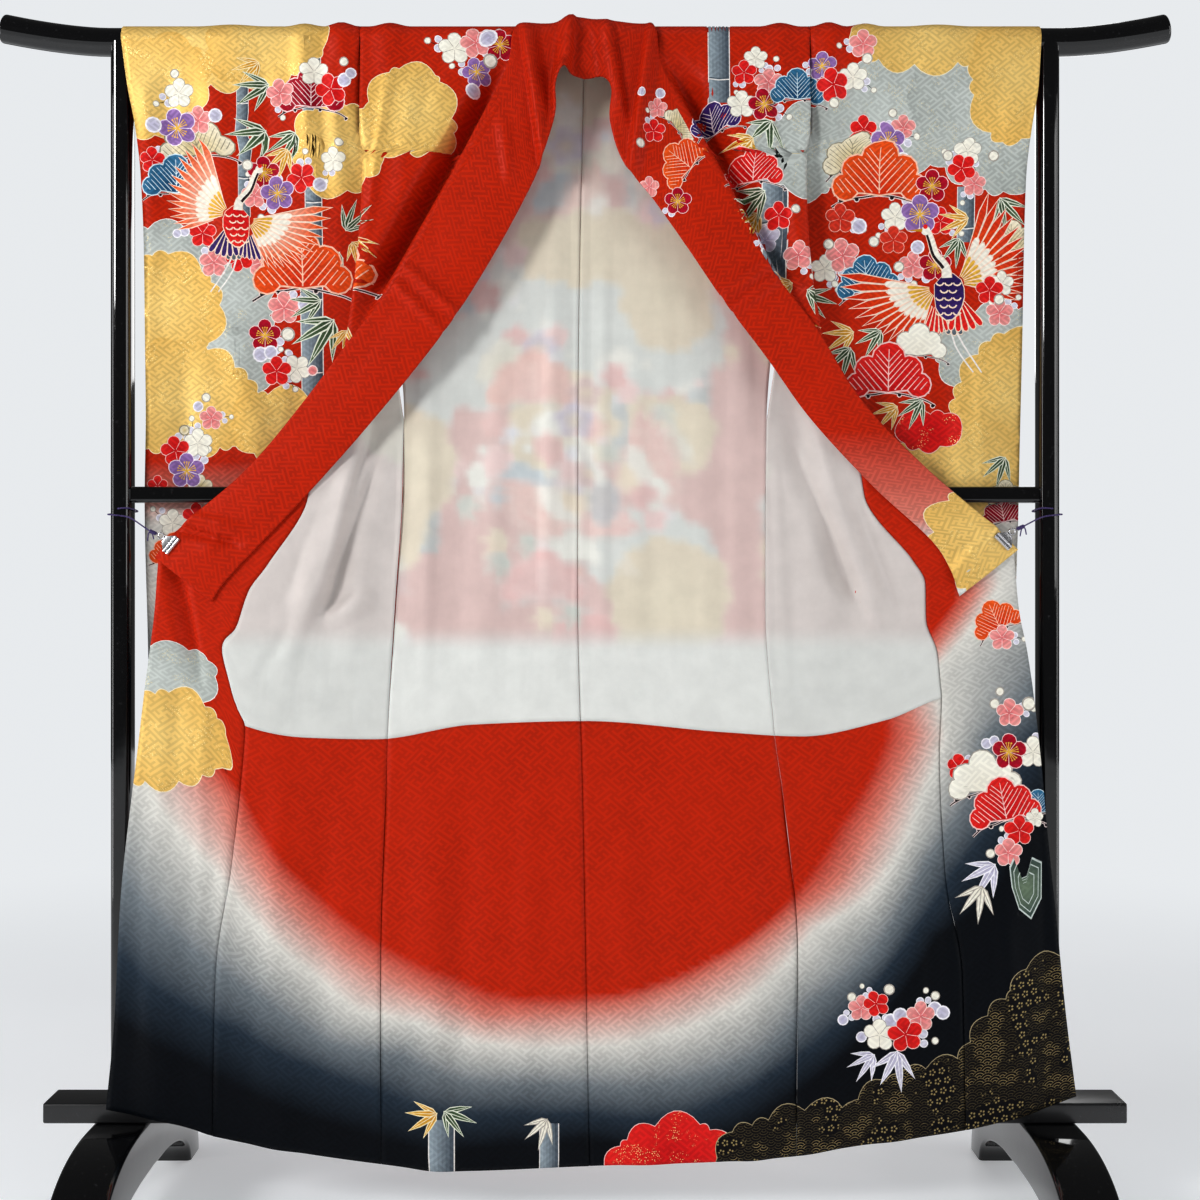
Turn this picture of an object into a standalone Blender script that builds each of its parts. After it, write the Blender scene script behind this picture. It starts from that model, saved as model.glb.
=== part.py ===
"""Furisode shown open on a lacquered kimono stand.

Metres, +Z up, floor at z = 0, seen from -Y. The stand is a curved top bar on two posts
with a middle rail, a floor beam and two arched feet. The kimono is cut as the real one:
two body panels that run from the back hem over the bar to the front hem, two overlap
panels, two long sleeves and one collar, with a white upper lining and a dyed lower one.
The fronts are turned outwards and held at the collar's ends by a clip and a tie.
Each panel is a thin wall through rows of points, and each lining is made from the rows
of the panel that it lies on, moved out.
"""
import math

import bmesh
import bpy
import numpy as np

# Stand
BAR_RADIUS = 0.020
BAR_HEIGHT = 1.698
BAR_HALF = 0.843
BAR_BEND_START = 0.690
BAR_END_RISE = 0.020
BAR_END_ROUND = 0.003
BAR_SIDES = 20
POST_INSIDE = 0.655
POST_WIDTH = 0.030
POST_DEPTH = 0.040
POST_CORNER = 0.007
RAIL_HEIGHT = 1.042
RAIL_SIZE = 0.023
RAIL_CORNER = 0.005
BEAM_HALF = 0.775
BEAM_DEPTH = 0.070
BEAM_BOTTOM = 0.141
BEAM_TOP = 0.170
BEAM_CORNER = 0.004
FOOT_INSIDE = 0.625
FOOT_WIDTH = 0.080
FOOT_HALF = 0.285
FOOT_FLAT_HALF = 0.055
FOOT_ARCH_HALF = 0.222
FOOT_ARCH_HEIGHT = 0.066
FOOT_CORNER = 0.007
FOOT_ROUNDNESS = 2.4
FOOT_ARCH_ROUNDNESS = 2.6
FOOT_STATIONS = 19
GAP = 0.0003

# Cloth
CLOTH = 0.0015
LINING = 0.0010
COLLAR_CLOTH = 0.0025
SEAM_HALF = 0.0002
FOLD_RADIUS = 0.006
FOLD_WEIGHT = 5.0
TURN_SLOPE = 0.3
COLLAR_LAP = 0.010
SLEEVE_SEAM = 0.3240
SLEEVE_BOTTOM = 0.600
SLEEVE_CORNER = 0.050
CUFF_BOTTOM = 1.480
CUFF_CLOSING = 0.10
CUFF_SEAM_SHARE = 0.80
PINCHED = 0.003
LINING_LEVEL = 0.70
TRUE_LEVEL = 1.00
OVERLAP_TOP = 1.15
FOLD_TOP = 1.58
FOLD_FULL = 1.53
TURN_START = 1.25
TURN_END = 1.18
SIDE_OPEN = 1.15
WRAP_STEP = 22.5
DRAPE_RADIUS = (BAR_RADIUS + GAP) / math.cos(math.radians(WRAP_STEP / 2)) + CLOTH / 2
COLLAR_RADIUS = 0.0250
ARCH_FADE = 0.06
BODY_STRIPS = 8
OVERLAP_STRIPS = 3
COLLAR_NECK_STATIONS = 4
COLLAR_NECK_STEPS = 4

# Clips and ties
CLIP_WIDTH = 0.028
CLIP_PLATE = 0.0012
CLIP_REACH = 0.012
CLIP_PLACE = 0.5
CLIP_FRONT = -0.0440
CLIP_BACK = -0.0340
CLIP_END = -0.0065
RING_RADIUS = 0.0042
RING_WIRE = 0.0008
TIE_RADIUS = 0.0012

# Columns: level, left side seam, right side seam, both measured out from the middle
SIDE_SEAM = (
    (0.00, 0.290, 0.301),
    (0.34, 0.291, 0.303),
    (0.60, 0.285, 0.284),
    (0.70, 0.283, 0.272),
    (0.88, 0.272, 0.259),
    (1.05, 0.262, 0.260),
    (1.15, 0.261, 0.262),
    (1.30, 0.275, 0.276),
    (1.45, 0.300, 0.300),
    (1.56, 0.3238, 0.3238),
    (1.70, 0.3238, 0.3238),
)
# Columns: level, left and right side edge of the front panel above the side seam
FRONT_SIDE = (
    (1.15, 0.262, 0.263),
    (1.26, 0.275, 0.275),
    (1.40, 0.285, 0.284),
    (1.52, 0.289, 0.288),
    (1.58, 0.290, 0.289),
)
# Columns: level, left overlap seam, right overlap seam
OVERLAP_SEAM = (
    (0.00, 0.530, 0.542),
    (0.25, 0.525, 0.538),
    (0.43, 0.506, 0.512),
    (0.61, 0.490, 0.506),
    (0.70, 0.485, 0.509),
    (0.73, 0.504, 0.507),
    (0.78, 0.518, 0.503),
    (0.84, 0.498, 0.487),
    (0.90, 0.480, 0.486),
    (0.94, 0.453, 0.468),
    (1.04, 0.395, 0.399),
    (1.15, 0.388, 0.386),
)
# Columns: level, left and right outer edge of the overlap, up to the collar's end
OVERLAP_EDGE = (
    (0.00, 0.682, 0.699),
    (0.15, 0.670, 0.684),
    (0.34, 0.662, 0.669),
    (0.61, 0.636, 0.647),
    (0.76, 0.621, 0.631),
    (0.84, 0.614, 0.619),
    (0.945, 0.609, 0.612),
)
# Columns: height, left and right ridge where the collar is sewn on
COLLAR_RIDGE = (
    (0.951, 0.611, 0.618),
    (0.996, 0.576, 0.583),
    (1.075, 0.484, 0.490),
    (1.175, 0.398, 0.393),
    (1.312, 0.294, 0.307),
    (1.360, 0.260, 0.265),
    (1.654, 0.112, 0.111),
    (1.698, 0.115, 0.114),
)
# Columns: height, left and right outer fold of the front panel
FRONT_FOLD = (
    (1.24, 0.345, 0.345),
    (1.28, 0.338, 0.336),
    (1.40, 0.324, 0.320),
    (1.50, 0.3185, 0.3165),
    (1.55, 0.3215, 0.3205),
    (1.58, 0.3288, 0.3288),
)
# Columns: left to right place, height of the hem
HEM = (
    (-0.70, 0.168),
    (-0.61, 0.150),
    (-0.56, 0.137),
    (-0.53, 0.127),
    (-0.29, 0.087),
    (-0.19, 0.077),
    (0.00, 0.084),
    (0.19, 0.090),
    (0.31, 0.099),
    (0.37, 0.110),
    (0.54, 0.135),
    (0.61, 0.152),
    (0.70, 0.184),
)
# Columns: left to right place, height of the seam between the two linings
LINING_SEAM = (
    (-0.62, 0.775),
    (-0.52, 0.755),
    (-0.49, 0.712),
    (-0.40, 0.693),
    (-0.30, 0.690),
    (-0.16, 0.711),
    (0.00, 0.716),
    (0.20, 0.700),
    (0.31, 0.694),
    (0.43, 0.718),
    (0.51, 0.750),
    (0.62, 0.770),
)
# Columns: height, middle seam's place from left to right
MIDDLE = ((0.0, 0.006), (0.6, -0.004), (0.9, -0.011), (1.2, -0.010), (1.6, -0.003), (1.7, 0.0))
# Columns: level, depth of the back panel
BACK_DEPTH = (
    (0.00, -0.0420),
    (0.20, -0.0410),
    (0.60, -0.0270),
    (1.04, -0.0150),
    (1.20, -0.0080),
    (1.45, 0.0070),
    (1.62, 0.0180),
    (1.698, DRAPE_RADIUS),
)
# Columns: level, depth of the turned-out front and overlap
TURNED_DEPTH = (
    (0.00, -0.0425),
    (0.34, -0.0400),
    (0.60, -0.0370),
    (0.88, -0.0355),
    (1.26, -0.0355),
)
# Columns: height, depth of the front panel's outer face part and of the collar
FRONT_DEPTH = (
    (1.18, -0.0455),
    (1.26, -0.0455),
    (1.40, -0.0420),
    (1.55, -0.0370),
    (1.64, -0.0275),
    (1.698, -DRAPE_RADIUS),
)
COLLAR_DEPTH = (
    (0.85, -0.0400),
    (1.10, -0.0415),
    (1.20, -0.0485),
    (1.26, -0.0490),
    (1.40, -0.0455),
    (1.55, -0.0405),
    (1.64, -0.0310),
    (1.698, -COLLAR_RADIUS),
)
# Columns: height, depth of the sleeve's front layer, depth of its back layer
SLEEVE_DEPTH = (
    (0.60, 0.0160, 0.0330),
    (0.80, 0.0150, 0.0340),
    (1.02, 0.0137, 0.0340),
    (1.10, 0.0125, 0.0335),
    (1.30, 0.0000, 0.0310),
    (1.50, -0.0095, 0.0270),
    (1.60, -0.0205, 0.0240),
    (1.698, -DRAPE_RADIUS, DRAPE_RADIUS),
)
# Columns: height, inner edge of the sleeve, sewn to the body down to 13 cm below the shoulder
SLEEVE_INSIDE = (
    (0.60, 0.300),
    (1.10, 0.290),
    (1.25, 0.285),
    (1.36, 0.292),
    (1.45, 0.304),
    (1.54, 0.300),
    (1.566, SLEEVE_SEAM + SEAM_HALF),
    (1.70, SLEEVE_SEAM + SEAM_HALF),
)
# Columns: height, left and right outer edge of the sleeve
SLEEVE_EDGE = (
    (0.60, 0.632, 0.624),
    (0.85, 0.638, 0.627),
    (1.03, 0.642, 0.632),
    (1.18, 0.639, 0.634),
    (1.39, 0.638, 0.635),
    (1.50, 0.641, 0.637),
    (1.57, 0.647, 0.643),
    (1.63, 0.658, 0.652),
    (1.698, 0.667, 0.656),
)
# Columns: crease's place at its top, top level, place at its foot, foot level, half width, rise
CREASES = (
    (-0.225, 1.30, -0.238, 0.76, 0.028, 0.0050),
    (0.226, 1.32, 0.226, 0.76, 0.028, 0.0060),
    (0.325, 1.12, 0.338, 0.72, 0.036, 0.0050),
    (-0.325, 1.10, -0.335, 0.74, 0.036, 0.0040),
    (-0.060, 1.50, -0.030, 0.74, 0.035, 0.0040),
    (0.100, 1.45, 0.090, 0.80, 0.045, 0.0030),
    (-0.140, 1.10, -0.150, 0.72, 0.040, 0.0030),
    (-0.420, 0.68, -0.440, 0.00, 0.045, 0.0050),
    (-0.220, 0.66, -0.215, 0.00, 0.045, 0.0045),
    (0.060, 0.60, 0.090, 0.00, 0.050, 0.0040),
    (0.230, 0.66, 0.240, 0.00, 0.036, 0.0050),
    (0.430, 0.66, 0.440, 0.00, 0.045, 0.0045),
    (-0.590, 0.70, -0.610, 0.00, 0.040, 0.0045),
    (0.590, 0.70, 0.620, 0.00, 0.040, 0.0045),
)
# Columns: pleat's place out from the middle, half width, rise off the bar
PLEATS = (
    (0.282, 0.030, 0.0050),
    (0.352, 0.026, 0.0060),
    (0.405, 0.028, 0.0040),
    (0.510, 0.050, 0.0025),
)
PLEAT_FALL = 0.42

# Columns: sewn edge out from the middle, sewn edge's draped distance down from the top of
# the bar, free edge out from the middle, free edge's draped distance
COLLAR_MIDDLE = (0.000, -0.025, 0.000, 0.102)
COLLAR_LEFT = (
    (0.048, -0.018, 0.026, 0.097),
    (0.086, 0.000, 0.042, 0.120),
    (0.104, 0.034, 0.043, 0.162),
    (0.112, 0.084, 0.062, 0.222),
    (0.155, 0.172, 0.082, 0.268),
    (0.207, 0.273, 0.125, 0.348),
    (0.263, 0.385, 0.183, 0.442),
    (0.330, 0.473, 0.250, 0.530),
    (0.398, 0.563, 0.325, 0.618),
    (0.484, 0.663, 0.410, 0.712),
    (0.576, 0.742, 0.508, 0.815),
    (0.613, 0.787, 0.532, 0.850),
)
COLLAR_RIGHT = (
    (0.048, -0.018, 0.024, 0.100),
    (0.086, 0.000, 0.038, 0.120),
    (0.101, 0.030, 0.036, 0.165),
    (0.110, 0.080, 0.054, 0.222),
    (0.152, 0.165, 0.098, 0.278),
    (0.207, 0.268, 0.145, 0.345),
    (0.263, 0.374, 0.197, 0.422),
    (0.325, 0.456, 0.258, 0.503),
    (0.393, 0.563, 0.318, 0.586),
    (0.488, 0.661, 0.410, 0.685),
    (0.583, 0.742, 0.502, 0.772),
    (0.617, 0.776, 0.534, 0.842),
)
COLLAR_ARCH = 0.003

LOWER_LEVELS = (0.0, 0.10, 0.22, 0.34, 0.46, 0.58, LINING_LEVEL)
SHARED_LEVELS = (0.73, 0.78, 0.84, 0.90, 0.945, 1.00, 1.07, SIDE_OPEN, TURN_END)
BACK_LEVELS = (1.28, 1.42, 1.56, 1.66)
FRONT_LEVELS = (
    1.20, 1.22, 1.235, TURN_START, 1.28, 1.32, 1.36, 1.40, 1.44, 1.48, 1.51, FOLD_FULL,
    1.55, FOLD_TOP, 1.64,
)
FLAT_SHARES = np.linspace(0.0, 1.0, 25)
FOLD_TURNS = np.linspace(0.0, 1.0, 9)
BEHIND_SHARES = np.linspace(0.1, 1.0, 10)
# Columns: angle round the bar from the front, neck edge out from the middle
NECK = ((0, 0.105), (30, 0.100), (60, 0.092), (90, 0.074), (120, 0.018), (150, 0.0), (180, 0.0))
WRAP_ANGLES = tuple(WRAP_STEP * step for step in range(9))
# Shares of the collar's width, closer together where it bends over the bar
COLLAR_COLUMNS = (0.0, 0.08, 0.16, 0.24, 0.32, 0.44, 0.60, 0.80, 1.0)
SLEEVE_COLUMNS = (0.0, 0.07, 0.14, 0.22, 0.30, 0.45, 0.62, 0.79, 0.92, 1.0)
SLEEVE_HEIGHTS = (0.67, 0.84, 1.02, 1.10, 1.20, 1.34, 1.48, 1.54, 1.566, 1.63)
SLEEVE_HEM_ANGLES = (150, 90, 30)

LACQUER = (0.012, 0.012, 0.013, 1.0)
SILK_RED = (0.62, 0.045, 0.018, 1.0)
SILK_PRINT = (0.58, 0.20, 0.06, 1.0)
SILK_WHITE = (0.80, 0.76, 0.68, 1.0)
SILK_NAVY = (0.03, 0.05, 0.08, 1.0)
STEEL = (0.70, 0.70, 0.72, 1.0)
CORD_PURPLE = (0.10, 0.02, 0.22, 1.0)
SIDES = ((-1, "left"), (1, "right"))


def clear_scene():
    for item in list(bpy.data.objects):
        bpy.data.objects.remove(item, do_unlink=True)


def material(name, colour, roughness, metallic=0.0):
    made = bpy.data.materials.new(name)
    made.use_nodes = True
    shader = made.node_tree.nodes["Principled BSDF"]
    shader.inputs["Base Color"].default_value = colour
    shader.inputs["Roughness"].default_value = roughness
    shader.inputs["Metallic"].default_value = metallic
    return made


def add_object(name, vertices, faces, finish, smooth_angle=35.0):
    mesh = bpy.data.meshes.new(name)
    mesh.from_pydata([tuple(map(float, vertex)) for vertex in vertices], [], faces)
    mesh.materials.append(finish)
    work = bmesh.new()
    work.from_mesh(mesh)
    bmesh.ops.recalc_face_normals(work, faces=work.faces)
    work.to_mesh(mesh)
    work.free()
    mesh.shade_smooth()
    mesh.set_sharp_from_angle(angle=math.radians(smooth_angle))
    made = bpy.data.objects.new(name, mesh)
    bpy.context.collection.objects.link(made)
    return made


def smooth_value(table, place, column=1):
    """Reads a table by its first column on a smooth curve that never overshoots."""
    places = [row[0] for row in table]
    values = [row[column] for row in table]
    if place <= places[0]:
        return values[0]
    if place >= places[-1]:
        return values[-1]
    steps = [b - a for a, b in zip(places, places[1:])]
    slopes = [(b - a) / step for a, b, step in zip(values, values[1:], steps)]
    tangents = [slopes[0]]
    for before, after in zip(slopes, slopes[1:]):
        level = before * after <= 0
        tangents.append(0.0 if level else 2 * before * after / (before + after))
    tangents.append(slopes[-1])
    index = max(i for i in range(len(steps)) if places[i] <= place)
    step = steps[index]
    t = (place - places[index]) / step
    rise = (2 * t - 3) * t * t
    return (
        (1 + rise) * values[index]
        - rise * values[index + 1]
        + step * (t * (t - 1) ** 2 * tangents[index] + t * t * (t - 1) * tangents[index + 1])
    )


def side_value(table, place, side):
    return smooth_value(table, place, 1 if side < 0 else 2)


def ease(value):
    value = min(max(value, 0.0), 1.0)
    return value * value * (3 - 2 * value)


def bump(distance, half_width):
    share = abs(distance) / half_width
    return 0.0 if share >= 1 else (1 + math.cos(math.pi * share)) / 2


def crease_depth(x, level):
    depth = 0.0
    for top_x, top, foot_x, foot, half_width, rise in CREASES:
        if foot <= level <= top:
            along = (level - foot) / (top - foot)
            fade = ease(3 * (1 - along)) * (ease(3 * along) if foot > 0 else 1.0)
            place = foot_x + (top_x - foot_x) * along
            depth -= rise * fade * bump(x - place, half_width)
    return depth


def pleat_rise(out, height):
    rise = sum(rise * bump(out - place, half_width) for place, half_width, rise in PLEATS)
    return rise * ease(1 - (BAR_HEIGHT - height) / PLEAT_FALL)


def cloth_height(level, x):
    """Level 0 is the hem, LINING_LEVEL the lining seam, and TRUE_LEVEL up a real height."""
    if level >= TRUE_LEVEL:
        return level
    seam = smooth_value(LINING_SEAM, x)
    if level >= LINING_LEVEL:
        share = (level - LINING_LEVEL) / (TRUE_LEVEL - LINING_LEVEL)
        return seam + share * (TRUE_LEVEL - seam)
    hem = smooth_value(HEM, x)
    return hem + level / LINING_LEVEL * (seam - hem)


def turned_point(x, level, depth):
    return (x, depth + crease_depth(x, level), cloth_height(level, x))


def spaced(path, count):
    """Points along a path of (out, depth) pairs, even by length but closer where it turns."""
    path = np.array(path)
    steps = np.diff(path, axis=0)
    sizes = np.linalg.norm(steps, axis=1)
    turned = np.abs(steps[:, 1]) > TURN_SLOPE * sizes
    lengths = np.concatenate(([0.0], np.cumsum(sizes * np.where(turned, FOLD_WEIGHT, 1.0))))
    wanted = np.linspace(0.0, lengths[-1], count)
    outs, depths = [np.interp(wanted, lengths, column) for column in path.T]
    return list(zip(outs, depths))


def collar_edge(side, level):
    """Where the front panel ends: the overlap seam below, under the collar above."""
    if level <= OVERLAP_TOP:
        return side_value(OVERLAP_SEAM, level, side) - SEAM_HALF
    return side_value(COLLAR_RIDGE, level, side) - COLLAR_LAP


def back_row(side, level):
    middle = smooth_value(MIDDLE, level) + side * SEAM_HALF
    edge = side * (side_value(SIDE_SEAM, level, side) - SEAM_HALF)
    row = []
    for share in np.linspace(0.0, 1.0, BODY_STRIPS + 1):
        x = middle + (edge - middle) * share
        height = cloth_height(level, x)
        depth = smooth_value(BACK_DEPTH, level) + crease_depth(x, level)
        row.append((x, depth + pleat_rise(abs(x), height), height))
    return row


def wrap_row(side, angle):
    turn = math.radians(angle)
    neck = max(smooth_value(NECK, angle), SEAM_HALF)
    row = []
    for share in np.linspace(0.0, 1.0, BODY_STRIPS + 1):
        out = neck + (SLEEVE_SEAM - SEAM_HALF - neck) * share
        radius = DRAPE_RADIUS + pleat_rise(out, BAR_HEIGHT)
        row.append((side * out, -radius * math.cos(turn), BAR_HEIGHT + radius * math.sin(turn)))
    return row


def front_path(side, level):
    """The front panel's section from its collar edge to its side edge, with its fold."""
    start = collar_edge(side, level)
    open_side = level > SIDE_OPEN
    table = FRONT_SIDE if open_side else SIDE_SEAM
    end = side_value(table, level, side) + SEAM_HALF
    turned = smooth_value(TURNED_DEPTH, level)
    seam_depth = smooth_value(BACK_DEPTH, level)
    away = ease((level - SIDE_OPEN) / (TURN_START - SIDE_OPEN))
    if level <= TURN_END:
        end_depth = seam_depth + (turned - seam_depth) * away
        return [
            (start + (end - start) * t, turned + (end_depth - turned) * ease(t))
            for t in FLAT_SHARES
        ]
    front = smooth_value(FRONT_DEPTH, level)
    first = math.pi * ease((TURN_START - level) / (TURN_START - TURN_END))
    last = math.pi * ease((FOLD_TOP - level) / (FOLD_TOP - FOLD_FULL))
    if level < TURN_START:
        centre = start - FOLD_RADIUS * math.sin(first)
    else:
        centre = side_value(FRONT_FOLD, level, side) - FOLD_RADIUS
    path = [(start, front)] if first == 0 else []
    for share in FOLD_TURNS:
        turn = first + (last - first) * share
        out = centre + FOLD_RADIUS * math.sin(turn)
        path.append((out, front + FOLD_RADIUS * (1 - math.cos(turn))))
    if last == math.pi and end < centre - FOLD_RADIUS:
        back = front + 2 * FOLD_RADIUS
        end_depth = back + (seam_depth - back) * (1 - away)
        for t in BEHIND_SHARES:
            path.append((centre + (end - centre) * t, back + (end_depth - back) * ease(t)))
    return path


def front_row(side, level):
    row = []
    for out, depth in spaced(front_path(side, level), BODY_STRIPS + 1):
        x = side * out
        if level <= SIDE_OPEN:
            row.append(turned_point(x, level, depth))
        else:
            fade = ease((level - FOLD_TOP) / (BAR_HEIGHT - FOLD_TOP))
            row.append((x, depth - fade * pleat_rise(out, level), level))
    return row


def body_rows(side):
    """All rows of one body panel, from the back hem over the bar to the front hem."""
    back_levels = LOWER_LEVELS + SHARED_LEVELS + BACK_LEVELS
    front_levels = LOWER_LEVELS + SHARED_LEVELS + FRONT_LEVELS
    rows = [back_row(side, level) for level in back_levels]
    rows += [wrap_row(side, angle) for angle in reversed(WRAP_ANGLES)]
    rows += [front_row(side, level) for level in reversed(front_levels)]
    first_front = len(rows) - len(front_levels)
    return np.array(rows), back_levels, front_levels, first_front


def overlap_rows(side):
    rows = []
    levels = [level for level in LOWER_LEVELS + SHARED_LEVELS if level <= OVERLAP_TOP]
    for level in reversed(levels):
        inner = side_value(OVERLAP_SEAM, level, side) + SEAM_HALF
        outer = side_value(OVERLAP_EDGE, level, side)
        if level > OVERLAP_EDGE[-1][0]:
            outer = side_value(COLLAR_RIDGE, level, side) - COLLAR_LAP / 2
        depth = smooth_value(TURNED_DEPTH, level)
        places = np.linspace(outer, inner, OVERLAP_STRIPS + 1)
        rows.append([turned_point(side * out, level, depth) for out in places])
    return np.array(rows)


def grid_normals(rows):
    """Unit normals of a grid of rows, with no sideways part at a seam, so that edges meet flat."""
    normals = np.cross(np.gradient(rows, axis=1), np.gradient(rows, axis=0))
    normals /= np.linalg.norm(normals, axis=2, keepdims=True)
    for column in (0, -1):
        facing = np.abs(normals[:, column, 0]) < 0.5
        normals[facing, column, 0] = 0.0
    return normals / np.linalg.norm(normals, axis=2, keepdims=True)


def wall(name, rows, normals, near, far, finish):
    """A closed wall between the rows moved out by near and by far."""
    count, width = rows.shape[:2]
    faces_out = [(rows + normals * distance).reshape(-1, 3) for distance in (near, far)]
    vertices = np.concatenate(faces_out)
    half = count * width
    faces = []
    for i in range(count - 1):
        for j in range(width - 1):
            a = i * width + j
            for corners in ((a, a + 1, a + width + 1), (a, a + width + 1, a + width)):
                faces.append(corners)
                faces.append(tuple(half + corner for corner in reversed(corners)))
    rim = list(range(width))
    rim += [i * width + width - 1 for i in range(1, count)]
    rim += [(count - 1) * width + j for j in range(width - 2, -1, -1)]
    rim += [i * width for i in range(count - 2, 0, -1)]
    for a, b in zip(rim, rim[1:] + rim[:1]):
        faces.append((b, a, half + a, half + b))
    return add_object(name, vertices, faces, finish)


def panel_and_linings(side, word, silk, print_silk, white, navy):
    rows, back_levels, front_levels, first_front = body_rows(side)
    outward = -side * grid_normals(rows)
    wall("body_" + word, rows, outward, CLOTH / 2, -CLOTH / 2, print_silk)
    near = -(CLOTH / 2 + GAP)
    far = near - LINING
    seam = back_levels.index(LINING_LEVEL)
    top = len(back_levels)
    front_seam = first_front + len(front_levels) - 1 - front_levels.index(LINING_LEVEL)
    front_top = first_front + len(front_levels) - 1 - front_levels.index(TURN_END)
    stretches = (
        ("lining_lower_back_", 0, seam + 1, navy),
        ("lining_upper_back_", seam, top, white),
        ("lining_lower_front_", front_seam, len(rows), navy),
        ("lining_upper_front_", front_top, front_seam + 1, white),
    )
    for name, first, last, finish in stretches:
        part = rows[first:last].copy()
        if name.startswith("lining_lower"):
            row = -1 if first == 0 else 0
            part[row, :, 2] -= SEAM_HALF * 2
        wall(name + word, part, outward[first:last], near, far, finish)
    flap = overlap_rows(side)
    flap_out = -side * grid_normals(flap)
    wall("overlap_" + word, flap, flap_out, CLOTH / 2, -CLOTH / 2, print_silk)
    wall("lining_overlap_" + word, flap, flap_out, near, far, silk)


def sleeve_ring(side, share):
    """One upright loop of the sleeve's cloth, as pairs of depth and height with its places out."""
    def reach(height):
        inner = smooth_value(SLEEVE_INSIDE, height)
        return inner + (side_value(SLEEVE_EDGE, height, side) - inner) * share

    from_edge = (1 - share) * (side_value(SLEEVE_EDGE, SLEEVE_BOTTOM, side) - SLEEVE_SEAM)
    inside = max(SLEEVE_CORNER - from_edge, 0.0)
    lift = SLEEVE_CORNER - math.sqrt(SLEEVE_CORNER ** 2 - inside ** 2)
    bottom = SLEEVE_BOTTOM + lift

    def settled(height):
        waist = RAIL_HEIGHT - RAIL_SIZE
        if height >= waist:
            return height
        return bottom + (height - SLEEVE_BOTTOM) * (waist - bottom) / (waist - SLEEVE_BOTTOM)

    def layers(height):
        front = smooth_value(SLEEVE_DEPTH, height, 1)
        back = smooth_value(SLEEVE_DEPTH, height, 2)
        near_edge = ease((share - CUFF_SEAM_SHARE) / (1 - CUFF_SEAM_SHARE))
        closed = near_edge * ease((CUFF_BOTTOM - height) / CUFF_CLOSING)
        back += (front + PINCHED - back) * closed
        rise = pleat_rise(reach(height), height)
        return front - rise, back + rise

    loop = []
    for height in SLEEVE_HEIGHTS:
        true = settled(height)
        loop.append((side * reach(true), layers(height)[0], true))
    for angle in WRAP_ANGLES:
        turn = math.radians(angle)
        radius = DRAPE_RADIUS + pleat_rise(reach(BAR_HEIGHT), BAR_HEIGHT)
        height = BAR_HEIGHT + radius * math.sin(turn)
        loop.append((side * reach(BAR_HEIGHT), -radius * math.cos(turn), height))
    for height in reversed(SLEEVE_HEIGHTS):
        true = settled(height)
        loop.append((side * reach(true), layers(height)[1], true))
    front, back = layers(SLEEVE_BOTTOM)
    radius = (back - front) / 2
    for angle in SLEEVE_HEM_ANGLES:
        turn = math.radians(angle)
        depth = (front + back) / 2 - radius * math.cos(turn)
        loop.append((side * reach(bottom), depth, bottom + radius * (1 - math.sin(turn))))
    return loop


def sleeve(side, word, finish):
    rings = np.array([sleeve_ring(side, share) for share in SLEEVE_COLUMNS])
    along = np.gradient(rings, axis=0)
    around = np.roll(rings, -1, axis=1) - np.roll(rings, 1, axis=1)
    normals = np.cross(along, around) * side
    normals[0, :, 0] = 0.0
    normals /= np.linalg.norm(normals, axis=2, keepdims=True)
    count, size = rings.shape[:2]
    half = count * size
    vertices = np.concatenate((
        (rings + normals * CLOTH / 2).reshape(-1, 3),
        (rings - normals * CLOTH / 2).reshape(-1, 3),
    ))
    faces = []
    for i in range(count - 1):
        for j in range(size):
            a = i * size + j
            b = i * size + (j + 1) % size
            for corners in ((a, b, b + size), (a, b + size, a + size)):
                faces.append(corners)
                faces.append(tuple(half + corner for corner in reversed(corners)))
    for i in (0, count - 1):
        for j in range(size):
            a = i * size + j
            b = i * size + (j + 1) % size
            faces.append((a, b, half + b, half + a))
    add_object("sleeve_" + word, vertices, faces, finish)


def collar_stations():
    left = [(-a, b, -c, d) for a, b, c, d in reversed(COLLAR_LEFT)]
    return np.array(left + [COLLAR_MIDDLE] + list(COLLAR_RIGHT))


def between(stations, place):
    """A smooth curve through the collar's stations, read at a fractional index."""
    index = min(int(place), len(stations) - 2)
    t = place - index
    before = stations[max(index - 1, 0)]
    start, end = stations[index], stations[index + 1]
    after = stations[min(index + 2, len(stations) - 1)]
    return 0.5 * (
        2 * start
        + (end - before) * t
        + (2 * before - 5 * start + 4 * end - after) * t * t
        + (3 * start - before - 3 * end + after) * t ** 3
    )


def draped(x, down, radius, arch):
    """A point that lies over the bar, down metres of cloth in front of its top."""
    quarter = math.pi * radius / 2
    if down < quarter:
        turn = math.pi / 2 - down / radius
        return (x, -radius * math.cos(turn), BAR_HEIGHT + radius * math.sin(turn))
    height = BAR_HEIGHT - (down - quarter)
    fade = ease((down - quarter) / ARCH_FADE)
    return (x, smooth_value(COLLAR_DEPTH, height) - arch * fade, height)


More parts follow.
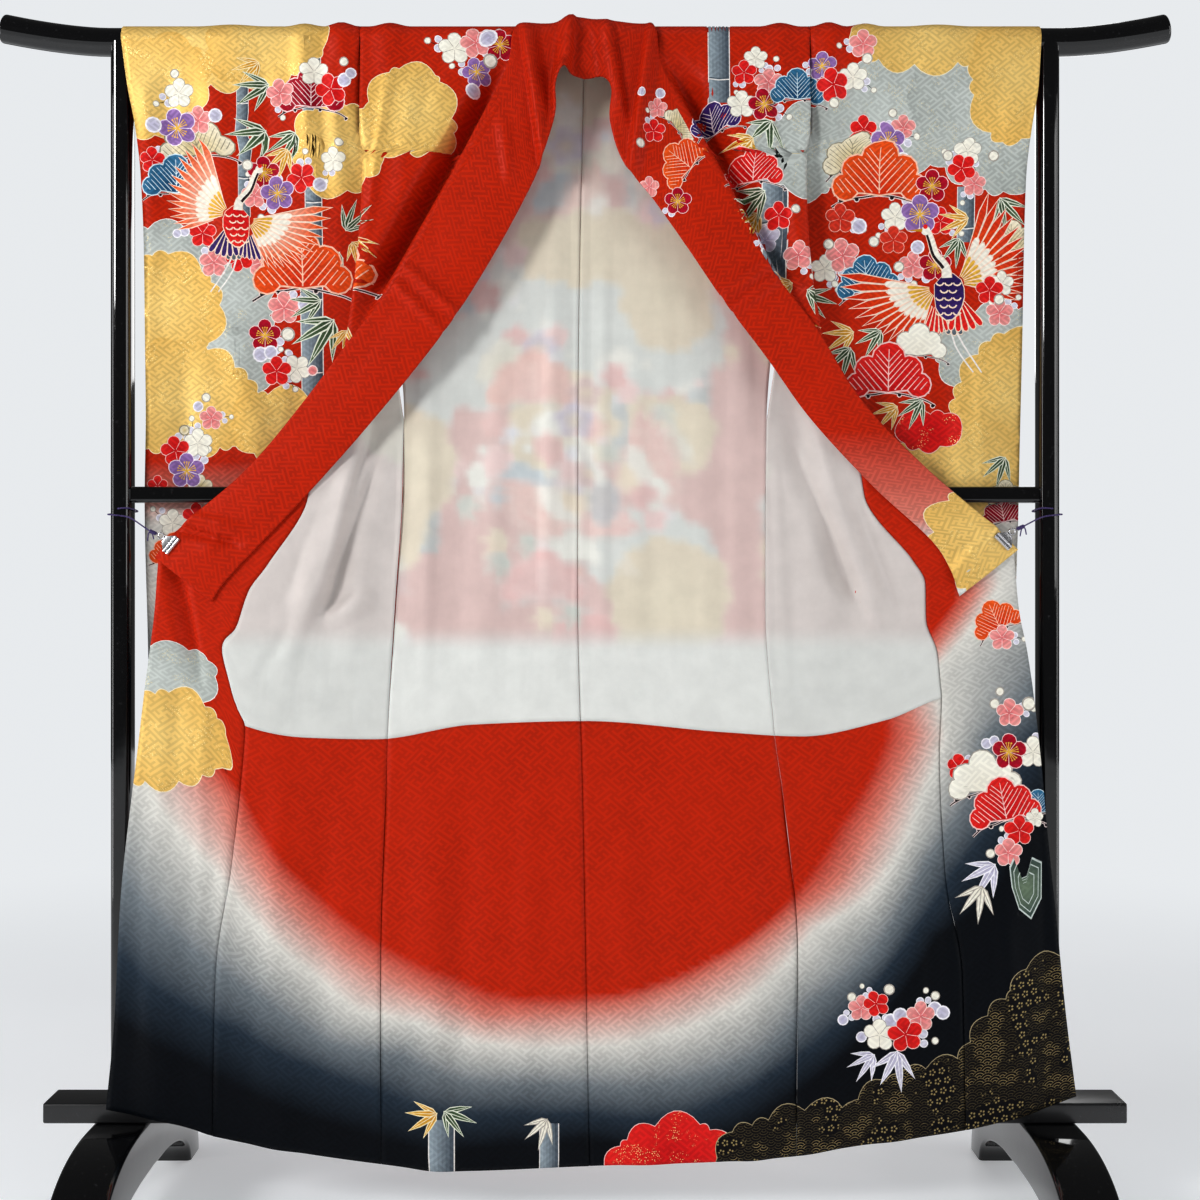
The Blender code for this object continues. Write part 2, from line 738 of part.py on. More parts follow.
def collar(finish):
    stations = collar_stations()
    rows = []
    middle = len(COLLAR_LEFT)
    first, last = middle - COLLAR_NECK_STATIONS, middle + COLLAR_NECK_STATIONS
    places = list(range(first))
    places += list(np.linspace(first, last, (last - first) * COLLAR_NECK_STEPS + 1))
    places += list(range(last + 1, len(stations)))
    for place in places:
        sewn_x, sewn_down, free_x, free_down = between(stations, place)
        row = []
        for share in COLLAR_COLUMNS:
            x = sewn_x + (free_x - sewn_x) * share
            down = sewn_down + (free_down - sewn_down) * share
            row.append(draped(x, down, COLLAR_RADIUS, COLLAR_ARCH * math.sin(math.pi * share)))
        rows.append(row)
    rows = np.array(rows)
    wall("collar", rows, grid_normals(rows), COLLAR_CLOTH / 2, -COLLAR_CLOTH / 2, finish)


def loft(name, rings, finish):
    """A closed solid through rings of equal size, capped at both ends."""
    size = len(rings[0])
    vertices = [point for ring in rings for point in ring]
    faces = [tuple(range(size)), tuple(reversed(range(len(vertices) - size, len(vertices))))]
    for i in range(len(rings) - 1):
        for j in range(size):
            a = i * size + j
            b = i * size + (j + 1) % size
            faces.append((b, a, a + size, b + size))
    return add_object(name, vertices, faces, finish)


def rounded_rectangle(width, depth, corner, steps=2):
    """Corner points of a rounded rectangle round (0, 0)."""
    points = []
    for index, (sx, sy) in enumerate(((1, 1), (-1, 1), (-1, -1), (1, -1))):
        for step in range(steps + 1):
            turn = math.pi / 2 * (index + step / steps)
            x = sx * (width / 2 - corner) + corner * math.cos(turn)
            y = sy * (depth / 2 - corner) + corner * math.sin(turn)
            points.append((x, y))
    return points


def top_bar(finish):
    stops = (0.0, 0.35, BAR_BEND_START, 0.73, 0.77, 0.81, BAR_HALF - BAR_END_ROUND, BAR_HALF)
    places = [-stop for stop in reversed(stops[1:])] + list(stops)
    rings = []
    for x in places:
        bend = max(abs(x) - BAR_BEND_START, 0.0) / (BAR_HALF - BAR_BEND_START)
        centre = BAR_HEIGHT + BAR_END_RISE * bend ** 1.6
        radius = BAR_RADIUS - (BAR_END_ROUND if abs(x) == BAR_HALF else 0.0)
        turns = [2 * math.pi * k / BAR_SIDES for k in range(BAR_SIDES)]
        rings.append([(x, radius * math.cos(t), centre + radius * math.sin(t)) for t in turns])
    loft("stand_top_bar", rings, finish)


def post(side, word, finish):
    middle = side * (POST_INSIDE + POST_WIDTH / 2)
    outline = rounded_rectangle(POST_WIDTH, POST_DEPTH, POST_CORNER, 3)
    heights = (BEAM_TOP + GAP, BAR_HEIGHT - BAR_RADIUS - GAP)
    rings = [[(middle + x, y, height) for x, y in outline] for height in heights]
    loft("stand_post_" + word, rings, finish)


def middle_rail(finish):
    outline = rounded_rectangle(RAIL_SIZE, RAIL_SIZE, RAIL_CORNER)
    reach = POST_INSIDE - GAP
    rings = [[(x, y, RAIL_HEIGHT + z) for y, z in outline] for x in (-reach, reach)]
    loft("stand_middle_rail", rings, finish)


def floor_beam(finish):
    outline = rounded_rectangle(BEAM_DEPTH, BEAM_TOP - BEAM_BOTTOM, BEAM_CORNER)
    centre = (BEAM_TOP + BEAM_BOTTOM) / 2
    rings = [[(x, y, centre + z) for y, z in outline] for x in (-BEAM_HALF, BEAM_HALF)]
    loft("stand_floor_beam", rings, finish)


def arch_curve(half, flat, height, power, share):
    """A point of a flat-topped arch: share -1 and 1 are its feet on the floor, 0 its crown."""
    turn = share * math.pi / 2
    place = math.copysign(abs(math.sin(turn)) ** (2 / power), share) if share else 0.0
    rise = math.sqrt(max(1 - abs(place) ** power, 0.0))
    return math.copysign(flat, place) + place * (half - flat) if place else 0.0, height * rise


def foot(side, word, finish):
    crown = BEAM_BOTTOM - GAP
    inside, outside = side * FOOT_INSIDE, side * (FOOT_INSIDE + FOOT_WIDTH)
    inset = side * FOOT_CORNER
    rings = []
    for share in np.linspace(-1.0, 1.0, FOOT_STATIONS):
        outer = arch_curve(FOOT_HALF, FOOT_FLAT_HALF, crown, FOOT_ROUNDNESS, share)
        inner = arch_curve(FOOT_ARCH_HALF, 0.0, FOOT_ARCH_HEIGHT, FOOT_ARCH_ROUNDNESS, share)
        outer, inner = np.array(outer), np.array(inner)
        across = (inner - outer) / np.linalg.norm(inner - outer) * FOOT_CORNER
        corners = (
            (inside + inset, outer),
            (outside - inset, outer),
            (outside, outer + across),
            (outside, inner - across),
            (outside - inset, inner),
            (inside + inset, inner),
            (inside, inner - across),
            (inside, outer + across),
        )
        rings.append([(x, place[0], place[1]) for x, place in corners])
    loft("stand_foot_" + word, rings, finish)


def clip_frame(side):
    """The clip's bite point on the collar's sewn edge, its way in and its way across."""
    table = COLLAR_LEFT if side < 0 else COLLAR_RIGHT
    level_down = BAR_HEIGHT + math.pi * COLLAR_RADIUS / 2
    before, last = [np.array((side * row[0], 0.0, level_down - row[1])) for row in table[-2:]]
    bite = before + (last - before) * CLIP_PLACE
    across = (last - before) / np.linalg.norm(last - before)
    way_in = np.array((side * across[2], 0.0, -side * across[0]))
    return bite, way_in, across


def clip(side, word, steel):
    bite, way_in, across = clip_frame(side)
    outline = (
        (CLIP_REACH, CLIP_FRONT),
        (CLIP_REACH, CLIP_FRONT - CLIP_PLATE),
        (CLIP_END - CLIP_PLATE, CLIP_FRONT - CLIP_PLATE),
        (CLIP_END - CLIP_PLATE, CLIP_BACK + CLIP_PLATE),
        (CLIP_REACH, CLIP_BACK + CLIP_PLATE),
        (CLIP_REACH, CLIP_BACK),
        (CLIP_END, CLIP_BACK),
        (CLIP_END, CLIP_FRONT),
    )
    rings = []
    for shift in (-CLIP_WIDTH / 2, CLIP_WIDTH / 2):
        ring = []
        for along, depth in outline:
            point = bite + way_in * along + across * shift
            ring.append((point[0], depth, point[2]))
        rings.append(ring)
    size = len(outline)
    vertices = rings[0] + rings[1]
    faces = [(0, 1, 2, 7), (2, 3, 6, 7), (3, 4, 5, 6)]
    faces += [tuple(size + corner for corner in reversed(quad)) for quad in faces]
    for j in range(size):
        k = (j + 1) % size
        faces.append((k, j, size + j, size + k))
    add_object("clip_" + word, vertices, faces, steel)
    middle = bite - way_in * (-CLIP_END + CLIP_PLATE + GAP + RING_RADIUS + RING_WIRE)
    depth = (CLIP_FRONT + CLIP_BACK) / 2
    bpy.ops.mesh.primitive_torus_add(
        major_radius=RING_RADIUS,
        minor_radius=RING_WIRE,
        major_segments=12,
        minor_segments=5,
        location=(middle[0], depth, middle[2]),
        rotation=(math.radians(90), 0.0, 0.0),
    )
    ring = bpy.context.active_object
    ring.name = "clip_ring_" + word
    ring.data.materials.append(steel)
    ring.data.shade_smooth()
    return middle, depth


def tie(side, word, ring_middle, ring_depth, finish):
    """The cord from the clip's ring once round the post, under the middle rail."""
    clear = TIE_RADIUS + GAP
    inner = POST_INSIDE - clear
    outer = POST_INSIDE + POST_WIDTH + clear
    face = POST_DEPTH / 2 + clear
    start_out = abs(ring_middle[0]) + (RING_RADIUS + RING_WIRE + clear) * 0.9
    route = (
        (start_out, ring_depth, ring_middle[2] + 0.003),
        (start_out + 0.012, ring_depth + 0.003, ring_middle[2] + 0.008),
        (inner - 0.004, -face - 0.004, 1.006),
        (inner + 0.008, -face - 0.0006, 1.010),
        (outer - 0.008, -face - 0.0006, 1.012),
        (outer + 0.0006, -face + 0.006, 1.013),
        (outer + 0.0006, face - 0.006, 1.015),
        (outer - 0.008, face + 0.0006, 1.016),
        (inner + 0.008, face + 0.0006, 1.018),
        (inner - 0.0006, face - 0.006, 1.019),
        (inner - 0.0006, -face + 0.006, 1.021),
        (inner + 0.007, -face - 0.0006, 1.022),
        (inner + 0.019, -face - 0.0006, 1.021),
    )
    stations = np.array(route)
    count = 3 * (len(route) - 1) + 1
    points = [between(stations, place) for place in np.linspace(0, len(route) - 1, count)]
    curve = bpy.data.curves.new("tie_" + word, "CURVE")
    curve.dimensions = "3D"
    curve.bevel_depth = TIE_RADIUS
    curve.bevel_resolution = 2
    curve.use_fill_caps = True
    spline = curve.splines.new("POLY")
    spline.points.add(len(points) - 1)
    for spot, (out, depth, height) in zip(spline.points, points):
        spot.co = (side * out, depth, height, 1.0)
    curve.materials.append(finish)
    made = bpy.data.objects.new("tie_" + word, curve)
    bpy.context.collection.objects.link(made)


def build():
    clear_scene()
    lacquer = material("black lacquer", LACQUER, 0.12)
    red = material("red silk", SILK_RED, 0.45)
    printed = material("printed silk", SILK_PRINT, 0.45)
    white = material("white silk lining", SILK_WHITE, 0.40)
    navy = material("dyed silk lining", SILK_NAVY, 0.45)
    steel = material("clip steel", STEEL, 0.25, 1.0)
    purple = material("purple cord", CORD_PURPLE, 0.60)
    top_bar(lacquer)
    middle_rail(lacquer)
    floor_beam(lacquer)
    for side, word in SIDES:
        post(side, word, lacquer)
        foot(side, word, lacquer)
        panel_and_linings(side, word, red, printed, white, navy)
        sleeve(side, word, printed)
        ring_middle, ring_depth = clip(side, word, steel)
        tie(side, word, ring_middle, ring_depth, purple)
    collar(red)


build()
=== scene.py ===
"""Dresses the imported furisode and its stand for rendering.

Metres, +Z up, floor at z = 0, seen from -Y. Every cloth piece is a strip: a fine grid of
points with a flat place for each, so that its dyed design is drawn on the flat cloth and
then hung. The panel makes the pieces one by one, and main() makes them all.
"""

import math
from functools import lru_cache

import bmesh
import bpy
import numpy as np
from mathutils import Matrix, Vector
from mathutils.geometry import delaunay_2d_cdt
from mathutils.kdtree import KDTree


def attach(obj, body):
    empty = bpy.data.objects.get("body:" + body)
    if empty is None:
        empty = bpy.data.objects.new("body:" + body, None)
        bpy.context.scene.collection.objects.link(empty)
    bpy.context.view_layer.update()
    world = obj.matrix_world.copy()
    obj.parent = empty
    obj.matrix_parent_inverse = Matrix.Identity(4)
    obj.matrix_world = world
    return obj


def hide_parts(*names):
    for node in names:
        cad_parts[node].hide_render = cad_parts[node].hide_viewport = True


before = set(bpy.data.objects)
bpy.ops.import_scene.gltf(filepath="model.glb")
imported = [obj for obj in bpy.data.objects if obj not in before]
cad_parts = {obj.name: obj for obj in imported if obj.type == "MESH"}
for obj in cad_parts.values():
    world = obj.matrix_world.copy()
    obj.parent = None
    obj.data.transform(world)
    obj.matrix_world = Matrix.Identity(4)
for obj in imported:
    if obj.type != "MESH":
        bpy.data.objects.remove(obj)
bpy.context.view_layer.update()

bl_info = {
    "name": "Furisode on a stand",
    "version": (1, 0, 0),
    "blender": (4, 5, 0),
    "location": "View3D > Sidebar > Furisode",
    "description": "Makes the cloth, the stand, the clips and the studio of a hung furisode",
    "category": "Object",
}

# Stand
BAR_RADIUS = 0.020
BAR_HEIGHT = 1.698
BAR_HALF = 0.843
BAR_BEND_START = 0.690
BAR_END_RISE = 0.020
POST_INSIDE = 0.655
POST_WIDTH = 0.030
POST_DEPTH = 0.040
RAIL_HEIGHT = 1.042
RAIL_SIZE = 0.023
BEAM_HALF = 0.775
BEAM_DEPTH = 0.070
BEAM_BOTTOM = 0.141
BEAM_TOP = 0.170
FOOT_INSIDE = 0.625
FOOT_WIDTH = 0.080
FOOT_HALF = 0.285
FOOT_FLAT_HALF = 0.055
FOOT_ARCH_HALF = 0.222
FOOT_ARCH_HEIGHT = 0.066
GAP = 0.0003
POST_SOFTNESS = 3.4
CLIP_WIDTH = 0.028
CLIP_TAPER = 0.0045
CLIP_PLATE = 0.0012
CLIP_REACH = 0.012
CLIP_PLACE = 0.5
CLIP_FRONT = -0.0440
CLIP_BACK = -0.0340
CLIP_END = -0.0065
CLIP_BARS = (0.0045, 0.0100)
RING_RADIUS = 0.0042
RING_WIRE = 0.0008
RING_THICK = 0.0011
TIE_RADIUS = 0.0012

# Cloth
CLOTH = 0.0015
LINING = 0.0010
COLLAR_CLOTH = 0.0025
SEAM_HALF = 0.0002
FOLD_RADIUS = 0.006
COLLAR_LAP = 0.010
SLEEVE_SEAM = 0.3240
SLEEVE_WIDTH = 0.340
SLEEVE_BOTTOM = 0.600
SLEEVE_CORNER = 0.050
CUFF_BOTTOM = 1.480
PINCHED = 0.003
LINING_LEVEL = 0.70
LINING_TOP = 1.235
TRUE_LEVEL = 1.00
OVERLAP_TOP = 1.15
FOLD_TOP = 1.58
FOLD_FULL = 1.53
TURN_START = 1.25
TURN_END = 1.18
SIDE_OPEN = 1.15
WRAP_STEP = 22.5
DRAPE_RADIUS = (BAR_RADIUS + GAP) / math.cos(math.radians(WRAP_STEP / 2)) + CLOTH / 2
COLLAR_RADIUS = 0.0250
COLLAR_ARCH = 0.003
HEM_LEVEL = 0.11
BODY_COLUMNS = 121
OVERLAP_COLUMNS = 61
SLEEVE_COLUMNS = 121
COLLAR_COLUMNS = 41
ROW_STEP = 0.005
WRAP_ROWS = 33
COLLAR_ROWS = 18

# Columns: level, left side seam, right side seam, both measured out from the middle
SIDE_SEAM = (
    (0.00, 0.290, 0.301),
    (0.34, 0.291, 0.303),
    (0.60, 0.285, 0.284),
    (0.70, 0.283, 0.272),
    (0.88, 0.272, 0.259),
    (1.05, 0.262, 0.260),
    (1.15, 0.261, 0.262),
    (1.30, 0.275, 0.276),
    (1.45, 0.300, 0.300),
    (1.56, 0.3238, 0.3238),
    (1.70, 0.3238, 0.3238),
)
# Columns: level, left and right side edge of the front panel above the side seam
FRONT_SIDE = (
    (1.15, 0.262, 0.263),
    (1.26, 0.275, 0.275),
    (1.40, 0.285, 0.284),
    (1.52, 0.289, 0.288),
    (1.58, 0.290, 0.289),
)
# Columns: level, left overlap seam, right overlap seam
OVERLAP_SEAM = (
    (0.00, 0.530, 0.542),
    (0.25, 0.525, 0.538),
    (0.43, 0.506, 0.512),
    (0.61, 0.490, 0.506),
    (0.70, 0.485, 0.509),
    (0.73, 0.504, 0.507),
    (0.78, 0.518, 0.503),
    (0.84, 0.498, 0.487),
    (0.90, 0.480, 0.486),
    (0.94, 0.453, 0.468),
    (1.04, 0.395, 0.399),
    (1.15, 0.388, 0.386),
)
# Columns: level, left and right outer edge of the overlap, up to the collar's end
OVERLAP_EDGE = (
    (0.00, 0.682, 0.699),
    (0.15, 0.670, 0.684),
    (0.34, 0.662, 0.669),
    (0.61, 0.636, 0.647),
    (0.76, 0.621, 0.631),
    (0.84, 0.614, 0.619),
    (0.945, 0.609, 0.612),
)
# Columns: height, left and right ridge where the collar is sewn on
COLLAR_RIDGE = (
    (0.951, 0.611, 0.618),
    (0.996, 0.576, 0.583),
    (1.075, 0.484, 0.490),
    (1.175, 0.398, 0.393),
    (1.312, 0.294, 0.307),
    (1.360, 0.260, 0.265),
    (1.654, 0.112, 0.111),
    (1.698, 0.115, 0.114),
)
# Columns: height, left and right outer fold of the front panel
FRONT_FOLD = (
    (1.24, 0.345, 0.345),
    (1.28, 0.338, 0.336),
    (1.40, 0.324, 0.320),
    (1.50, 0.3185, 0.3165),
    (1.55, 0.3215, 0.3205),
    (1.58, 0.3288, 0.3288),
)
# Columns: left to right place, height of the hem
HEM = (
    (-0.70, 0.168),
    (-0.61, 0.150),
    (-0.56, 0.137),
    (-0.53, 0.127),
    (-0.29, 0.087),
    (-0.19, 0.077),
    (0.00, 0.084),
    (0.19, 0.090),
    (0.31, 0.099),
    (0.37, 0.110),
    (0.54, 0.135),
    (0.61, 0.152),
    (0.70, 0.184),
)
# Columns: left to right place, height of the seam between the two linings
LINING_SEAM = (
    (-0.62, 0.775),
    (-0.52, 0.755),
    (-0.49, 0.712),
    (-0.40, 0.693),
    (-0.30, 0.690),
    (-0.16, 0.711),
    (0.00, 0.716),
    (0.20, 0.700),
    (0.31, 0.694),
    (0.43, 0.718),
    (0.51, 0.750),
    (0.62, 0.770),
)
# Columns: height, middle seam's place from left to right
MIDDLE = ((0.0, 0.006), (0.6, -0.004), (0.9, -0.011), (1.2, -0.010), (1.6, -0.003), (1.7, 0.0))
# Columns: level, depth of the back panel
BACK_DEPTH = (
    (0.00, -0.0420),
    (0.20, -0.0410),
    (0.60, -0.0270),
    (1.04, -0.0150),
    (1.20, -0.0080),
    (1.45, 0.0070),
    (1.62, 0.0180),
    (1.698, DRAPE_RADIUS),
)
# Columns: level, depth of the turned-out front and overlap
TURNED_DEPTH = (
    (0.00, -0.0425),
    (0.34, -0.0400),
    (0.60, -0.0370),
    (0.88, -0.0355),
    (1.26, -0.0355),
)
# Columns: height, depth of the front panel's outer face part and of the collar
FRONT_DEPTH = (
    (1.18, -0.0455),
    (1.26, -0.0455),
    (1.40, -0.0420),
    (1.55, -0.0370),
    (1.64, -0.0275),
    (1.698, -DRAPE_RADIUS),
)
COLLAR_DEPTH = (
    (0.85, -0.0400),
    (1.10, -0.0415),
    (1.20, -0.0485),
    (1.26, -0.0490),
    (1.40, -0.0455),
    (1.55, -0.0405),
    (1.64, -0.0310),
    (1.698, -COLLAR_RADIUS),
)
# Columns: height, depth of the sleeve's front layer, depth of its back layer
SLEEVE_DEPTH = (
    (0.60, 0.0160, 0.0330),
    (0.80, 0.0150, 0.0340),
    (1.02, 0.0137, 0.0340),
    (1.10, 0.0125, 0.0335),
    (1.30, 0.0000, 0.0310),
    (1.50, -0.0095, 0.0270),
    (1.60, -0.0205, 0.0240),
    (1.698, -DRAPE_RADIUS, DRAPE_RADIUS),
)
# Columns: height, inner edge of the sleeve, sewn to the body down to 13 cm below the shoulder
SLEEVE_INSIDE = (
    (0.60, 0.300),
    (1.10, 0.290),
    (1.25, 0.285),
    (1.36, 0.292),
    (1.45, 0.304),
    (1.54, 0.300),
    (1.566, SLEEVE_SEAM + SEAM_HALF),
    (1.70, SLEEVE_SEAM + SEAM_HALF),
)
# Columns: height, left and right outer edge of the sleeve
SLEEVE_EDGE = (
    (0.60, 0.632, 0.624),
    (0.85, 0.638, 0.627),
    (1.03, 0.642, 0.632),
    (1.18, 0.639, 0.634),
    (1.39, 0.638, 0.635),
    (1.50, 0.641, 0.637),
    (1.57, 0.647, 0.643),
    (1.63, 0.658, 0.652),
    (1.698, 0.667, 0.656),
)
# Columns: crease's place at its top, top level, place at its foot, foot level, half width, rise
CREASES = (
    (-0.225, 1.30, -0.238, 0.76, 0.028, 0.0050),
    (0.226, 1.32, 0.226, 0.76, 0.028, 0.0060),
    (0.325, 1.12, 0.338, 0.72, 0.036, 0.0050),
    (-0.325, 1.10, -0.335, 0.74, 0.036, 0.0040),
    (-0.060, 1.50, -0.030, 0.74, 0.035, 0.0040),
    (0.100, 1.45, 0.090, 0.80, 0.045, 0.0030),
    (-0.140, 1.10, -0.150, 0.72, 0.040, 0.0030),
    (-0.420, 0.68, -0.440, 0.00, 0.045, 0.0050),
    (-0.220, 0.66, -0.215, 0.00, 0.045, 0.0045),
    (0.060, 0.60, 0.090, 0.00, 0.050, 0.0040),
    (0.230, 0.66, 0.240, 0.00, 0.036, 0.0050),
    (0.430, 0.66, 0.440, 0.00, 0.045, 0.0045),
    (-0.590, 0.70, -0.610, 0.00, 0.040, 0.0045),
    (0.590, 0.70, 0.620, 0.00, 0.040, 0.0045),
)
# Columns: pleat's place out from the middle, half width, rise off the bar
PLEATS = (
    (0.282, 0.030, 0.0050),
    (0.352, 0.026, 0.0060),
    (0.405, 0.028, 0.0040),
    (0.510, 0.050, 0.0025),
)
PLEAT_FALL = 0.42

# Columns: sewn edge out from the middle, sewn edge's draped distance down from the top of
# the bar, free edge out from the middle, free edge's draped distance
COLLAR_MIDDLE = (0.000, -0.025, 0.000, 0.102)
COLLAR_LEFT = (
    (0.048, -0.018, 0.026, 0.097),
    (0.086, 0.000, 0.042, 0.120),
    (0.104, 0.034, 0.043, 0.162),
    (0.112, 0.084, 0.062, 0.222),
    (0.155, 0.172, 0.082, 0.268),
    (0.207, 0.273, 0.125, 0.348),
    (0.263, 0.385, 0.183, 0.442),
    (0.330, 0.473, 0.250, 0.530),
    (0.398, 0.563, 0.325, 0.618),
    (0.484, 0.663, 0.410, 0.712),
    (0.576, 0.742, 0.508, 0.815),
    (0.613, 0.787, 0.532, 0.850),
)
COLLAR_RIGHT = (
    (0.048, -0.018, 0.024, 0.100),
    (0.086, 0.000, 0.038, 0.120),
    (0.101, 0.030, 0.036, 0.165),
    (0.110, 0.080, 0.054, 0.222),
    (0.152, 0.165, 0.098, 0.278),
    (0.207, 0.268, 0.145, 0.345),
    (0.263, 0.374, 0.197, 0.422),
    (0.325, 0.456, 0.258, 0.503),
    (0.393, 0.563, 0.318, 0.586),
    (0.488, 0.661, 0.410, 0.685),
    (0.583, 0.742, 0.502, 0.772),
    (0.617, 0.776, 0.534, 0.842),
)
# Columns: place from left to right, half width, rise of the collar behind the neck
NECK_LIFTS = ((-0.012, 0.042, 0.009), (0.034, 0.045, 0.004))
NECK_LIFT_FOOT = 1.69
# The free edge's curl at the neck: place, half width, share of the collar's width where it
# starts, how far it comes forward, rise
NECK_CURL = (-0.036, 0.022, 0.80, 0.018, 0.007)
# Columns: angle round the bar from the front, neck edge out from the middle
NECK = ((0, 0.105), (30, 0.100), (60, 0.092), (90, 0.074), (120, 0.018), (150, 0.0), (180, 0.0))

# Columns: dye, then the cloud's puffs as place from left to right, height, half width, half height
FRONT_CLOUDS = (
    ("silver", (-0.560, 1.270, 0.100, 0.120), (-0.510, 1.330, 0.060, 0.050),
     (-0.620, 1.370, 0.070, 0.060)),
    ("silver", (0.330, 1.535, 0.075, 0.060), (0.440, 1.590, 0.110, 0.070),
     (0.580, 1.600, 0.110, 0.110)),
    ("silver", (0.600, 1.250, 0.095, 0.060)),
    ("gold", (-0.560, 1.690, 0.160, 0.065), (-0.620, 1.630, 0.075, 0.070),
     (-0.460, 1.690, 0.080, 0.055)),
    ("gold", (-0.350, 1.540, 0.075, 0.055), (-0.248, 1.590, 0.058, 0.064)),
    ("gold", (-0.610, 1.310, 0.075, 0.080), (-0.580, 1.180, 0.095, 0.085),
     (-0.440, 1.145, 0.070, 0.050)),
    ("gold", (0.500, 1.700, 0.110, 0.045), (0.620, 1.640, 0.065, 0.085)),
    ("gold", (0.620, 1.185, 0.085, 0.085), (0.560, 1.080, 0.120, 0.060)),
    ("red", (0.500, 1.136, 0.046, 0.026)),
)
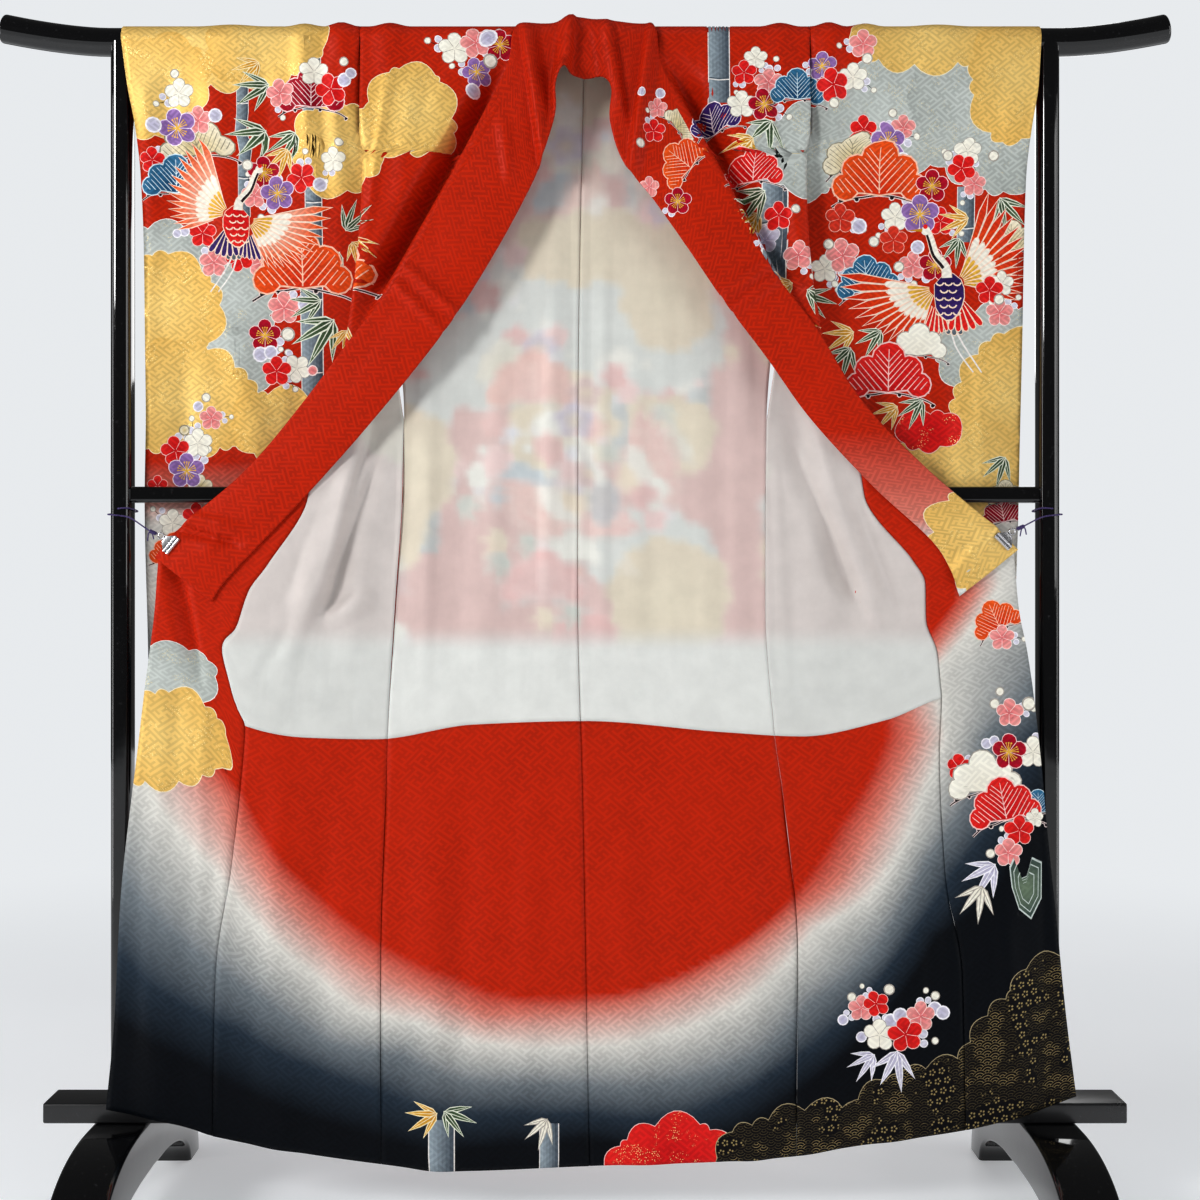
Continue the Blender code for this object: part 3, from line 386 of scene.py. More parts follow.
# Columns: kind, place from left to right, height, half width, turn in degrees, colour
FRONT_MOTIFS = (
    ("plum", -0.187, 1.681, 0.022, 0, "white"),
    ("plum", -0.157, 1.690, 0.021, 15, "pink"),
    ("plum", -0.122, 1.687, 0.022, 0, "crimson"),
    ("bud", -0.140, 1.697, 0.012, 0, "mist"),
    ("plum", -0.155, 1.647, 0.020, 20, "lilac"),
    ("bud", -0.136, 1.664, 0.009, 0, "white"),
    ("bud", -0.161, 1.621, 0.009, 0, "mist"),
    ("pine", 0.611, 1.005, 0.030, 10, "crimson"),
    ("pine", 0.588, 0.880, 0.048, -30, "orange"),
    ("plum", 0.624, 0.940, 0.020, 0, "white"),
    ("pine", 0.186, 1.563, 0.034, 20, "violet"),
    ("leaves", -0.469, 1.662, 0.032, 215, "ochre"),
    ("leaves", -0.455, 1.631, 0.040, 200, "green"),
    ("leaves", -0.461, 1.565, 0.046, 205, "green"),
    ("leaves", -0.415, 1.562, 0.040, 235, "green"),
    ("leaves", -0.429, 1.539, 0.034, 242, "ochre"),
    ("pine", -0.393, 1.599, 0.045, 0, "crimson"),
    ("plum", -0.438, 1.618, 0.019, 10, "pink"),
    ("plum", -0.389, 1.648, 0.019, 0, "white"),
    ("plum", -0.365, 1.623, 0.022, 20, "red"),
    ("bud", -0.346, 1.636, 0.009, 0, "mist"),
    ("bud", -0.336, 1.646, 0.007, 0, "mist"),
    ("bud", -0.346, 1.662, 0.006, 0, "white"),
    ("pine", -0.557, 1.533, 0.050, 6, "cream"),
    ("plum", -0.584, 1.618, 0.020, 0, "white"),
    ("bud", -0.590, 1.646, 0.006, 0, "white"),
    ("plum", -0.556, 1.579, 0.019, 0, "pink"),
    ("plum", -0.587, 1.569, 0.026, 15, "lilac"),
    ("bud", -0.620, 1.573, 0.010, 0, "mist"),
    ("bud", -0.531, 1.585, 0.009, 0, "mist"),
    ("plum", -0.624, 1.524, 0.017, 0, "red"),
    ("pine", -0.591, 1.481, 0.043, 0, "teal"),
    ("plum", -0.464, 1.506, 0.022, 0, "crimson"),
    ("plum", -0.409, 1.499, 0.020, 30, "red"),
    ("plum", -0.478, 1.474, 0.017, 0, "pink"),
    ("plum", -0.444, 1.477, 0.023, 10, "lilac"),
    ("bud", -0.487, 1.517, 0.007, 0, "white"),
    ("bud", -0.382, 1.489, 0.009, 0, "mist"),
    ("plum", -0.363, 1.524, 0.017, 0, "white"),
    ("bud", -0.353, 1.549, 0.006, 0, "white"),
    ("plum", -0.553, 1.420, 0.019, 0, "red"),
    ("bud", -0.579, 1.423, 0.007, 0, "mist"),
    ("bud", -0.590, 1.420, 0.006, 0, "mist"),
    ("plum", -0.537, 1.378, 0.020, 0, "pink"),
    ("plum", -0.469, 1.378, 0.019, 0, "pink"),
    ("plum", -0.500, 1.385, 0.019, 20, "red"),
    ("bud", -0.478, 1.400, 0.007, 0, "white"),
    ("leaves", -0.346, 1.424, 0.034, 60, "green"),
    ("leaves", -0.337, 1.407, 0.029, 300, "ochre"),
    ("leaves", -0.355, 1.392, 0.037, 235, "green"),
    ("pine", -0.409, 1.344, 0.066, 0, "orange"),
    ("crane", -0.501, 1.444, 0.089, 0, "red"),
    ("plum", -0.436, 1.313, 0.022, 0, "pink"),
    ("bud", -0.405, 1.318, 0.010, 0, "mist"),
    ("plum", -0.464, 1.273, 0.022, 0, "crimson"),
    ("bud", -0.431, 1.275, 0.009, 0, "white"),
    ("bud", -0.471, 1.246, 0.010, 0, "mist"),
    ("bud", -0.456, 1.249, 0.009, 0, "mist"),
    ("plum", -0.419, 1.226, 0.019, 30, "white"),
    ("plum", -0.448, 1.222, 0.020, 0, "red"),
    ("bud", -0.396, 1.223, 0.007, 0, "pink"),
    ("leaves", -0.383, 1.323, 0.037, 195, "green"),
    ("leaves", -0.365, 1.295, 0.055, 228, "green"),
    ("leaves", -0.346, 1.280, 0.029, 250, "ochre"),
    ("plum", -0.544, 1.154, 0.016, 0, "pink"),
    ("bud", -0.551, 1.184, 0.006, 0, "white"),
    ("bud", -0.563, 1.171, 0.007, 0, "mist"),
    ("plum", -0.564, 1.118, 0.020, 0, "white"),
    ("plum", -0.597, 1.107, 0.020, 10, "red"),
    ("bud", -0.584, 1.137, 0.007, 0, "cream"),
    ("plum", -0.561, 1.054, 0.017, 0, "cream"),
    ("plum", -0.581, 1.078, 0.024, 0, "lilac"),
    ("plum", -0.623, 1.056, 0.014, 0, "red"),
    ("plum", -0.601, 1.002, 0.019, 0, "white"),
    ("plum", -0.567, 1.011, 0.019, 0, "red"),
    ("pine", -0.599, 0.947, 0.034, 0, "orange"),
    ("plum", -0.544, 0.976, 0.017, 0, "pink"),
    ("plum", 0.245, 1.667, 0.016, 0, "white"),
    ("plum", 0.228, 1.646, 0.017, 0, "red"),
    ("plum", 0.263, 1.631, 0.019, 0, "pink"),
    ("plum", 0.224, 1.599, 0.019, 0, "white"),
    ("leaves", 0.266, 1.573, 0.040, 230, "green"),
    ("leaves", 0.240, 1.549, 0.037, 215, "ochre"),
    ("plum", 0.256, 1.598, 0.022, 10, "crimson"),
    ("pine", 0.304, 1.608, 0.036, 0, "teal"),
    ("plum", 0.340, 1.656, 0.019, 0, "lilac"),
    ("plum", 0.385, 1.641, 0.019, 0, "white"),
    ("plum", 0.356, 1.628, 0.023, 15, "red"),
    ("plum", 0.399, 1.688, 0.019, 0, "pink"),
    ("bud", 0.357, 1.602, 0.007, 0, "white"),
    ("bud", 0.405, 1.667, 0.007, 0, "white"),
    ("plum", 0.401, 1.566, 0.019, 0, "red"),
    ("plum", 0.458, 1.569, 0.017, 0, "pink"),
    ("bud", 0.442, 1.589, 0.006, 0, "white"),
    ("pine", 0.389, 1.516, 0.042, 12, "cream"),
    ("plum", 0.434, 1.550, 0.024, 0, "lilac"),
    ("bud", 0.458, 1.524, 0.010, 0, "mist"),
    ("pine", 0.425, 1.477, 0.062, 0, "orange"),
    ("plum", 0.551, 1.536, 0.019, 0, "white"),
    ("plum", 0.561, 1.490, 0.017, 0, "pink"),
    ("plum", 0.543, 1.512, 0.019, 25, "red"),
    ("bud", 0.589, 1.530, 0.007, 0, "white"),
    ("bud", 0.523, 1.530, 0.007, 0, "white"),
    ("plum", 0.501, 1.487, 0.022, 0, "crimson"),
    ("plum", 0.514, 1.437, 0.019, 0, "red"),
    ("plum", 0.448, 1.443, 0.019, 0, "white"),
    ("plum", 0.484, 1.447, 0.026, 0, "lilac"),
    ("plum", 0.369, 1.441, 0.020, 0, "vermilion"),
    ("bud", 0.396, 1.430, 0.010, 0, "mist"),
    ("plum", 0.446, 1.410, 0.019, 0, "vermilion"),
    ("bud", 0.418, 1.408, 0.007, 0, "white"),
    ("plum", 0.347, 1.369, 0.019, 0, "white"),
    ("plum", 0.373, 1.388, 0.023, 10, "pink"),
    ("bud", 0.353, 1.404, 0.007, 0, "white"),
    ("pine", 0.240, 1.490, 0.039, 0, "red"),
    ("leaves", 0.248, 1.447, 0.040, 235, "ochre"),
    ("leaves", 0.256, 1.473, 0.040, 215, "green"),
    ("plum", 0.260, 1.410, 0.017, 0, "mist"),
    ("plum", 0.276, 1.438, 0.019, 0, "red"),
    ("bud", 0.300, 1.447, 0.006, 0, "white"),
    ("plum", 0.304, 1.381, 0.019, 0, "pink"),
    ("leaves", 0.297, 1.344, 0.032, 200, "ochre"),
    ("leaves", 0.317, 1.332, 0.037, 330, "green"),
    ("pine", 0.411, 1.338, 0.042, 10, "teal"),
    ("plum", 0.475, 1.374, 0.019, 0, "pink"),
    ("plum", 0.507, 1.374, 0.022, 0, "crimson"),
    ("bud", 0.481, 1.400, 0.009, 0, "mist"),
    ("bud", 0.454, 1.372, 0.007, 0, "white"),
    ("pine", 0.617, 1.398, 0.034, 0, "cream"),
    ("leaves", 0.553, 1.441, 0.034, 190, "ochre"),
    ("leaves", 0.600, 1.470, 0.040, 300, "green"),
    ("leaves", 0.541, 1.412, 0.032, 250, "green"),
    ("crane", 0.524, 1.346, 0.103, 0, "orange"),
    ("plum", 0.604, 1.348, 0.017, 0, "white"),
    ("plum", 0.586, 1.338, 0.019, 0, "red"),
    ("plum", 0.601, 1.306, 0.019, 0, "pink"),
    ("bud", 0.600, 1.325, 0.007, 0, "white"),
    ("pine", 0.484, 1.246, 0.037, 0, "white"),
    ("leaves", 0.389, 1.278, 0.037, 200, "ochre"),
    ("leaves", 0.429, 1.280, 0.034, 225, "green"),
    ("leaves", 0.385, 1.255, 0.037, 240, "green"),
    ("pine", 0.441, 1.194, 0.057, 0, "red"),
    ("leaves", 0.454, 1.171, 0.032, 215, "ochre"),
    ("leaves", 0.490, 1.180, 0.034, 232, "green"),
    ("leaves", 0.612, 1.097, 0.034, 240, "green"),
    ("pine", 0.613, 1.033, 0.026, 0, "cream"),
)
COLLAR_CLOUDS = (("gold", (0.575, 0.975, 0.078, 0.080)),)
# Columns: kind, place from left to right, height, half width, turn in degrees, colour
COLLAR_MOTIFS = (
    ("bud", 0.080, 1.610, 0.006, 0, "mist"),
    ("bud", 0.108, 1.614, 0.007, 0, "mist"),
    ("plum", 0.102, 1.590, 0.014, 0, "pink"),
    ("pine", 0.132, 1.564, 0.026, -50, "cream"),
    ("plum", 0.097, 1.557, 0.016, 0, "red"),
    ("bud", 0.080, 1.539, 0.006, 0, "white"),
    ("plum", 0.092, 1.478, 0.014, 0, "pink"),
    ("pine", 0.149, 1.505, 0.038, 52, "orange"),
    ("plum", 0.131, 1.456, 0.018, 0, "crimson"),
)
LINING_CLOUDS = (
    ("silver", (-0.610, 0.775, 0.075, 0.052)),
    ("gold", (-0.600, 0.690, 0.082, 0.068)),
    ("red", (0.125, 0.082, 0.098, 0.058)),
    ("wave", (0.330, 0.100, 0.130, 0.070), (0.480, 0.130, 0.110, 0.090),
     (0.640, 0.200, 0.110, 0.150), (0.560, 0.120, 0.170, 0.110), (0.690, 0.290, 0.090, 0.090)),
)
# Columns: kind, place from left to right, height, half width, turn in degrees, colour
LINING_MOTIFS = (
    ("pine", 0.592, 0.850, 0.034, 25, "orange"),
    ("plum", 0.595, 0.836, 0.017, 0, "pink"),
    ("bud", 0.592, 0.759, 0.006, 0, "white"),
    ("bud", 0.585, 0.742, 0.007, 0, "white"),
    ("bud", 0.633, 0.742, 0.009, 0, "white"),
    ("plum", 0.606, 0.729, 0.019, 0, "pink"),
    ("bud", 0.572, 0.685, 0.007, 0, "mist"),
    ("bud", 0.584, 0.689, 0.007, 0, "mist"),
    ("plum", 0.639, 0.673, 0.021, 0, "white"),
    ("plum", 0.531, 0.652, 0.017, 0, "red"),
    ("pine", 0.571, 0.619, 0.047, 8, "white"),
    ("plum", 0.604, 0.673, 0.024, 0, "crimson"),
    ("pine", 0.646, 0.588, 0.026, 0, "teal"),
    ("pine", 0.601, 0.579, 0.049, 12, "red"),
    ("plum", 0.641, 0.579, 0.013, 0, "white"),
    ("plum", 0.618, 0.562, 0.020, 0, "red"),
    ("plum", 0.602, 0.530, 0.019, 0, "pink"),
    ("bud", 0.578, 0.529, 0.006, 0, "white"),
    ("leaves", 0.584, 0.513, 0.043, 225, "mist"),
    ("leaves", 0.566, 0.482, 0.040, 250, "white"),
    ("bud", 0.380, 0.324, 0.006, 0, "white"),
    ("bud", 0.368, 0.292, 0.007, 0, "mist"),
    ("bud", 0.432, 0.336, 0.007, 0, "white"),
    ("plum", 0.394, 0.308, 0.017, 0, "pink"),
    ("plum", 0.414, 0.315, 0.017, 20, "red"),
    ("bud", 0.497, 0.308, 0.009, 0, "mist"),
    ("bud", 0.509, 0.302, 0.009, 0, "mist"),
    ("bud", 0.435, 0.291, 0.010, 0, "mist"),
    ("bud", 0.449, 0.299, 0.010, 0, "mist"),
    ("bud", 0.394, 0.267, 0.007, 0, "mist"),
    ("bud", 0.498, 0.326, 0.006, 0, "white"),
    ("plum", 0.478, 0.298, 0.020, 0, "pink"),
    ("leaves", 0.412, 0.242, 0.034, 222, "mist"),
    ("leaves", 0.444, 0.248, 0.043, 262, "mist"),
    ("plum", 0.419, 0.271, 0.021, 0, "white"),
    ("plum", 0.455, 0.272, 0.023, 10, "red"),
    ("leaves", -0.211, 0.160, 0.037, 200, "ochre"),
    ("leaves", -0.200, 0.162, 0.037, 325, "green"),
    ("leaves", -0.054, 0.151, 0.034, 240, "white"),
    ("stump", 0.628, 0.480, 0.045, 0, "stone"),
)
# Columns: place from left to right, top, foot, half width
FRONT_STEMS = (
    (-0.492, 1.665, 1.443, 0.0079),
    (-0.392, 1.700, 1.385, 0.0115),
    (-0.396, 1.349, 1.177, 0.0151),
    (-0.507, 1.285, 1.217, 0.0057),
    (0.192, 1.740, 1.601, 0.0144),
    (0.271, 1.536, 1.256, 0.0172),
    (0.550, 1.486, 1.407, 0.0115),
)
LINING_STEMS = (
    (-0.204, 0.151, 0.048, 0.0171),
    (-0.051, 0.145, 0.048, 0.0128),
)

# Creases of each layer. Columns: start from left to right, its height, end, its height,
# half width, how far the cloth comes forward. A seventh column is the share of the half
# width that one side of the crease keeps: above 0 the side on the left of the way from
# start to end, below 0 the other side
FRONT_CREASES = (
    (-0.092, 1.690, -0.330, 1.270, 0.038, -0.0430, 0.30),
    (-0.075, 1.690, -0.300, 1.280, 0.026, 0.0060),
    (-0.277, 1.677, -0.314, 1.392, 0.009, 0.0035),
    (-0.244, 1.665, -0.266, 1.435, 0.023, 0.0020),
    (-0.165, 1.697, -0.223, 1.579, 0.020, 0.0025),
    (0.103, 1.690, 0.318, 1.290, 0.036, -0.0400, -0.30),
    (0.088, 1.690, 0.292, 1.300, 0.026, 0.0060),
    (0.240, 1.679, 0.326, 1.321, 0.013, 0.0040),
    (0.215, 1.688, 0.225, 1.565, 0.014, -0.0025),
    (0.266, 1.665, 0.294, 1.407, 0.010, -0.0030),
    (0.165, 1.694, 0.187, 1.593, 0.012, 0.0025),
)
SLEEVE_CREASES = (
    (-0.601, 1.665, -0.593, 1.407, 0.022, -0.0045),
    (-0.634, 1.665, -0.624, 1.321, 0.017, 0.0030),
    (-0.545, 1.687, -0.507, 1.378, 0.032, 0.0035),
    (-0.464, 1.687, -0.455, 1.464, 0.017, -0.0025),
    (-0.409, 1.694, -0.383, 1.421, 0.019, 0.0040),
    (-0.359, 1.694, -0.340, 1.507, 0.012, -0.0035),
    (-0.517, 1.321, -0.464, 1.033, 0.035, 0.0040),
    (-0.581, 1.278, -0.587, 1.005, 0.023, -0.0030),
    (-0.409, 1.292, -0.423, 1.077, 0.026, -0.0025),
    (0.356, 1.694, 0.363, 1.435, 0.016, 0.0035),
    (0.395, 1.694, 0.415, 1.536, 0.013, -0.0030),
    (0.429, 1.694, 0.452, 1.407, 0.020, 0.0030),
    (0.474, 1.687, 0.484, 1.507, 0.013, -0.0030),
    (0.545, 1.687, 0.564, 1.378, 0.029, 0.0040),
    (0.607, 1.665, 0.616, 1.278, 0.014, -0.0040),
    (0.510, 1.292, 0.535, 1.005, 0.029, 0.0040),
    (0.574, 1.278, 0.584, 1.005, 0.017, -0.0030),
    (0.409, 1.321, 0.423, 1.148, 0.026, -0.0025),
)
COLLAR_CREASES = (
    (-0.092, 1.745, -0.052, 1.460, 0.026, 0.0180, -0.35),
    (-0.016, 1.750, -0.036, 1.575, 0.022, 0.0230, 0.40),
    (0.026, 1.745, 0.054, 1.560, 0.028, 0.0160, 0.45),
    (0.098, 1.745, 0.060, 1.470, 0.022, 0.0170, -0.35),
    (-0.120, 1.590, -0.105, 1.470, 0.014, 0.0040),
    (-0.280, 1.388, -0.160, 1.278, 0.012, 0.0100, 0.50),
    (-0.290, 1.362, -0.180, 1.250, 0.010, 0.0080, 0.50),
    (0.290, 1.392, 0.170, 1.300, 0.012, 0.0100, -0.50),
    (0.300, 1.368, 0.180, 1.275, 0.010, 0.0080, -0.50),
    (-0.600, 0.998, -0.480, 0.968, 0.013, -0.0100, 0.50),
    (-0.592, 1.014, -0.480, 0.990, 0.012, 0.0060),
    (-0.149, 1.559, -0.405, 1.146, 0.038, 0.0016),
    (0.149, 1.559, 0.377, 1.175, 0.038, 0.0016),
    (0.600, 1.012, 0.515, 0.905, 0.024, 0.0090, 0.30),
    (-0.512, 1.004, -0.548, 0.947, 0.020, 0.0020),
)
BACK_CREASES = (
    (-0.036, 1.561, -0.060, 0.804, 0.016, 0.0035),
    (0.027, 1.461, 0.026, 0.747, 0.013, 0.0030),
    (-0.019, 1.561, -0.020, 0.747, 0.007, -0.0020),
    (0.007, 1.575, 0.006, 0.747, 0.007, -0.0020),
    (-0.164, 1.275, -0.185, 0.747, 0.038, -0.0030),
    (-0.121, 1.389, -0.133, 0.833, 0.020, 0.0025),
    (0.093, 1.375, 0.100, 0.747, 0.029, -0.0030),
    (0.164, 1.275, 0.181, 0.762, 0.023, 0.0025),
    (0.224, 1.232, 0.238, 0.747, 0.023, -0.0030),
    (-0.221, 1.147, -0.230, 0.747, 0.014, 0.0025),
    (-0.164, 0.662, -0.185, 0.105, 0.035, -0.0035),
    (-0.078, 0.662, -0.090, 0.091, 0.029, 0.0030),
    (0.078, 0.662, 0.107, 0.105, 0.038, -0.0035),
    (0.193, 0.662, 0.214, 0.105, 0.029, 0.0030),
)
TURNED_CREASES = (
    (-0.257, 1.175, -0.273, 0.690, 0.012, 0.0035),
    (-0.298, 1.180, -0.380, 0.830, 0.042, -0.0135, -0.30),
    (-0.300, 1.120, -0.410, 0.830, 0.044, 0.0150, 0.30),
    (-0.300, 0.905, -0.380, 0.855, 0.028, 0.0090, -0.55),
    (-0.590, 0.985, -0.540, 0.740, 0.032, -0.0130, 0.30),
    (-0.378, 1.004, -0.435, 0.747, 0.020, 0.0030),
    (-0.407, 0.876, -0.478, 0.762, 0.017, -0.0025),
    (0.290, 1.190, 0.405, 0.830, 0.040, -0.0120, 0.55),
    (0.306, 1.130, 0.430, 0.830, 0.042, 0.0140, -0.30),
    (0.345, 0.915, 0.425, 0.850, 0.030, 0.0070, 0.80),
    (0.378, 1.061, 0.449, 0.861, 0.017, -0.0035),
    (0.271, 1.133, 0.292, 0.719, 0.012, 0.0030),
    (-0.364, 0.662, -0.381, 0.134, 0.029, -0.0030),
    (-0.435, 0.633, -0.461, 0.148, 0.023, 0.0030),
    (-0.278, 0.683, -0.287, 0.105, 0.012, 0.0035),
    (0.378, 0.662, 0.409, 0.134, 0.029, -0.0030),
    (0.457, 0.633, 0.485, 0.162, 0.023, 0.0030),
    (0.287, 0.683, 0.304, 0.105, 0.012, 0.0035),
    (0.561, 0.890, 0.521, 0.491, 0.017, 0.0040),
    (0.599, 0.833, 0.592, 0.462, 0.017, -0.0035),
    (0.528, 0.833, 0.514, 0.319, 0.012, -0.0025),
    (0.592, 0.462, 0.614, 0.191, 0.023, 0.0030),
    (0.649, 0.662, 0.663, 0.205, 0.014, -0.0030),
    (-0.578, 0.833, -0.592, 0.462, 0.023, -0.0035),
    (-0.542, 0.804, -0.552, 0.319, 0.014, 0.0030),
    (-0.621, 0.605, -0.621, 0.205, 0.017, 0.0030),
    (-0.504, 0.662, -0.526, 0.162, 0.012, 0.0030),
)

SIDES = ((-1, "left"), (1, "right"))


@lru_cache(maxsize=None)
def curve_of(table, column):
    """The places, values and tangents of a table's smooth curve, which never overshoots."""
    rows = np.array(table, dtype=float)
    places, values = rows[:, 0], rows[:, column]
    slopes = np.diff(values) / np.diff(places)
    before, after = slopes[:-1], slopes[1:]
    level = before * after <= 0
    total = np.where(level, 1.0, before + after)
    inner = np.where(level, 0.0, 2 * before * after / total)
    return places, values, np.concatenate((slopes[:1], inner, slopes[-1:]))


def read(table, place, column=1):
    """A table's smooth curve at one place or many, held level beyond its ends."""
    places, values, tangents = curve_of(table, column)
    place = np.clip(place, places[0], places[-1])
    index = np.clip(np.searchsorted(places, place, side="right") - 1, 0, len(places) - 2)
    step = places[index + 1] - places[index]
    t = (place - places[index]) / step
    rise = (2 * t - 3) * t * t
    slope = t * (t - 1) ** 2 * tangents[index] + t * t * (t - 1) * tangents[index + 1]
    return (1 + rise) * values[index] - rise * values[index + 1] + step * slope


def read_side(table, place, side):
    """The left or right column of a table at a place."""
    return read(table, place, 1 if side < 0 else 2)


def lengths_of(path):
    """How far along a path each of its points lies."""
    return np.concatenate(([0.0], np.cumsum(np.linalg.norm(np.diff(path, axis=0), axis=1))))


def directions(path):
    """The direction of a path at each of its points."""
    along = np.gradient(path, axis=0)
    return along / np.linalg.norm(along, axis=1, keepdims=True)


def ease(value):
    value = np.clip(value, 0.0, 1.0)
    return value * value * (3 - 2 * value)


def bump(distance, half_width):
    """1 at no distance, and smoothly down to 0 at the half width."""
    share = np.clip(np.abs(distance) / half_width, 0.0, 1.0)
    return (1 + np.cos(math.pi * share)) / 2


def crease_depth(x, level):
    """How far the long creases bring the cloth forward along one row."""
    depth = np.zeros_like(x)
    for top_x, top, foot_x, foot, half_width, rise in CREASES:
        if foot <= level <= top:
            along = (level - foot) / (top - foot)
            fade = ease(3 * (1 - along)) * (ease(3 * along) if foot > 0 else 1.0)
            depth -= rise * fade * bump(x - foot_x - (top_x - foot_x) * along, half_width)
    return depth


def pleat_rise(out, height):
    """How far the pleats over the bar stand off, fading downwards."""
    rise = sum(rise * bump(out - place, half_width) for place, half_width, rise in PLEATS)
    return rise * ease(1 - (BAR_HEIGHT - height) / PLEAT_FALL)


def cloth_height(level, x):
    """Level 0 is the hem, LINING_LEVEL the lining seam, and TRUE_LEVEL up a real height."""
    if level >= TRUE_LEVEL:
        return np.full_like(x, level)
    seam = read(LINING_SEAM, x)
    if level >= LINING_LEVEL:
        return seam + (level - LINING_LEVEL) / (TRUE_LEVEL - LINING_LEVEL) * (TRUE_LEVEL - seam)
    hem = read(HEM, x)
    return hem + level / LINING_LEVEL * (seam - hem)


def flat_height(level):
    """The flat cloth's own measure of height, which is a real height above the lining seam."""
    return max(level, HEM_LEVEL + level * (1 - HEM_LEVEL / LINING_LEVEL))


class Strip:
    """A strip of cloth: a fine grid of points, and the flat place of each.

    v grows with the rows, and u runs evenly from left to right along each row.
    """

    def __init__(self, points, v, left, right):
        self.points = np.asarray(points, dtype=float)
        self.v = np.asarray(v, dtype=float)
        self.left = np.asarray(left, dtype=float)
        self.right = np.asarray(right, dtype=float)

    def normals(self, flip=1.0):
        across = np.gradient(self.points, axis=1)
        along = np.gradient(self.points, axis=0)
        normals = np.cross(across, along)
        return flip * normals / np.linalg.norm(normals, axis=2, keepdims=True)

    def moved(self, offsets):
        return Strip(self.points + offsets, self.v, self.left, self.right)

    def part(self, first, last):
        rows = slice(first, last)
        return Strip(self.points[rows], self.v[rows], self.left[rows], self.right[rows])

    def row_at(self, v):
        return int(np.argmin(np.abs(self.v - v)))

    def u_grid(self):
        shares = np.linspace(0.0, 1.0, self.points.shape[1])
        return self.left[:, None] + (self.right - self.left)[:, None] * shares[None, :]

    def at(self, u, v):
        """The hung places of flat places."""
        rows, columns = self.points.shape[:2]
        along = np.interp(v, self.v, np.arange(rows))
        left = np.interp(v, self.v, self.left)
        right = np.interp(v, self.v, self.right)
        across = np.clip((u - left) / (right - left), 0.0, 1.0) * (columns - 1)
        i = np.clip(along.astype(int), 0, rows - 2)
        j = np.clip(across.astype(int), 0, columns - 2)
        s = (along - i)[:, None]
        t = (across - j)[:, None]
        low = self.points[i, j] * (1 - t) + self.points[i, j + 1] * t
        high = self.points[i + 1, j] * (1 - t) + self.points[i + 1, j + 1] * t
        return low * (1 - s) + high * s


def creased(strip, table, chosen=True):
    """Brings a strip forward, or back, along each crease of a table."""
    spots = strip.points[:, :, (0, 2)]
    rise = np.zeros(spots.shape[:2])
    for start_x, start_z, end_x, end_z, half, forward, *steep in table:
        span = np.array((end_x - start_x, end_z - start_z))
        offset = spots - (start_x, start_z)
        share = np.clip(offset @ span / (span @ span), 0.0, 1.0)
        away = offset - share[:, :, None] * span
        reach = half
        for narrower in steep:
            right = span[0] * away[:, :, 1] - span[1] * away[:, :, 0]
            reach = np.where(right * narrower > 0, half * abs(narrower), half)
        far = np.linalg.norm(away, axis=2)
        rise += forward * bump(far, reach) * ease(4 * share) * ease(4 * (1 - share))
    points = strip.points.copy()
    points[:, :, 1] -= rise * chosen
    return Strip(points, strip.v, strip.left, strip.right)


def row_levels(first, last, stops=()):
    """Levels no further apart than ROW_STEP, through each stop."""
    edges = [first, *[stop for stop in stops if first < stop < last], last]
    levels = [first]
    for low, high in zip(edges, edges[1:]):
        count = max(1, math.ceil((high - low) / ROW_STEP))
        levels += list(np.linspace(low, high, count + 1)[1:])
    return levels


def collar_edge(side, level):
    """Where a front panel ends at the overlap's or the collar's seam."""
    if level <= OVERLAP_TOP:
        return read_side(OVERLAP_SEAM, level, side) - SEAM_HALF
    return read_side(COLLAR_RIDGE, level, side) - COLLAR_LAP


def back_row(side, level):
    """A row of the back panel from the centre seam to the side seam."""
    middle = read(MIDDLE, level) + side * SEAM_HALF
    edge = side * (read_side(SIDE_SEAM, level, side) - SEAM_HALF)
    x = np.linspace(middle, edge, BODY_COLUMNS)
    height = cloth_height(level, x)
    depth = read(BACK_DEPTH, level) + crease_depth(x, level) + pleat_rise(np.abs(x), height)
    return np.stack((x, depth, height), axis=1)


def wrap_row(side, angle):
    """A row of the body panel over the bar, at an angle from the front."""
    turn = math.radians(angle)
    neck = max(read(NECK, angle), SEAM_HALF)
    out = np.linspace(neck, SLEEVE_SEAM - SEAM_HALF, BODY_COLUMNS)
    radius = DRAPE_RADIUS + pleat_rise(out, BAR_HEIGHT)
    return np.stack(
        (side * out, -radius * math.cos(turn), BAR_HEIGHT + radius * math.sin(turn)), axis=1
    )


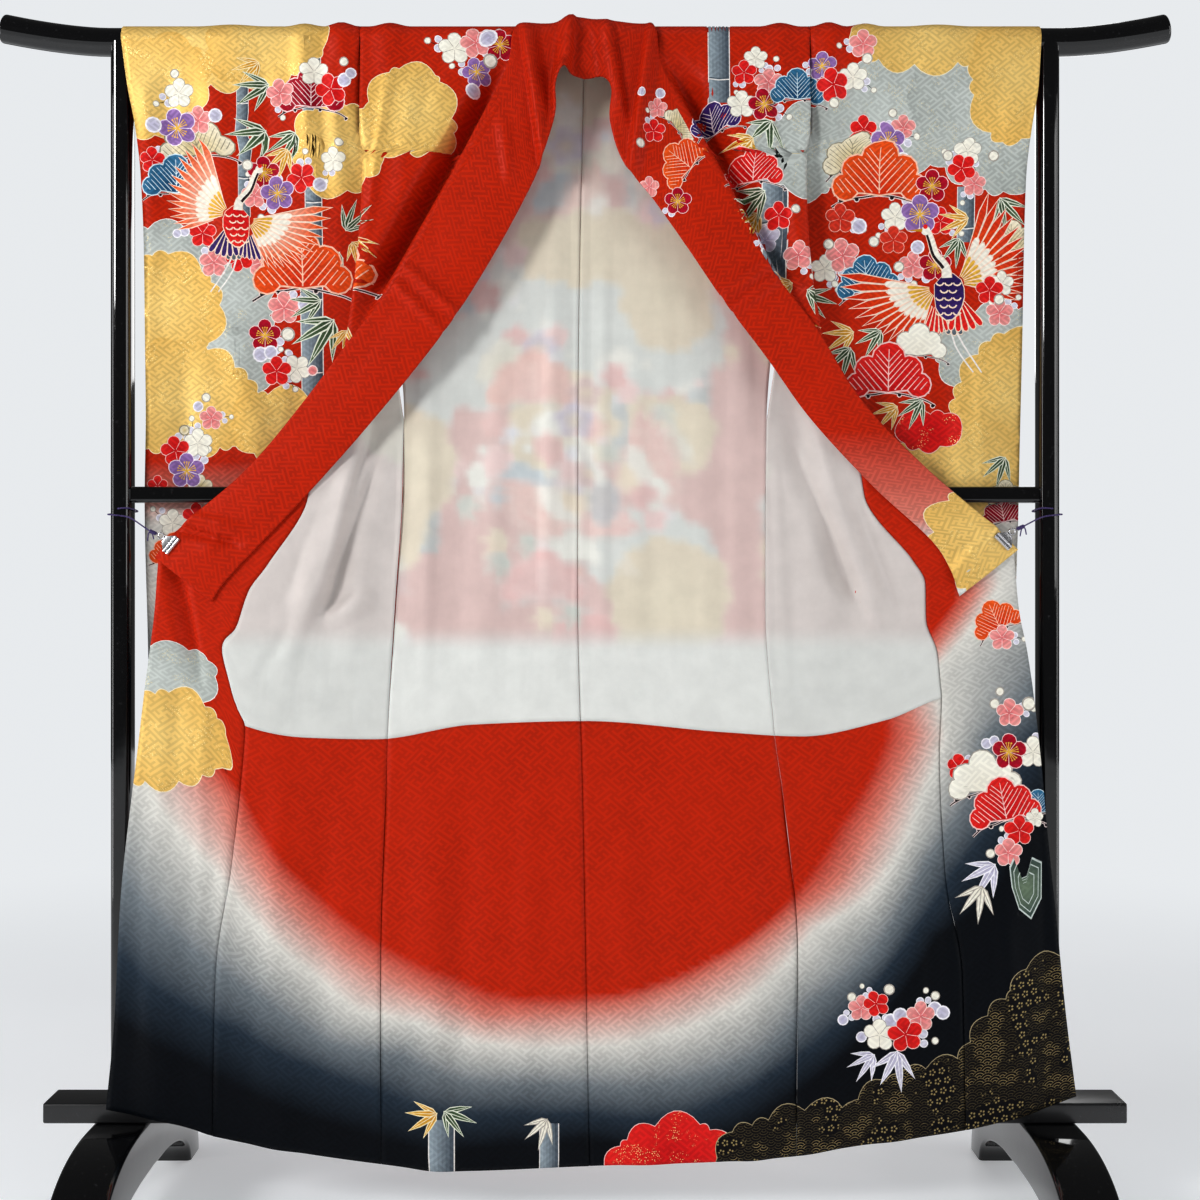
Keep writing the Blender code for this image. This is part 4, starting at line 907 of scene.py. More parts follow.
def front_path(side, level):
    """The front panel's section from its collar edge to its side edge, with its fold."""
    start = collar_edge(side, level)
    table = FRONT_SIDE if level > SIDE_OPEN else SIDE_SEAM
    end = read_side(table, level, side) + SEAM_HALF
    turned = read(TURNED_DEPTH, level)
    seam_depth = read(BACK_DEPTH, level)
    away = ease((level - SIDE_OPEN) / (TURN_START - SIDE_OPEN))
    if level <= TURN_END:
        end_depth = seam_depth + (turned - seam_depth) * away
        t = np.linspace(0.0, 1.0, 49)
        depth = turned + (end_depth - turned) * ease(t)
        return np.stack((start + (end - start) * t, depth), axis=1)
    front = read(FRONT_DEPTH, level)
    first = math.pi * ease((TURN_START - level) / (TURN_START - TURN_END))
    last = math.pi * ease((FOLD_TOP - level) / (FOLD_TOP - FOLD_FULL))
    if level < TURN_START:
        centre = start - FOLD_RADIUS * math.sin(first)
    else:
        centre = read_side(FRONT_FOLD, level, side) - FOLD_RADIUS
    turn = np.linspace(first, last, 17)
    arc = np.stack(
        (centre + FOLD_RADIUS * np.sin(turn), front + FOLD_RADIUS * (1 - np.cos(turn))), axis=1
    )
    parts = [np.array([[start, front]])] if first == 0 else []
    parts.append(arc)
    if last == math.pi and end < centre - FOLD_RADIUS:
        back = front + 2 * FOLD_RADIUS
        end_depth = back + (seam_depth - back) * (1 - away)
        t = np.linspace(0.05, 1.0, 20)
        parts.append(
            np.stack((centre + (end - centre) * t, back + (end_depth - back) * ease(t)), axis=1)
        )
    return np.concatenate(parts)


def front_row(side, level):
    """A row of the front panel from the collar outwards, and its length."""
    path = front_path(side, level)
    lengths = lengths_of(path)
    wanted = np.linspace(0.0, lengths[-1], BODY_COLUMNS)
    x = side * np.interp(wanted, lengths, path[:, 0])
    depth = np.interp(wanted, lengths, path[:, 1])
    if level <= SIDE_OPEN:
        height = cloth_height(level, x)
        depth = depth + crease_depth(x, level)
    else:
        height = np.full_like(x, level)
        fade = ease((level - FOLD_TOP) / (BAR_HEIGHT - FOLD_TOP))
        depth = depth - fade * pleat_rise(np.abs(x), height)
    return np.stack((x, depth, height), axis=1), lengths[-1]


@lru_cache(maxsize=None)
def body_strip(side):
    """One body panel's middle surface, from the front hem over the bar to the back hem."""
    rows, v, left, right = [], [], [], []
    stops = (LINING_LEVEL, TURN_END, TURN_START, FOLD_FULL, FOLD_TOP)
    for level in row_levels(0.0, BAR_HEIGHT, stops):
        row, length = front_row(side, level)
        rows.append(row)
        v.append(flat_height(level))
        left.append(SLEEVE_SEAM - length)
        right.append(SLEEVE_SEAM)
    for angle in np.linspace(0.0, 180.0, WRAP_ROWS)[1:]:
        rows.append(wrap_row(side, angle))
        v.append(BAR_HEIGHT + DRAPE_RADIUS * math.radians(angle))
        left.append(max(read(NECK, angle), SEAM_HALF))
        right.append(SLEEVE_SEAM)
    top = v[-1]
    for level in reversed(row_levels(0.0, BAR_HEIGHT, (LINING_LEVEL,))[:-1]):
        rows.append(back_row(side, level))
        v.append(top + BAR_HEIGHT - flat_height(level))
        left.append(0.0)
        right.append(abs(rows[-1][-1, 0]))
    strip = Strip(rows, v, left, right)
    level = strip.v[:, None]
    turned_down = ease((TURN_START - level) / (TURN_START - TURN_END))
    strip = creased(strip, TURNED_CREASES, turned_down)
    strip = creased(strip, FRONT_CREASES, (1 - turned_down) * (level < BAR_HEIGHT))
    return creased(strip, BACK_CREASES, level > top)


@lru_cache(maxsize=None)
def overlap_strip(side):
    """One overlap's middle surface, from its hem up to the collar."""
    rows, v, left, right = [], [], [], []
    for level in row_levels(0.0, OVERLAP_TOP, (LINING_LEVEL, OVERLAP_EDGE[-1][0])):
        inner = read_side(OVERLAP_SEAM, level, side) + SEAM_HALF
        outer = read_side(OVERLAP_EDGE, level, side)
        if level > OVERLAP_EDGE[-1][0]:
            outer = read_side(COLLAR_RIDGE, level, side) - COLLAR_LAP / 2
        x = side * np.linspace(inner, outer, OVERLAP_COLUMNS)
        depth = read(TURNED_DEPTH, level) + crease_depth(x, level)
        rows.append(np.stack((x, depth, cloth_height(level, x)), axis=1))
        v.append(flat_height(level))
        left.append(inner)
        right.append(outer)
    return creased(Strip(rows, v, left, right), TURNED_CREASES)


def sleeve_places(side, share):
    """One upright line of the sleeve's cloth, from its bottom fold up, over the bar and down."""
    def reach(height):
        inner = read(SLEEVE_INSIDE, height)
        return inner + (read_side(SLEEVE_EDGE, height, side) - inner) * share

    from_edge = (1 - share) * (read_side(SLEEVE_EDGE, SLEEVE_BOTTOM, side) - SLEEVE_SEAM)
    inside = max(SLEEVE_CORNER - from_edge, 0.0)
    lift = SLEEVE_CORNER - math.sqrt(SLEEVE_CORNER ** 2 - inside ** 2)
    bottom = SLEEVE_BOTTOM + lift
    waist = RAIL_HEIGHT - RAIL_SIZE

    def layers(height):
        front = read(SLEEVE_DEPTH, height, 1)
        back = read(SLEEVE_DEPTH, height, 2)
        closed = ease((share - 0.80) / 0.20) * ease((CUFF_BOTTOM - height) / 0.10)
        back = back + (front + PINCHED - back) * closed
        rise = pleat_rise(reach(height), height)
        return front - rise, back + rise

    front, back = layers(np.array([SLEEVE_BOTTOM]))
    radius = (back[0] - front[0]) / 2
    turn = np.radians(np.linspace(90.0, 180.0, 9))
    fold_depth = radius * np.cos(turn)
    fold_middle = (front[0] + back[0]) / 2
    low = bottom + radius
    levels = np.array(row_levels(SLEEVE_BOTTOM, BAR_HEIGHT))[1:]
    share_up = (levels - SLEEVE_BOTTOM) / (waist - SLEEVE_BOTTOM)
    settled = np.where(levels >= waist, levels, low + share_up * (waist - low))
    heights = np.concatenate((bottom + radius * (1 - np.sin(turn)), settled))
    angles = np.radians(np.linspace(0.0, 180.0, WRAP_ROWS))[1:-1]
    round_bar = DRAPE_RADIUS + pleat_rise(reach(np.array([BAR_HEIGHT])), BAR_HEIGHT)[0]
    front_depths, back_depths = layers(settled)
    depths = np.concatenate((
        fold_middle + fold_depth,
        front_depths,
        -round_bar * np.cos(angles),
        back_depths[::-1],
        (fold_middle - fold_depth)[::-1],
    ))
    all_heights = np.concatenate((heights, BAR_HEIGHT + round_bar * np.sin(angles), heights[::-1]))
    x = side * reach(np.minimum(all_heights, BAR_HEIGHT))
    return np.stack((x, depths, all_heights), axis=1)


@lru_cache(maxsize=None)
def sleeve_strip(side):
    """One sleeve's middle surface, from its foot over the bar and down again."""
    columns = [sleeve_places(side, share) for share in np.linspace(0.0, 1.0, SLEEVE_COLUMNS)]
    points = np.stack(columns, axis=1)
    middle = points[:, SLEEVE_COLUMNS // 2]
    v = SLEEVE_BOTTOM + lengths_of(middle)
    width = SLEEVE_SEAM + SLEEVE_WIDTH
    strip = Strip(points, v, np.full(len(v), SLEEVE_SEAM), np.full(len(v), width))
    top = strip.row_at((v[0] + v[-1]) / 2)
    outward = np.where(np.arange(len(v)) < top, 1.0, -1.0)[:, None]
    return creased(strip, SLEEVE_CREASES, outward)


def collar_stations():
    left = [(-a, b, -c, d) for a, b, c, d in reversed(COLLAR_LEFT)]
    return np.array(left + [COLLAR_MIDDLE] + list(COLLAR_RIGHT))


def between(stations, place):
    """A smooth curve through the collar's stations, read at a fractional index."""
    index = min(int(place), len(stations) - 2)
    t = place - index
    before = stations[max(index - 1, 0)]
    start, end = stations[index], stations[index + 1]
    after = stations[min(index + 2, len(stations) - 1)]
    return 0.5 * (
        2 * start
        + (end - before) * t
        + (2 * before - 5 * start + 4 * end - after) * t * t
        + (3 * start - before - 3 * end + after) * t ** 3
    )


def draped(x, down, radius, arch):
    """Points that lie over the bar, down metres of cloth in front of its top."""
    quarter = math.pi * radius / 2
    turn = math.pi / 2 - down / radius
    height = BAR_HEIGHT - (down - quarter)
    over = down < quarter
    fade = ease((down - quarter) / 0.06)
    depth = np.where(over, -radius * np.cos(turn), read(COLLAR_DEPTH, height) - arch * fade)
    return np.stack((x, depth, np.where(over, BAR_HEIGHT + radius * np.sin(turn), height)), axis=1)


@lru_cache(maxsize=None)
def collar_strip():
    """The collar's middle surface, from its left end round the neck to its right end."""
    stations = collar_stations()
    share = np.linspace(0.0, 1.0, COLLAR_COLUMNS)
    rows, widths = [], []
    for place in np.linspace(0, len(stations) - 1, (len(stations) - 1) * COLLAR_ROWS + 1):
        sewn_x, sewn_down, free_x, free_down = between(stations, place)
        x = sewn_x + (free_x - sewn_x) * share
        down = sewn_down + (free_down - sewn_down) * share
        rows.append(draped(x, down, COLLAR_RADIUS, COLLAR_ARCH * np.sin(math.pi * share)))
        widths.append(math.hypot(free_x - sewn_x, free_down - sewn_down))
    points = np.array(rows)
    middle = points[:, COLLAR_COLUMNS // 2]
    v = lengths_of(middle)
    half = np.array(widths) / 2
    strip = creased(Strip(points, v, -half, half), COLLAR_CREASES)
    x, _, height = strip.points.transpose(2, 0, 1)
    lift = sum(rise * bump(x - place, half) for place, half, rise in NECK_LIFTS)
    place, half, from_share, forward, rise = NECK_CURL
    curl = bump(x - place, half) * ease((share - from_share) / (1 - from_share))
    strip.points[:, :, 1] -= forward * curl
    strip.points[:, :, 2] += lift * ease((height - NECK_LIFT_FOOT) / 0.03) + rise * curl
    return strip


def linear(colour):
    """The linear value of a colour written as it looks on a screen."""
    colour = np.asarray(colour, dtype=float)
    return np.where(colour <= 0.04045, colour / 12.92, ((colour + 0.055) / 1.055) ** 2.4)


RED = linear((0.755, 0.170, 0.045))
PINK = linear((0.84, 0.52, 0.46))
PALE = linear((0.86, 0.85, 0.82))
GREY = linear((0.47, 0.50, 0.52))
SLATE = linear((0.17, 0.22, 0.27))
NAVY = linear((0.030, 0.048, 0.074))
WHITE = linear((0.865, 0.868, 0.850))
PALE_GOLD = linear((0.74, 0.66, 0.46))
NO_FINISH = (0.0, 0.0, 0.0)


def shades(value, stops):
    """Colours along a list of (value, colour) stops."""
    places = [stop[0] for stop in stops]
    return np.stack(
        [np.interp(value, places, [stop[1][k] for stop in stops]) for k in range(3)], axis=1
    )


# Columns: turn in degrees from the right, going down, round the bowl's middle, then how
# far out the red ends, and pink, white, grey, slate and navy are reached
BOWL = (
    (-30, 0.60, 0.63, 0.67, 0.88, 1.00, 1.08),
    (-20, 0.56, 0.59, 0.63, 0.80, 0.91, 1.00),
    (-10, 0.43, 0.46, 0.50, 0.68, 0.80, 0.88),
    (0, 0.43, 0.468, 0.514, 0.571, 0.642, 0.713),
    (10, 0.407, 0.440, 0.488, 0.552, 0.600, 0.642),
    (20, 0.385, 0.425, 0.477, 0.519, 0.562, 0.628),
    (30, 0.378, 0.417, 0.465, 0.514, 0.545, 0.578),
    (40, 0.374, 0.394, 0.430, 0.514, 0.544, 0.582),
    (50, 0.368, 0.385, 0.435, 0.499, 0.548, 0.585),
    (60, 0.364, 0.382, 0.440, 0.517, 0.549, 0.592),
    (75, 0.367, 0.385, 0.440, 0.511, 0.559, 0.606),
    (90, 0.371, 0.391, 0.442, 0.497, 0.538, 0.574),
    (100, 0.378, 0.402, 0.450, 0.502, 0.544, 0.588),
    (110, 0.388, 0.422, 0.464, 0.524, 0.571, 0.628),
    (120, 0.392, 0.425, 0.471, 0.525, 0.585, 0.649),
    (130, 0.407, 0.442, 0.508, 0.572, 0.614, 0.685),
    (140, 0.424, 0.462, 0.518, 0.590, 0.650, 0.726),
    (150, 0.444, 0.480, 0.538, 0.631, 0.712, 0.792),
    (160, 0.471, 0.502, 0.562, 0.678, 0.756, 0.828),
    (170, 0.492, 0.525, 0.614, 0.721, 0.799, 0.870),
    (180, 0.549, 0.585, 0.649, 0.771, 0.885, 0.970),
    (190, 0.614, 0.649, 0.713, 0.90, 1.00, 1.08),
    (200, 0.685, 0.721, 0.785, 0.98, 1.08, 1.16),
)
BOWL_MIDDLE = 0.697


# Columns: dye, centre colour, edge colour, outline and vein colour, as they look on a screen
DYES = {
    "white": ((0.93, 0.91, 0.85), (0.96, 0.95, 0.90), (0.70, 0.67, 0.63)),
    "cream": ((0.82, 0.74, 0.52), (0.94, 0.91, 0.83), (0.60, 0.57, 0.48)),
    "pink": ((0.88, 0.46, 0.47), (0.95, 0.66, 0.64), (0.98, 0.90, 0.88)),
    "red": ((0.80, 0.08, 0.10), (0.90, 0.17, 0.15), (0.96, 0.80, 0.78)),
    "vermilion": ((0.80, 0.20, 0.13), (0.85, 0.26, 0.18), (0.94, 0.70, 0.64)),
    "crimson": ((0.55, 0.02, 0.13), (0.72, 0.07, 0.18), (0.96, 0.82, 0.82)),
    "lilac": ((0.46, 0.32, 0.58), (0.63, 0.49, 0.72), (0.94, 0.88, 0.93)),
    "mist": ((0.72, 0.70, 0.80), (0.84, 0.83, 0.88), (0.95, 0.94, 0.96)),
    "teal": ((0.09, 0.27, 0.42), (0.24, 0.48, 0.62), (0.82, 0.90, 0.93)),
    "orange": ((0.84, 0.20, 0.07), (0.92, 0.37, 0.12), (0.97, 0.78, 0.68)),
    "green": ((0.17, 0.25, 0.16), (0.38, 0.47, 0.33), (0.90, 0.92, 0.85)),
    "ochre": ((0.80, 0.56, 0.15), (0.91, 0.73, 0.30), (0.96, 0.90, 0.74)),
    "grey": ((0.33, 0.37, 0.41), (0.60, 0.65, 0.68), (0.92, 0.90, 0.88)),
    "violet": ((0.17, 0.10, 0.33), (0.27, 0.18, 0.45), (0.95, 0.90, 0.92)),
    "bark": ((0.16, 0.11, 0.13), (0.20, 0.14, 0.16), (0.93, 0.86, 0.84)),
    "gold": ((0.87, 0.75, 0.47), (0.82, 0.67, 0.37), (0.96, 0.91, 0.78)),
    "silver": ((0.78, 0.80, 0.78), (0.70, 0.72, 0.70), (0.95, 0.94, 0.92)),
    "wave": ((0.050, 0.050, 0.066), (0.070, 0.060, 0.066), (0.72, 0.66, 0.52)),
    "stone": ((0.46, 0.53, 0.44), (0.20, 0.27, 0.27), (0.80, 0.84, 0.82)),
}
# Columns: cloud's dye, share of gold leaf, of gold wave drawing, of gold flecks
CLOUD_FINISH = {
    "gold": (1.0, 0.0, 1.0),
    "silver": (0.0, 0.0, 0.6),
    "red": (0.0, 0.0, 1.0),
    "wave": (0.0, 1.0, 0.0),
}
SEE_THROUGH_FADE = 0.04
SEE_THROUGH_FOOT = 0.815
# Distance between a fret's lines, and where a silk has its own
FRET_LINE = 0.0034
FRET_LINES = {"printed silk": 0.0064, "dyed lining": 0.0070, "collar silk": 0.0062}
# The fret's level strokes in its even and odd rows: middle, half length; they repeat every 10
FRET_STROKES = (((0.0, 1.0), (2.5, 0.5), (7.5, 0.5)), ((2.0, 2.0), (7.0, 1.0)))
FRET_REPEAT = 10.0
FRET_SHIFT = 4.0
FRET_TILT = math.radians(38)
WAVE_RADIUS = 0.0110
FLOWER_CELL = 0.0135
OUTLINE = 0.0011
GROWTH = {"stump": 1.0, "plum": 1.12, "bud": 1.15, "pine": 1.10, "leaves": 1.28, "crane": 1.22}
SCALLOP = 0.30
SCALLOP_STEP = 0.034
# How much longer than wide the meshes of the printed cloth's plain side are
BACKING_LENGTHENED = 2.0
# The least and the most that a drawing is stretched to look right on slanting cloth
STRETCHES = (0.7, 1.5)
STEM_BANDS = 6
STEM_JOINTS = 0.105
NEAR_MISS = 0.004
DESIGN_OVER_BAR = 0.04
FACES_VIEWER = -0.40
FACES_AWAY = 0.25
# Share of its thickness that a printed shell and a lining shell have
PRINTED_SHELL = 0.8
LINING_SHELL = 0.8
COLLAR_SHELL = 0.9
TURNED_SHELL = 0.2


def dye(name, part):
    return linear(DYES[name][part])


def blended(a, b, share):
    return a * (1 - share) + b * share


def shape(outline, inner, outer=None, centre=(0.0, 0.0), radius=1.0, finish=NO_FINISH):
    """One closed patch of dye in a motif's own measure, shaded from a centre outwards."""
    outer = inner if outer is None else outer
    return {
        "outline": np.asarray(outline, dtype=float),
        "inner": inner,
        "outer": outer,
        "centre": np.asarray(centre, dtype=float),
        "radius": radius,
        "finish": finish,
    }


def arc(x, y, radius, first=0.0, last=360.0, count=10):
    turns = np.radians(np.linspace(first, last, count, endpoint=last - first < 360))
    return np.stack((x + radius * np.cos(turns), y + radius * np.sin(turns)), axis=1)


def turned(points, degrees, shift=(0.0, 0.0)):
    turn = math.radians(degrees)
    spin = np.array(((math.cos(turn), math.sin(turn)), (-math.sin(turn), math.cos(turn))))
    return np.asarray(points, dtype=float) @ spin + np.asarray(shift)


def ribbon(path, start, end):
    """A band along a path whose half width goes from start to end."""
    path = np.asarray(path, dtype=float)
    along = directions(path)
    side = np.stack((-along[:, 1], along[:, 0]), axis=1)
    half = np.linspace(start, end, len(path))[:, None]
    return np.concatenate((path + side * half, (path - side * half)[::-1]))


def bend(points, steps=4):
    """A smooth path through a few points."""
    points = np.asarray(points, dtype=float)
    places = np.linspace(0, len(points) - 1, steps * (len(points) - 1) + 1)
    return np.array([between(points, place) for place in places])


def spray(index):
    """Two pale lumps, a thin stem and a white bud that stick out of a blossom."""
    path = bend(((0.9, 0.0), (1.3, 0.12), (1.75, 0.06)), 3)
    shapes = [shape(ribbon(path, 0.030, 0.018), dye("bark", 0))]
    shapes += [dict(one, outline=one["outline"] * 0.24 + (1.85, 0.06)) for one in bud("white")]
    for x, y, size in ((1.02, 0.30, 0.30), (1.22, -0.26, 0.26)):
        shapes += [dict(one, outline=one["outline"] * size + (x, y)) for one in bud("mist")]
    spin = 90 + index * 67
    return [dict(one, outline=turned(one["outline"], spin)) for one in shapes]


def bud(name):
    return [
        shape(arc(0, 0, 1.0, count=12), dye(name, 2)),
        shape(arc(0, 0, 0.78, count=12), dye(name, 0), dye(name, 1)),
    ]


def blossom(name):
    """Five round petals, with stamens where the dye is deep."""
    inner, outer, line = dye(name, 0), dye(name, 1), dye(name, 2)
    angles = [90 + 72 * k for k in range(5)]
    shapes = []
    for grow, one, two in ((0.045, line, line), (0.0, inner, outer)):
        petal = arc(0.58, 0, 0.375 + grow, count=12)
        shapes += [shape(turned(petal, angle), one, two) for angle in angles]
        shapes.append(shape(arc(0, 0, 0.45, count=10), one, two))
    parting = ribbon(((0.08, 0.0), (0.60, 0.0)), 0.012, 0.020)
    for angle in angles:
        shapes.append(shape(turned(parting, angle + 36), line))
    if name in ("crimson", "lilac"):
        gold = dye("ochre", 1)
        for angle in angles:
            for spread in (-16, 0, 16):
                stem = ribbon(((0.05, 0.0), (0.46, 0.0)), 0.022, 0.016)
                shapes.append(shape(turned(stem, angle + spread), gold))
                tip = turned(arc(0.48, 0, 0.05, count=5), angle + spread)
                shapes.append(shape(tip, gold))
        shapes.append(shape(arc(0, 0, 0.09, count=6), gold))
    return shapes


# Columns: place, height and radius of the scallops of a pine cluster
PINE_LOBES = (
    (-0.71, 0.13, 0.27), (0.71, 0.13, 0.27), (-0.47, 0.48, 0.31), (0.47, 0.48, 0.31),
    (0.0, 0.72, 0.38),
)
# Corners of the middle of a pine cluster
PINE_BODY = (
    (-0.93, -0.04), (-0.6, 0.03), (-0.3, 0.01), (0.0, -0.03), (0.3, 0.01), (0.6, 0.03),
    (0.93, -0.04), (0.72, 0.30), (0.50, 0.62), (0.0, 0.95), (-0.50, 0.62), (-0.72, 0.30),
)
# The slant of a pine's needles, their longest and shortest, and the step to try lengths by
NEEDLE_WAY = (0.66, 0.75)
NEEDLE_LONGEST = 0.85
NEEDLE_SHORTEST = 0.12
NEEDLE_STEP = 0.04


def in_pine(x, y):
    """Whether a place lies well within a pine cluster."""
    if y < -0.03 + 0.05 * abs(x):
        return False
    if abs(x) < 0.6 and y < 0.55:
        return True
    return any(math.hypot(x - px, y - py) < radius - 0.05 for px, py, radius in PINE_LOBES)


def pine(name):
    """A fan of scallops over a curved base, with a middle vein and slanting needles."""
    inner, outer, line = dye(name, 0), dye(name, 1), dye(name, 2)
    shapes = []
    for grow, one, two in ((0.035, line, line), (0.0, inner, outer)):
        for x, y, radius in PINE_LOBES:
            shapes.append(shape(arc(x, y, radius + grow, count=12), one, two, (0.0, 0.1), 1.1))
        body = [(x * (1 + grow), y + (grow if y > 0.2 else -grow)) for x, y in PINE_BODY]
        shapes.append(shape(body, one, two, (0.0, 0.1), 1.1))
    if name == "white":
        return shapes
    shapes.append(shape(ribbon(((0.0, 0.0), (0.0, 0.95)), 0.015, 0.009), line))
    aside, up = NEEDLE_WAY
    for side in (-1, 1):
        starts = [(0.0, 0.06 + 0.15 * k) for k in range(5)]
        starts += [(side * 0.15 * k, 0.02) for k in range(1, 6)]
        for x, y in starts:
            length = 0.0
            while length < NEEDLE_LONGEST:
                longer = length + NEEDLE_STEP
                if not in_pine(x + side * longer * aside, y + longer * up):
                    break
                length = longer
            if length > NEEDLE_SHORTEST:
                tip = (x + side * length * aside, y + length * up)
                shapes.append(shape(ribbon(((x, y), tip), 0.012, 0.008), line))
    return shapes


# Places and heights along the twig under a pine cluster
TWIG = (
    (-1.0, -0.30), (-0.7, -0.13), (-0.35, -0.09), (0.0, -0.04), (0.4, -0.10),
    (0.85, -0.22), (1.1, -0.36),
)


def twig():
    """A knotted dark twig with a pale edge, that runs under a pine cluster."""
    path = bend(TWIG, 3)
    shapes = []
    for start, end, knot, part in ((0.030, 0.030, 0.065, 2), (0.016, 0.012, 0.042, 0)):
        shapes.append(shape(ribbon(path, start, end), dye("bark", part)))
        for k, (x, y) in enumerate(path[2:18:3]):
            shapes.append(shape(arc(x, y + 0.03 * (-1) ** k, knot, count=7), dye("bark", part)))
    return shapes


def leaf(length, angle, name):
    """One pointed leaf with an outline and a vein."""
    shapes = []
    for grow, inner, outer in ((0.035, 2, 2), (0.0, 0, 1)):
        half = 0.085 * length + grow
        near, far, tip = 0.22 * length, 0.62 * length, length + 2 * grow
        blade = ((-grow, 0.0), (near, -half), (far, -half * 0.75), (tip, 0.0))
        blade += ((far, half * 0.75), (near, half))
        blade = turned(blade, angle)
        shapes.append(shape(blade, dye(name, inner), dye(name, outer), radius=length))
    vein = ribbon(((0.05, 0.0), (0.85 * length, 0.0)), 0.012, 0.008)
    shapes.append(shape(turned(vein, angle), dye(name, 2)))
    return shapes


def leaves(name):
    """Bamboo leaves that spread from one joint. The middle one points along +X."""
    shapes = []
    for length, angle in ((0.80, 42), (0.72, -46), (1.0, 14), (0.92, -18)):
        shapes += leaf(length, angle, name)
    return shapes


def feathers(hinge, first, last, inside, outside, count, colours, tip=0.0, width=0.9):
    """A fan of feathers round a hinge. outside is the reach of the first and the last one."""
    inner, outer, line = colours
    shapes = []
    angles = np.linspace(first, last, count)
    reaches = np.linspace(outside[0], outside[1], count)
    step = math.radians(abs(last - first) / (count - 1))
    for angle, reach in zip(angles, reaches):
        half = math.tan(step / 2) * width
        for grow, one, two in ((0.010, line, line), (-0.004, inner, outer)):
            near, far = half * inside + grow * 0.5, half * reach * 0.8 + grow
            blade = [(inside, -near), (reach * 0.86, -far)]
            if tip:
                blade += [(reach + tip + 2 * grow, 0.0)]
            else:
                soft, shoulder = reach * 0.96, far * 0.75
                blade += [(soft, -shoulder), (reach + grow, 0.0), (soft, shoulder)]
            blade += [(reach * 0.86, far), (inside, near)]
            shapes.append(shape(turned(blade, angle, hinge), one, two, hinge, reach))
    return shapes


# White, ivory and line of a crane, as they look on a screen
CRANE_WHITES = ((0.95, 0.93, 0.88), (0.93, 0.88, 0.80), (0.96, 0.86, 0.78))
# Columns: part, hinge, first and last angle, inner reach, outer reaches, count, tip
CRANE_FANS = (
    ("train", (-0.06, -0.34), 225, 300, 0.02, (0.26, 0.22), 5, 0.0),
    ("tail", (-0.12, -0.10), 232, 292, 0.10, (0.46, 0.42), 6, 0.0),
    ("primary", (-0.14, 0.02), 108, 196, 0.20, (0.98, 0.60), 13, 0.10),
    ("primary", (0.14, -0.04), 8, -78, 0.20, (1.02, 0.52), 13, 0.10),
    ("tail", (0.10, -0.10), -72, -104, 0.16, (0.50, 0.44), 5, 0.0),
    ("covert", (-0.14, 0.02), 112, 190, 0.14, (0.56, 0.40), 9, 0.0),
    ("covert", (0.14, -0.04), 5, -70, 0.14, (0.58, 0.38), 9, 0.0),
    ("shoulder", (-0.12, 0.02), 116, 186, 0.08, (0.34, 0.28), 7, 0.0),
    ("shoulder", (0.12, -0.04), 2, -64, 0.08, (0.34, 0.28), 7, 0.0),
)
CRANE_BODY = (
    (0.0, 0.16), (-0.16, 0.06), (-0.20, -0.14), (-0.12, -0.34), (0.0, -0.40),
    (0.12, -0.26), (0.14, 0.0),
)


def crane(name):
    """A flying crane with both wings spread, its neck up and its legs trailing."""
    white, ivory, line = [linear(colour) for colour in CRANE_WHITES]
    flame, gold = dye("orange", 1), dye("ochre", 0)
    tail, scale = ("violet", "red") if name == "red" else ("red", "violet")
    primary = (ivory, flame, line) if name == "red" else (flame, dye("orange", 0), line)
    colours = {
        "train": (dye("grey", 1), dye("grey", 0), line),
        "tail": (dye(tail, 0), dye(tail, 1), line),
        "primary": primary,
        "covert": (ivory, white, line),
        "shoulder": (gold, dye("ochre", 1), line),
    }
    shapes = []
    for aside in (0.10, 0.20):
        leg = bend(((-0.02, -0.35), (-aside, -0.70), (-aside - 0.20, -1.00)), 3)
        shapes.append(shape(ribbon(leg, 0.012, 0.008), dye("grey", 2)))
    for part, *fan, tip in CRANE_FANS:
        shapes += feathers(*fan, colours[part], tip=tip)
    body = bend(CRANE_BODY, 2)
    shapes.append(shape(turned(body * 1.05, 0), line))
    shapes.append(shape(body, dye(scale, 0), dye(scale, 1), radius=0.4))
    for row in range(5):
        for column in range(3):
            x = -0.10 + 0.10 * column + 0.05 * (row % 2) - 0.02
            y = 0.04 - 0.085 * row
            if abs(x + 0.03) < 0.13:
                shapes.append(shape(ribbon(arc(x, y, 0.048, 200, 340, 5), 0.009, 0.009), line))
    neck = bend(((0.0, 0.08), (0.02, 0.20), (0.14, 0.34), (0.20, 0.50), (0.24, 0.60)), 3)
    shapes.append(shape(ribbon(neck, 0.062, 0.040), line))
    shapes.append(shape(ribbon(neck, 0.050, 0.030), white))
    shapes.append(shape(ribbon(neck[3:] + (0.022, -0.010), 0.018, 0.012), dye("bark", 0)))
    shapes.append(shape(arc(0.27, 0.62, 0.055), white))
    shapes.append(shape(arc(0.275, 0.665, 0.028, count=8), dye("red", 1)))
    shapes.append(shape(((0.31, 0.645), (0.50, 0.62), (0.31, 0.605)), dye("ochre", 0)))
    if name == "red":
        return shapes
    flip = (-1, 1)
    return [dict(one, outline=one["outline"] * flip, centre=one["centre"] * flip) for one in shapes]


STUMP = (
    (-0.52, 0.70), (-0.40, 0.98), (-0.20, 0.30), (0.02, 0.38), (0.20, 0.98),
    (0.52, 0.82), (0.50, -0.35), (0.16, -1.00), (-0.24, -0.66), (-0.46, 0.05),
)


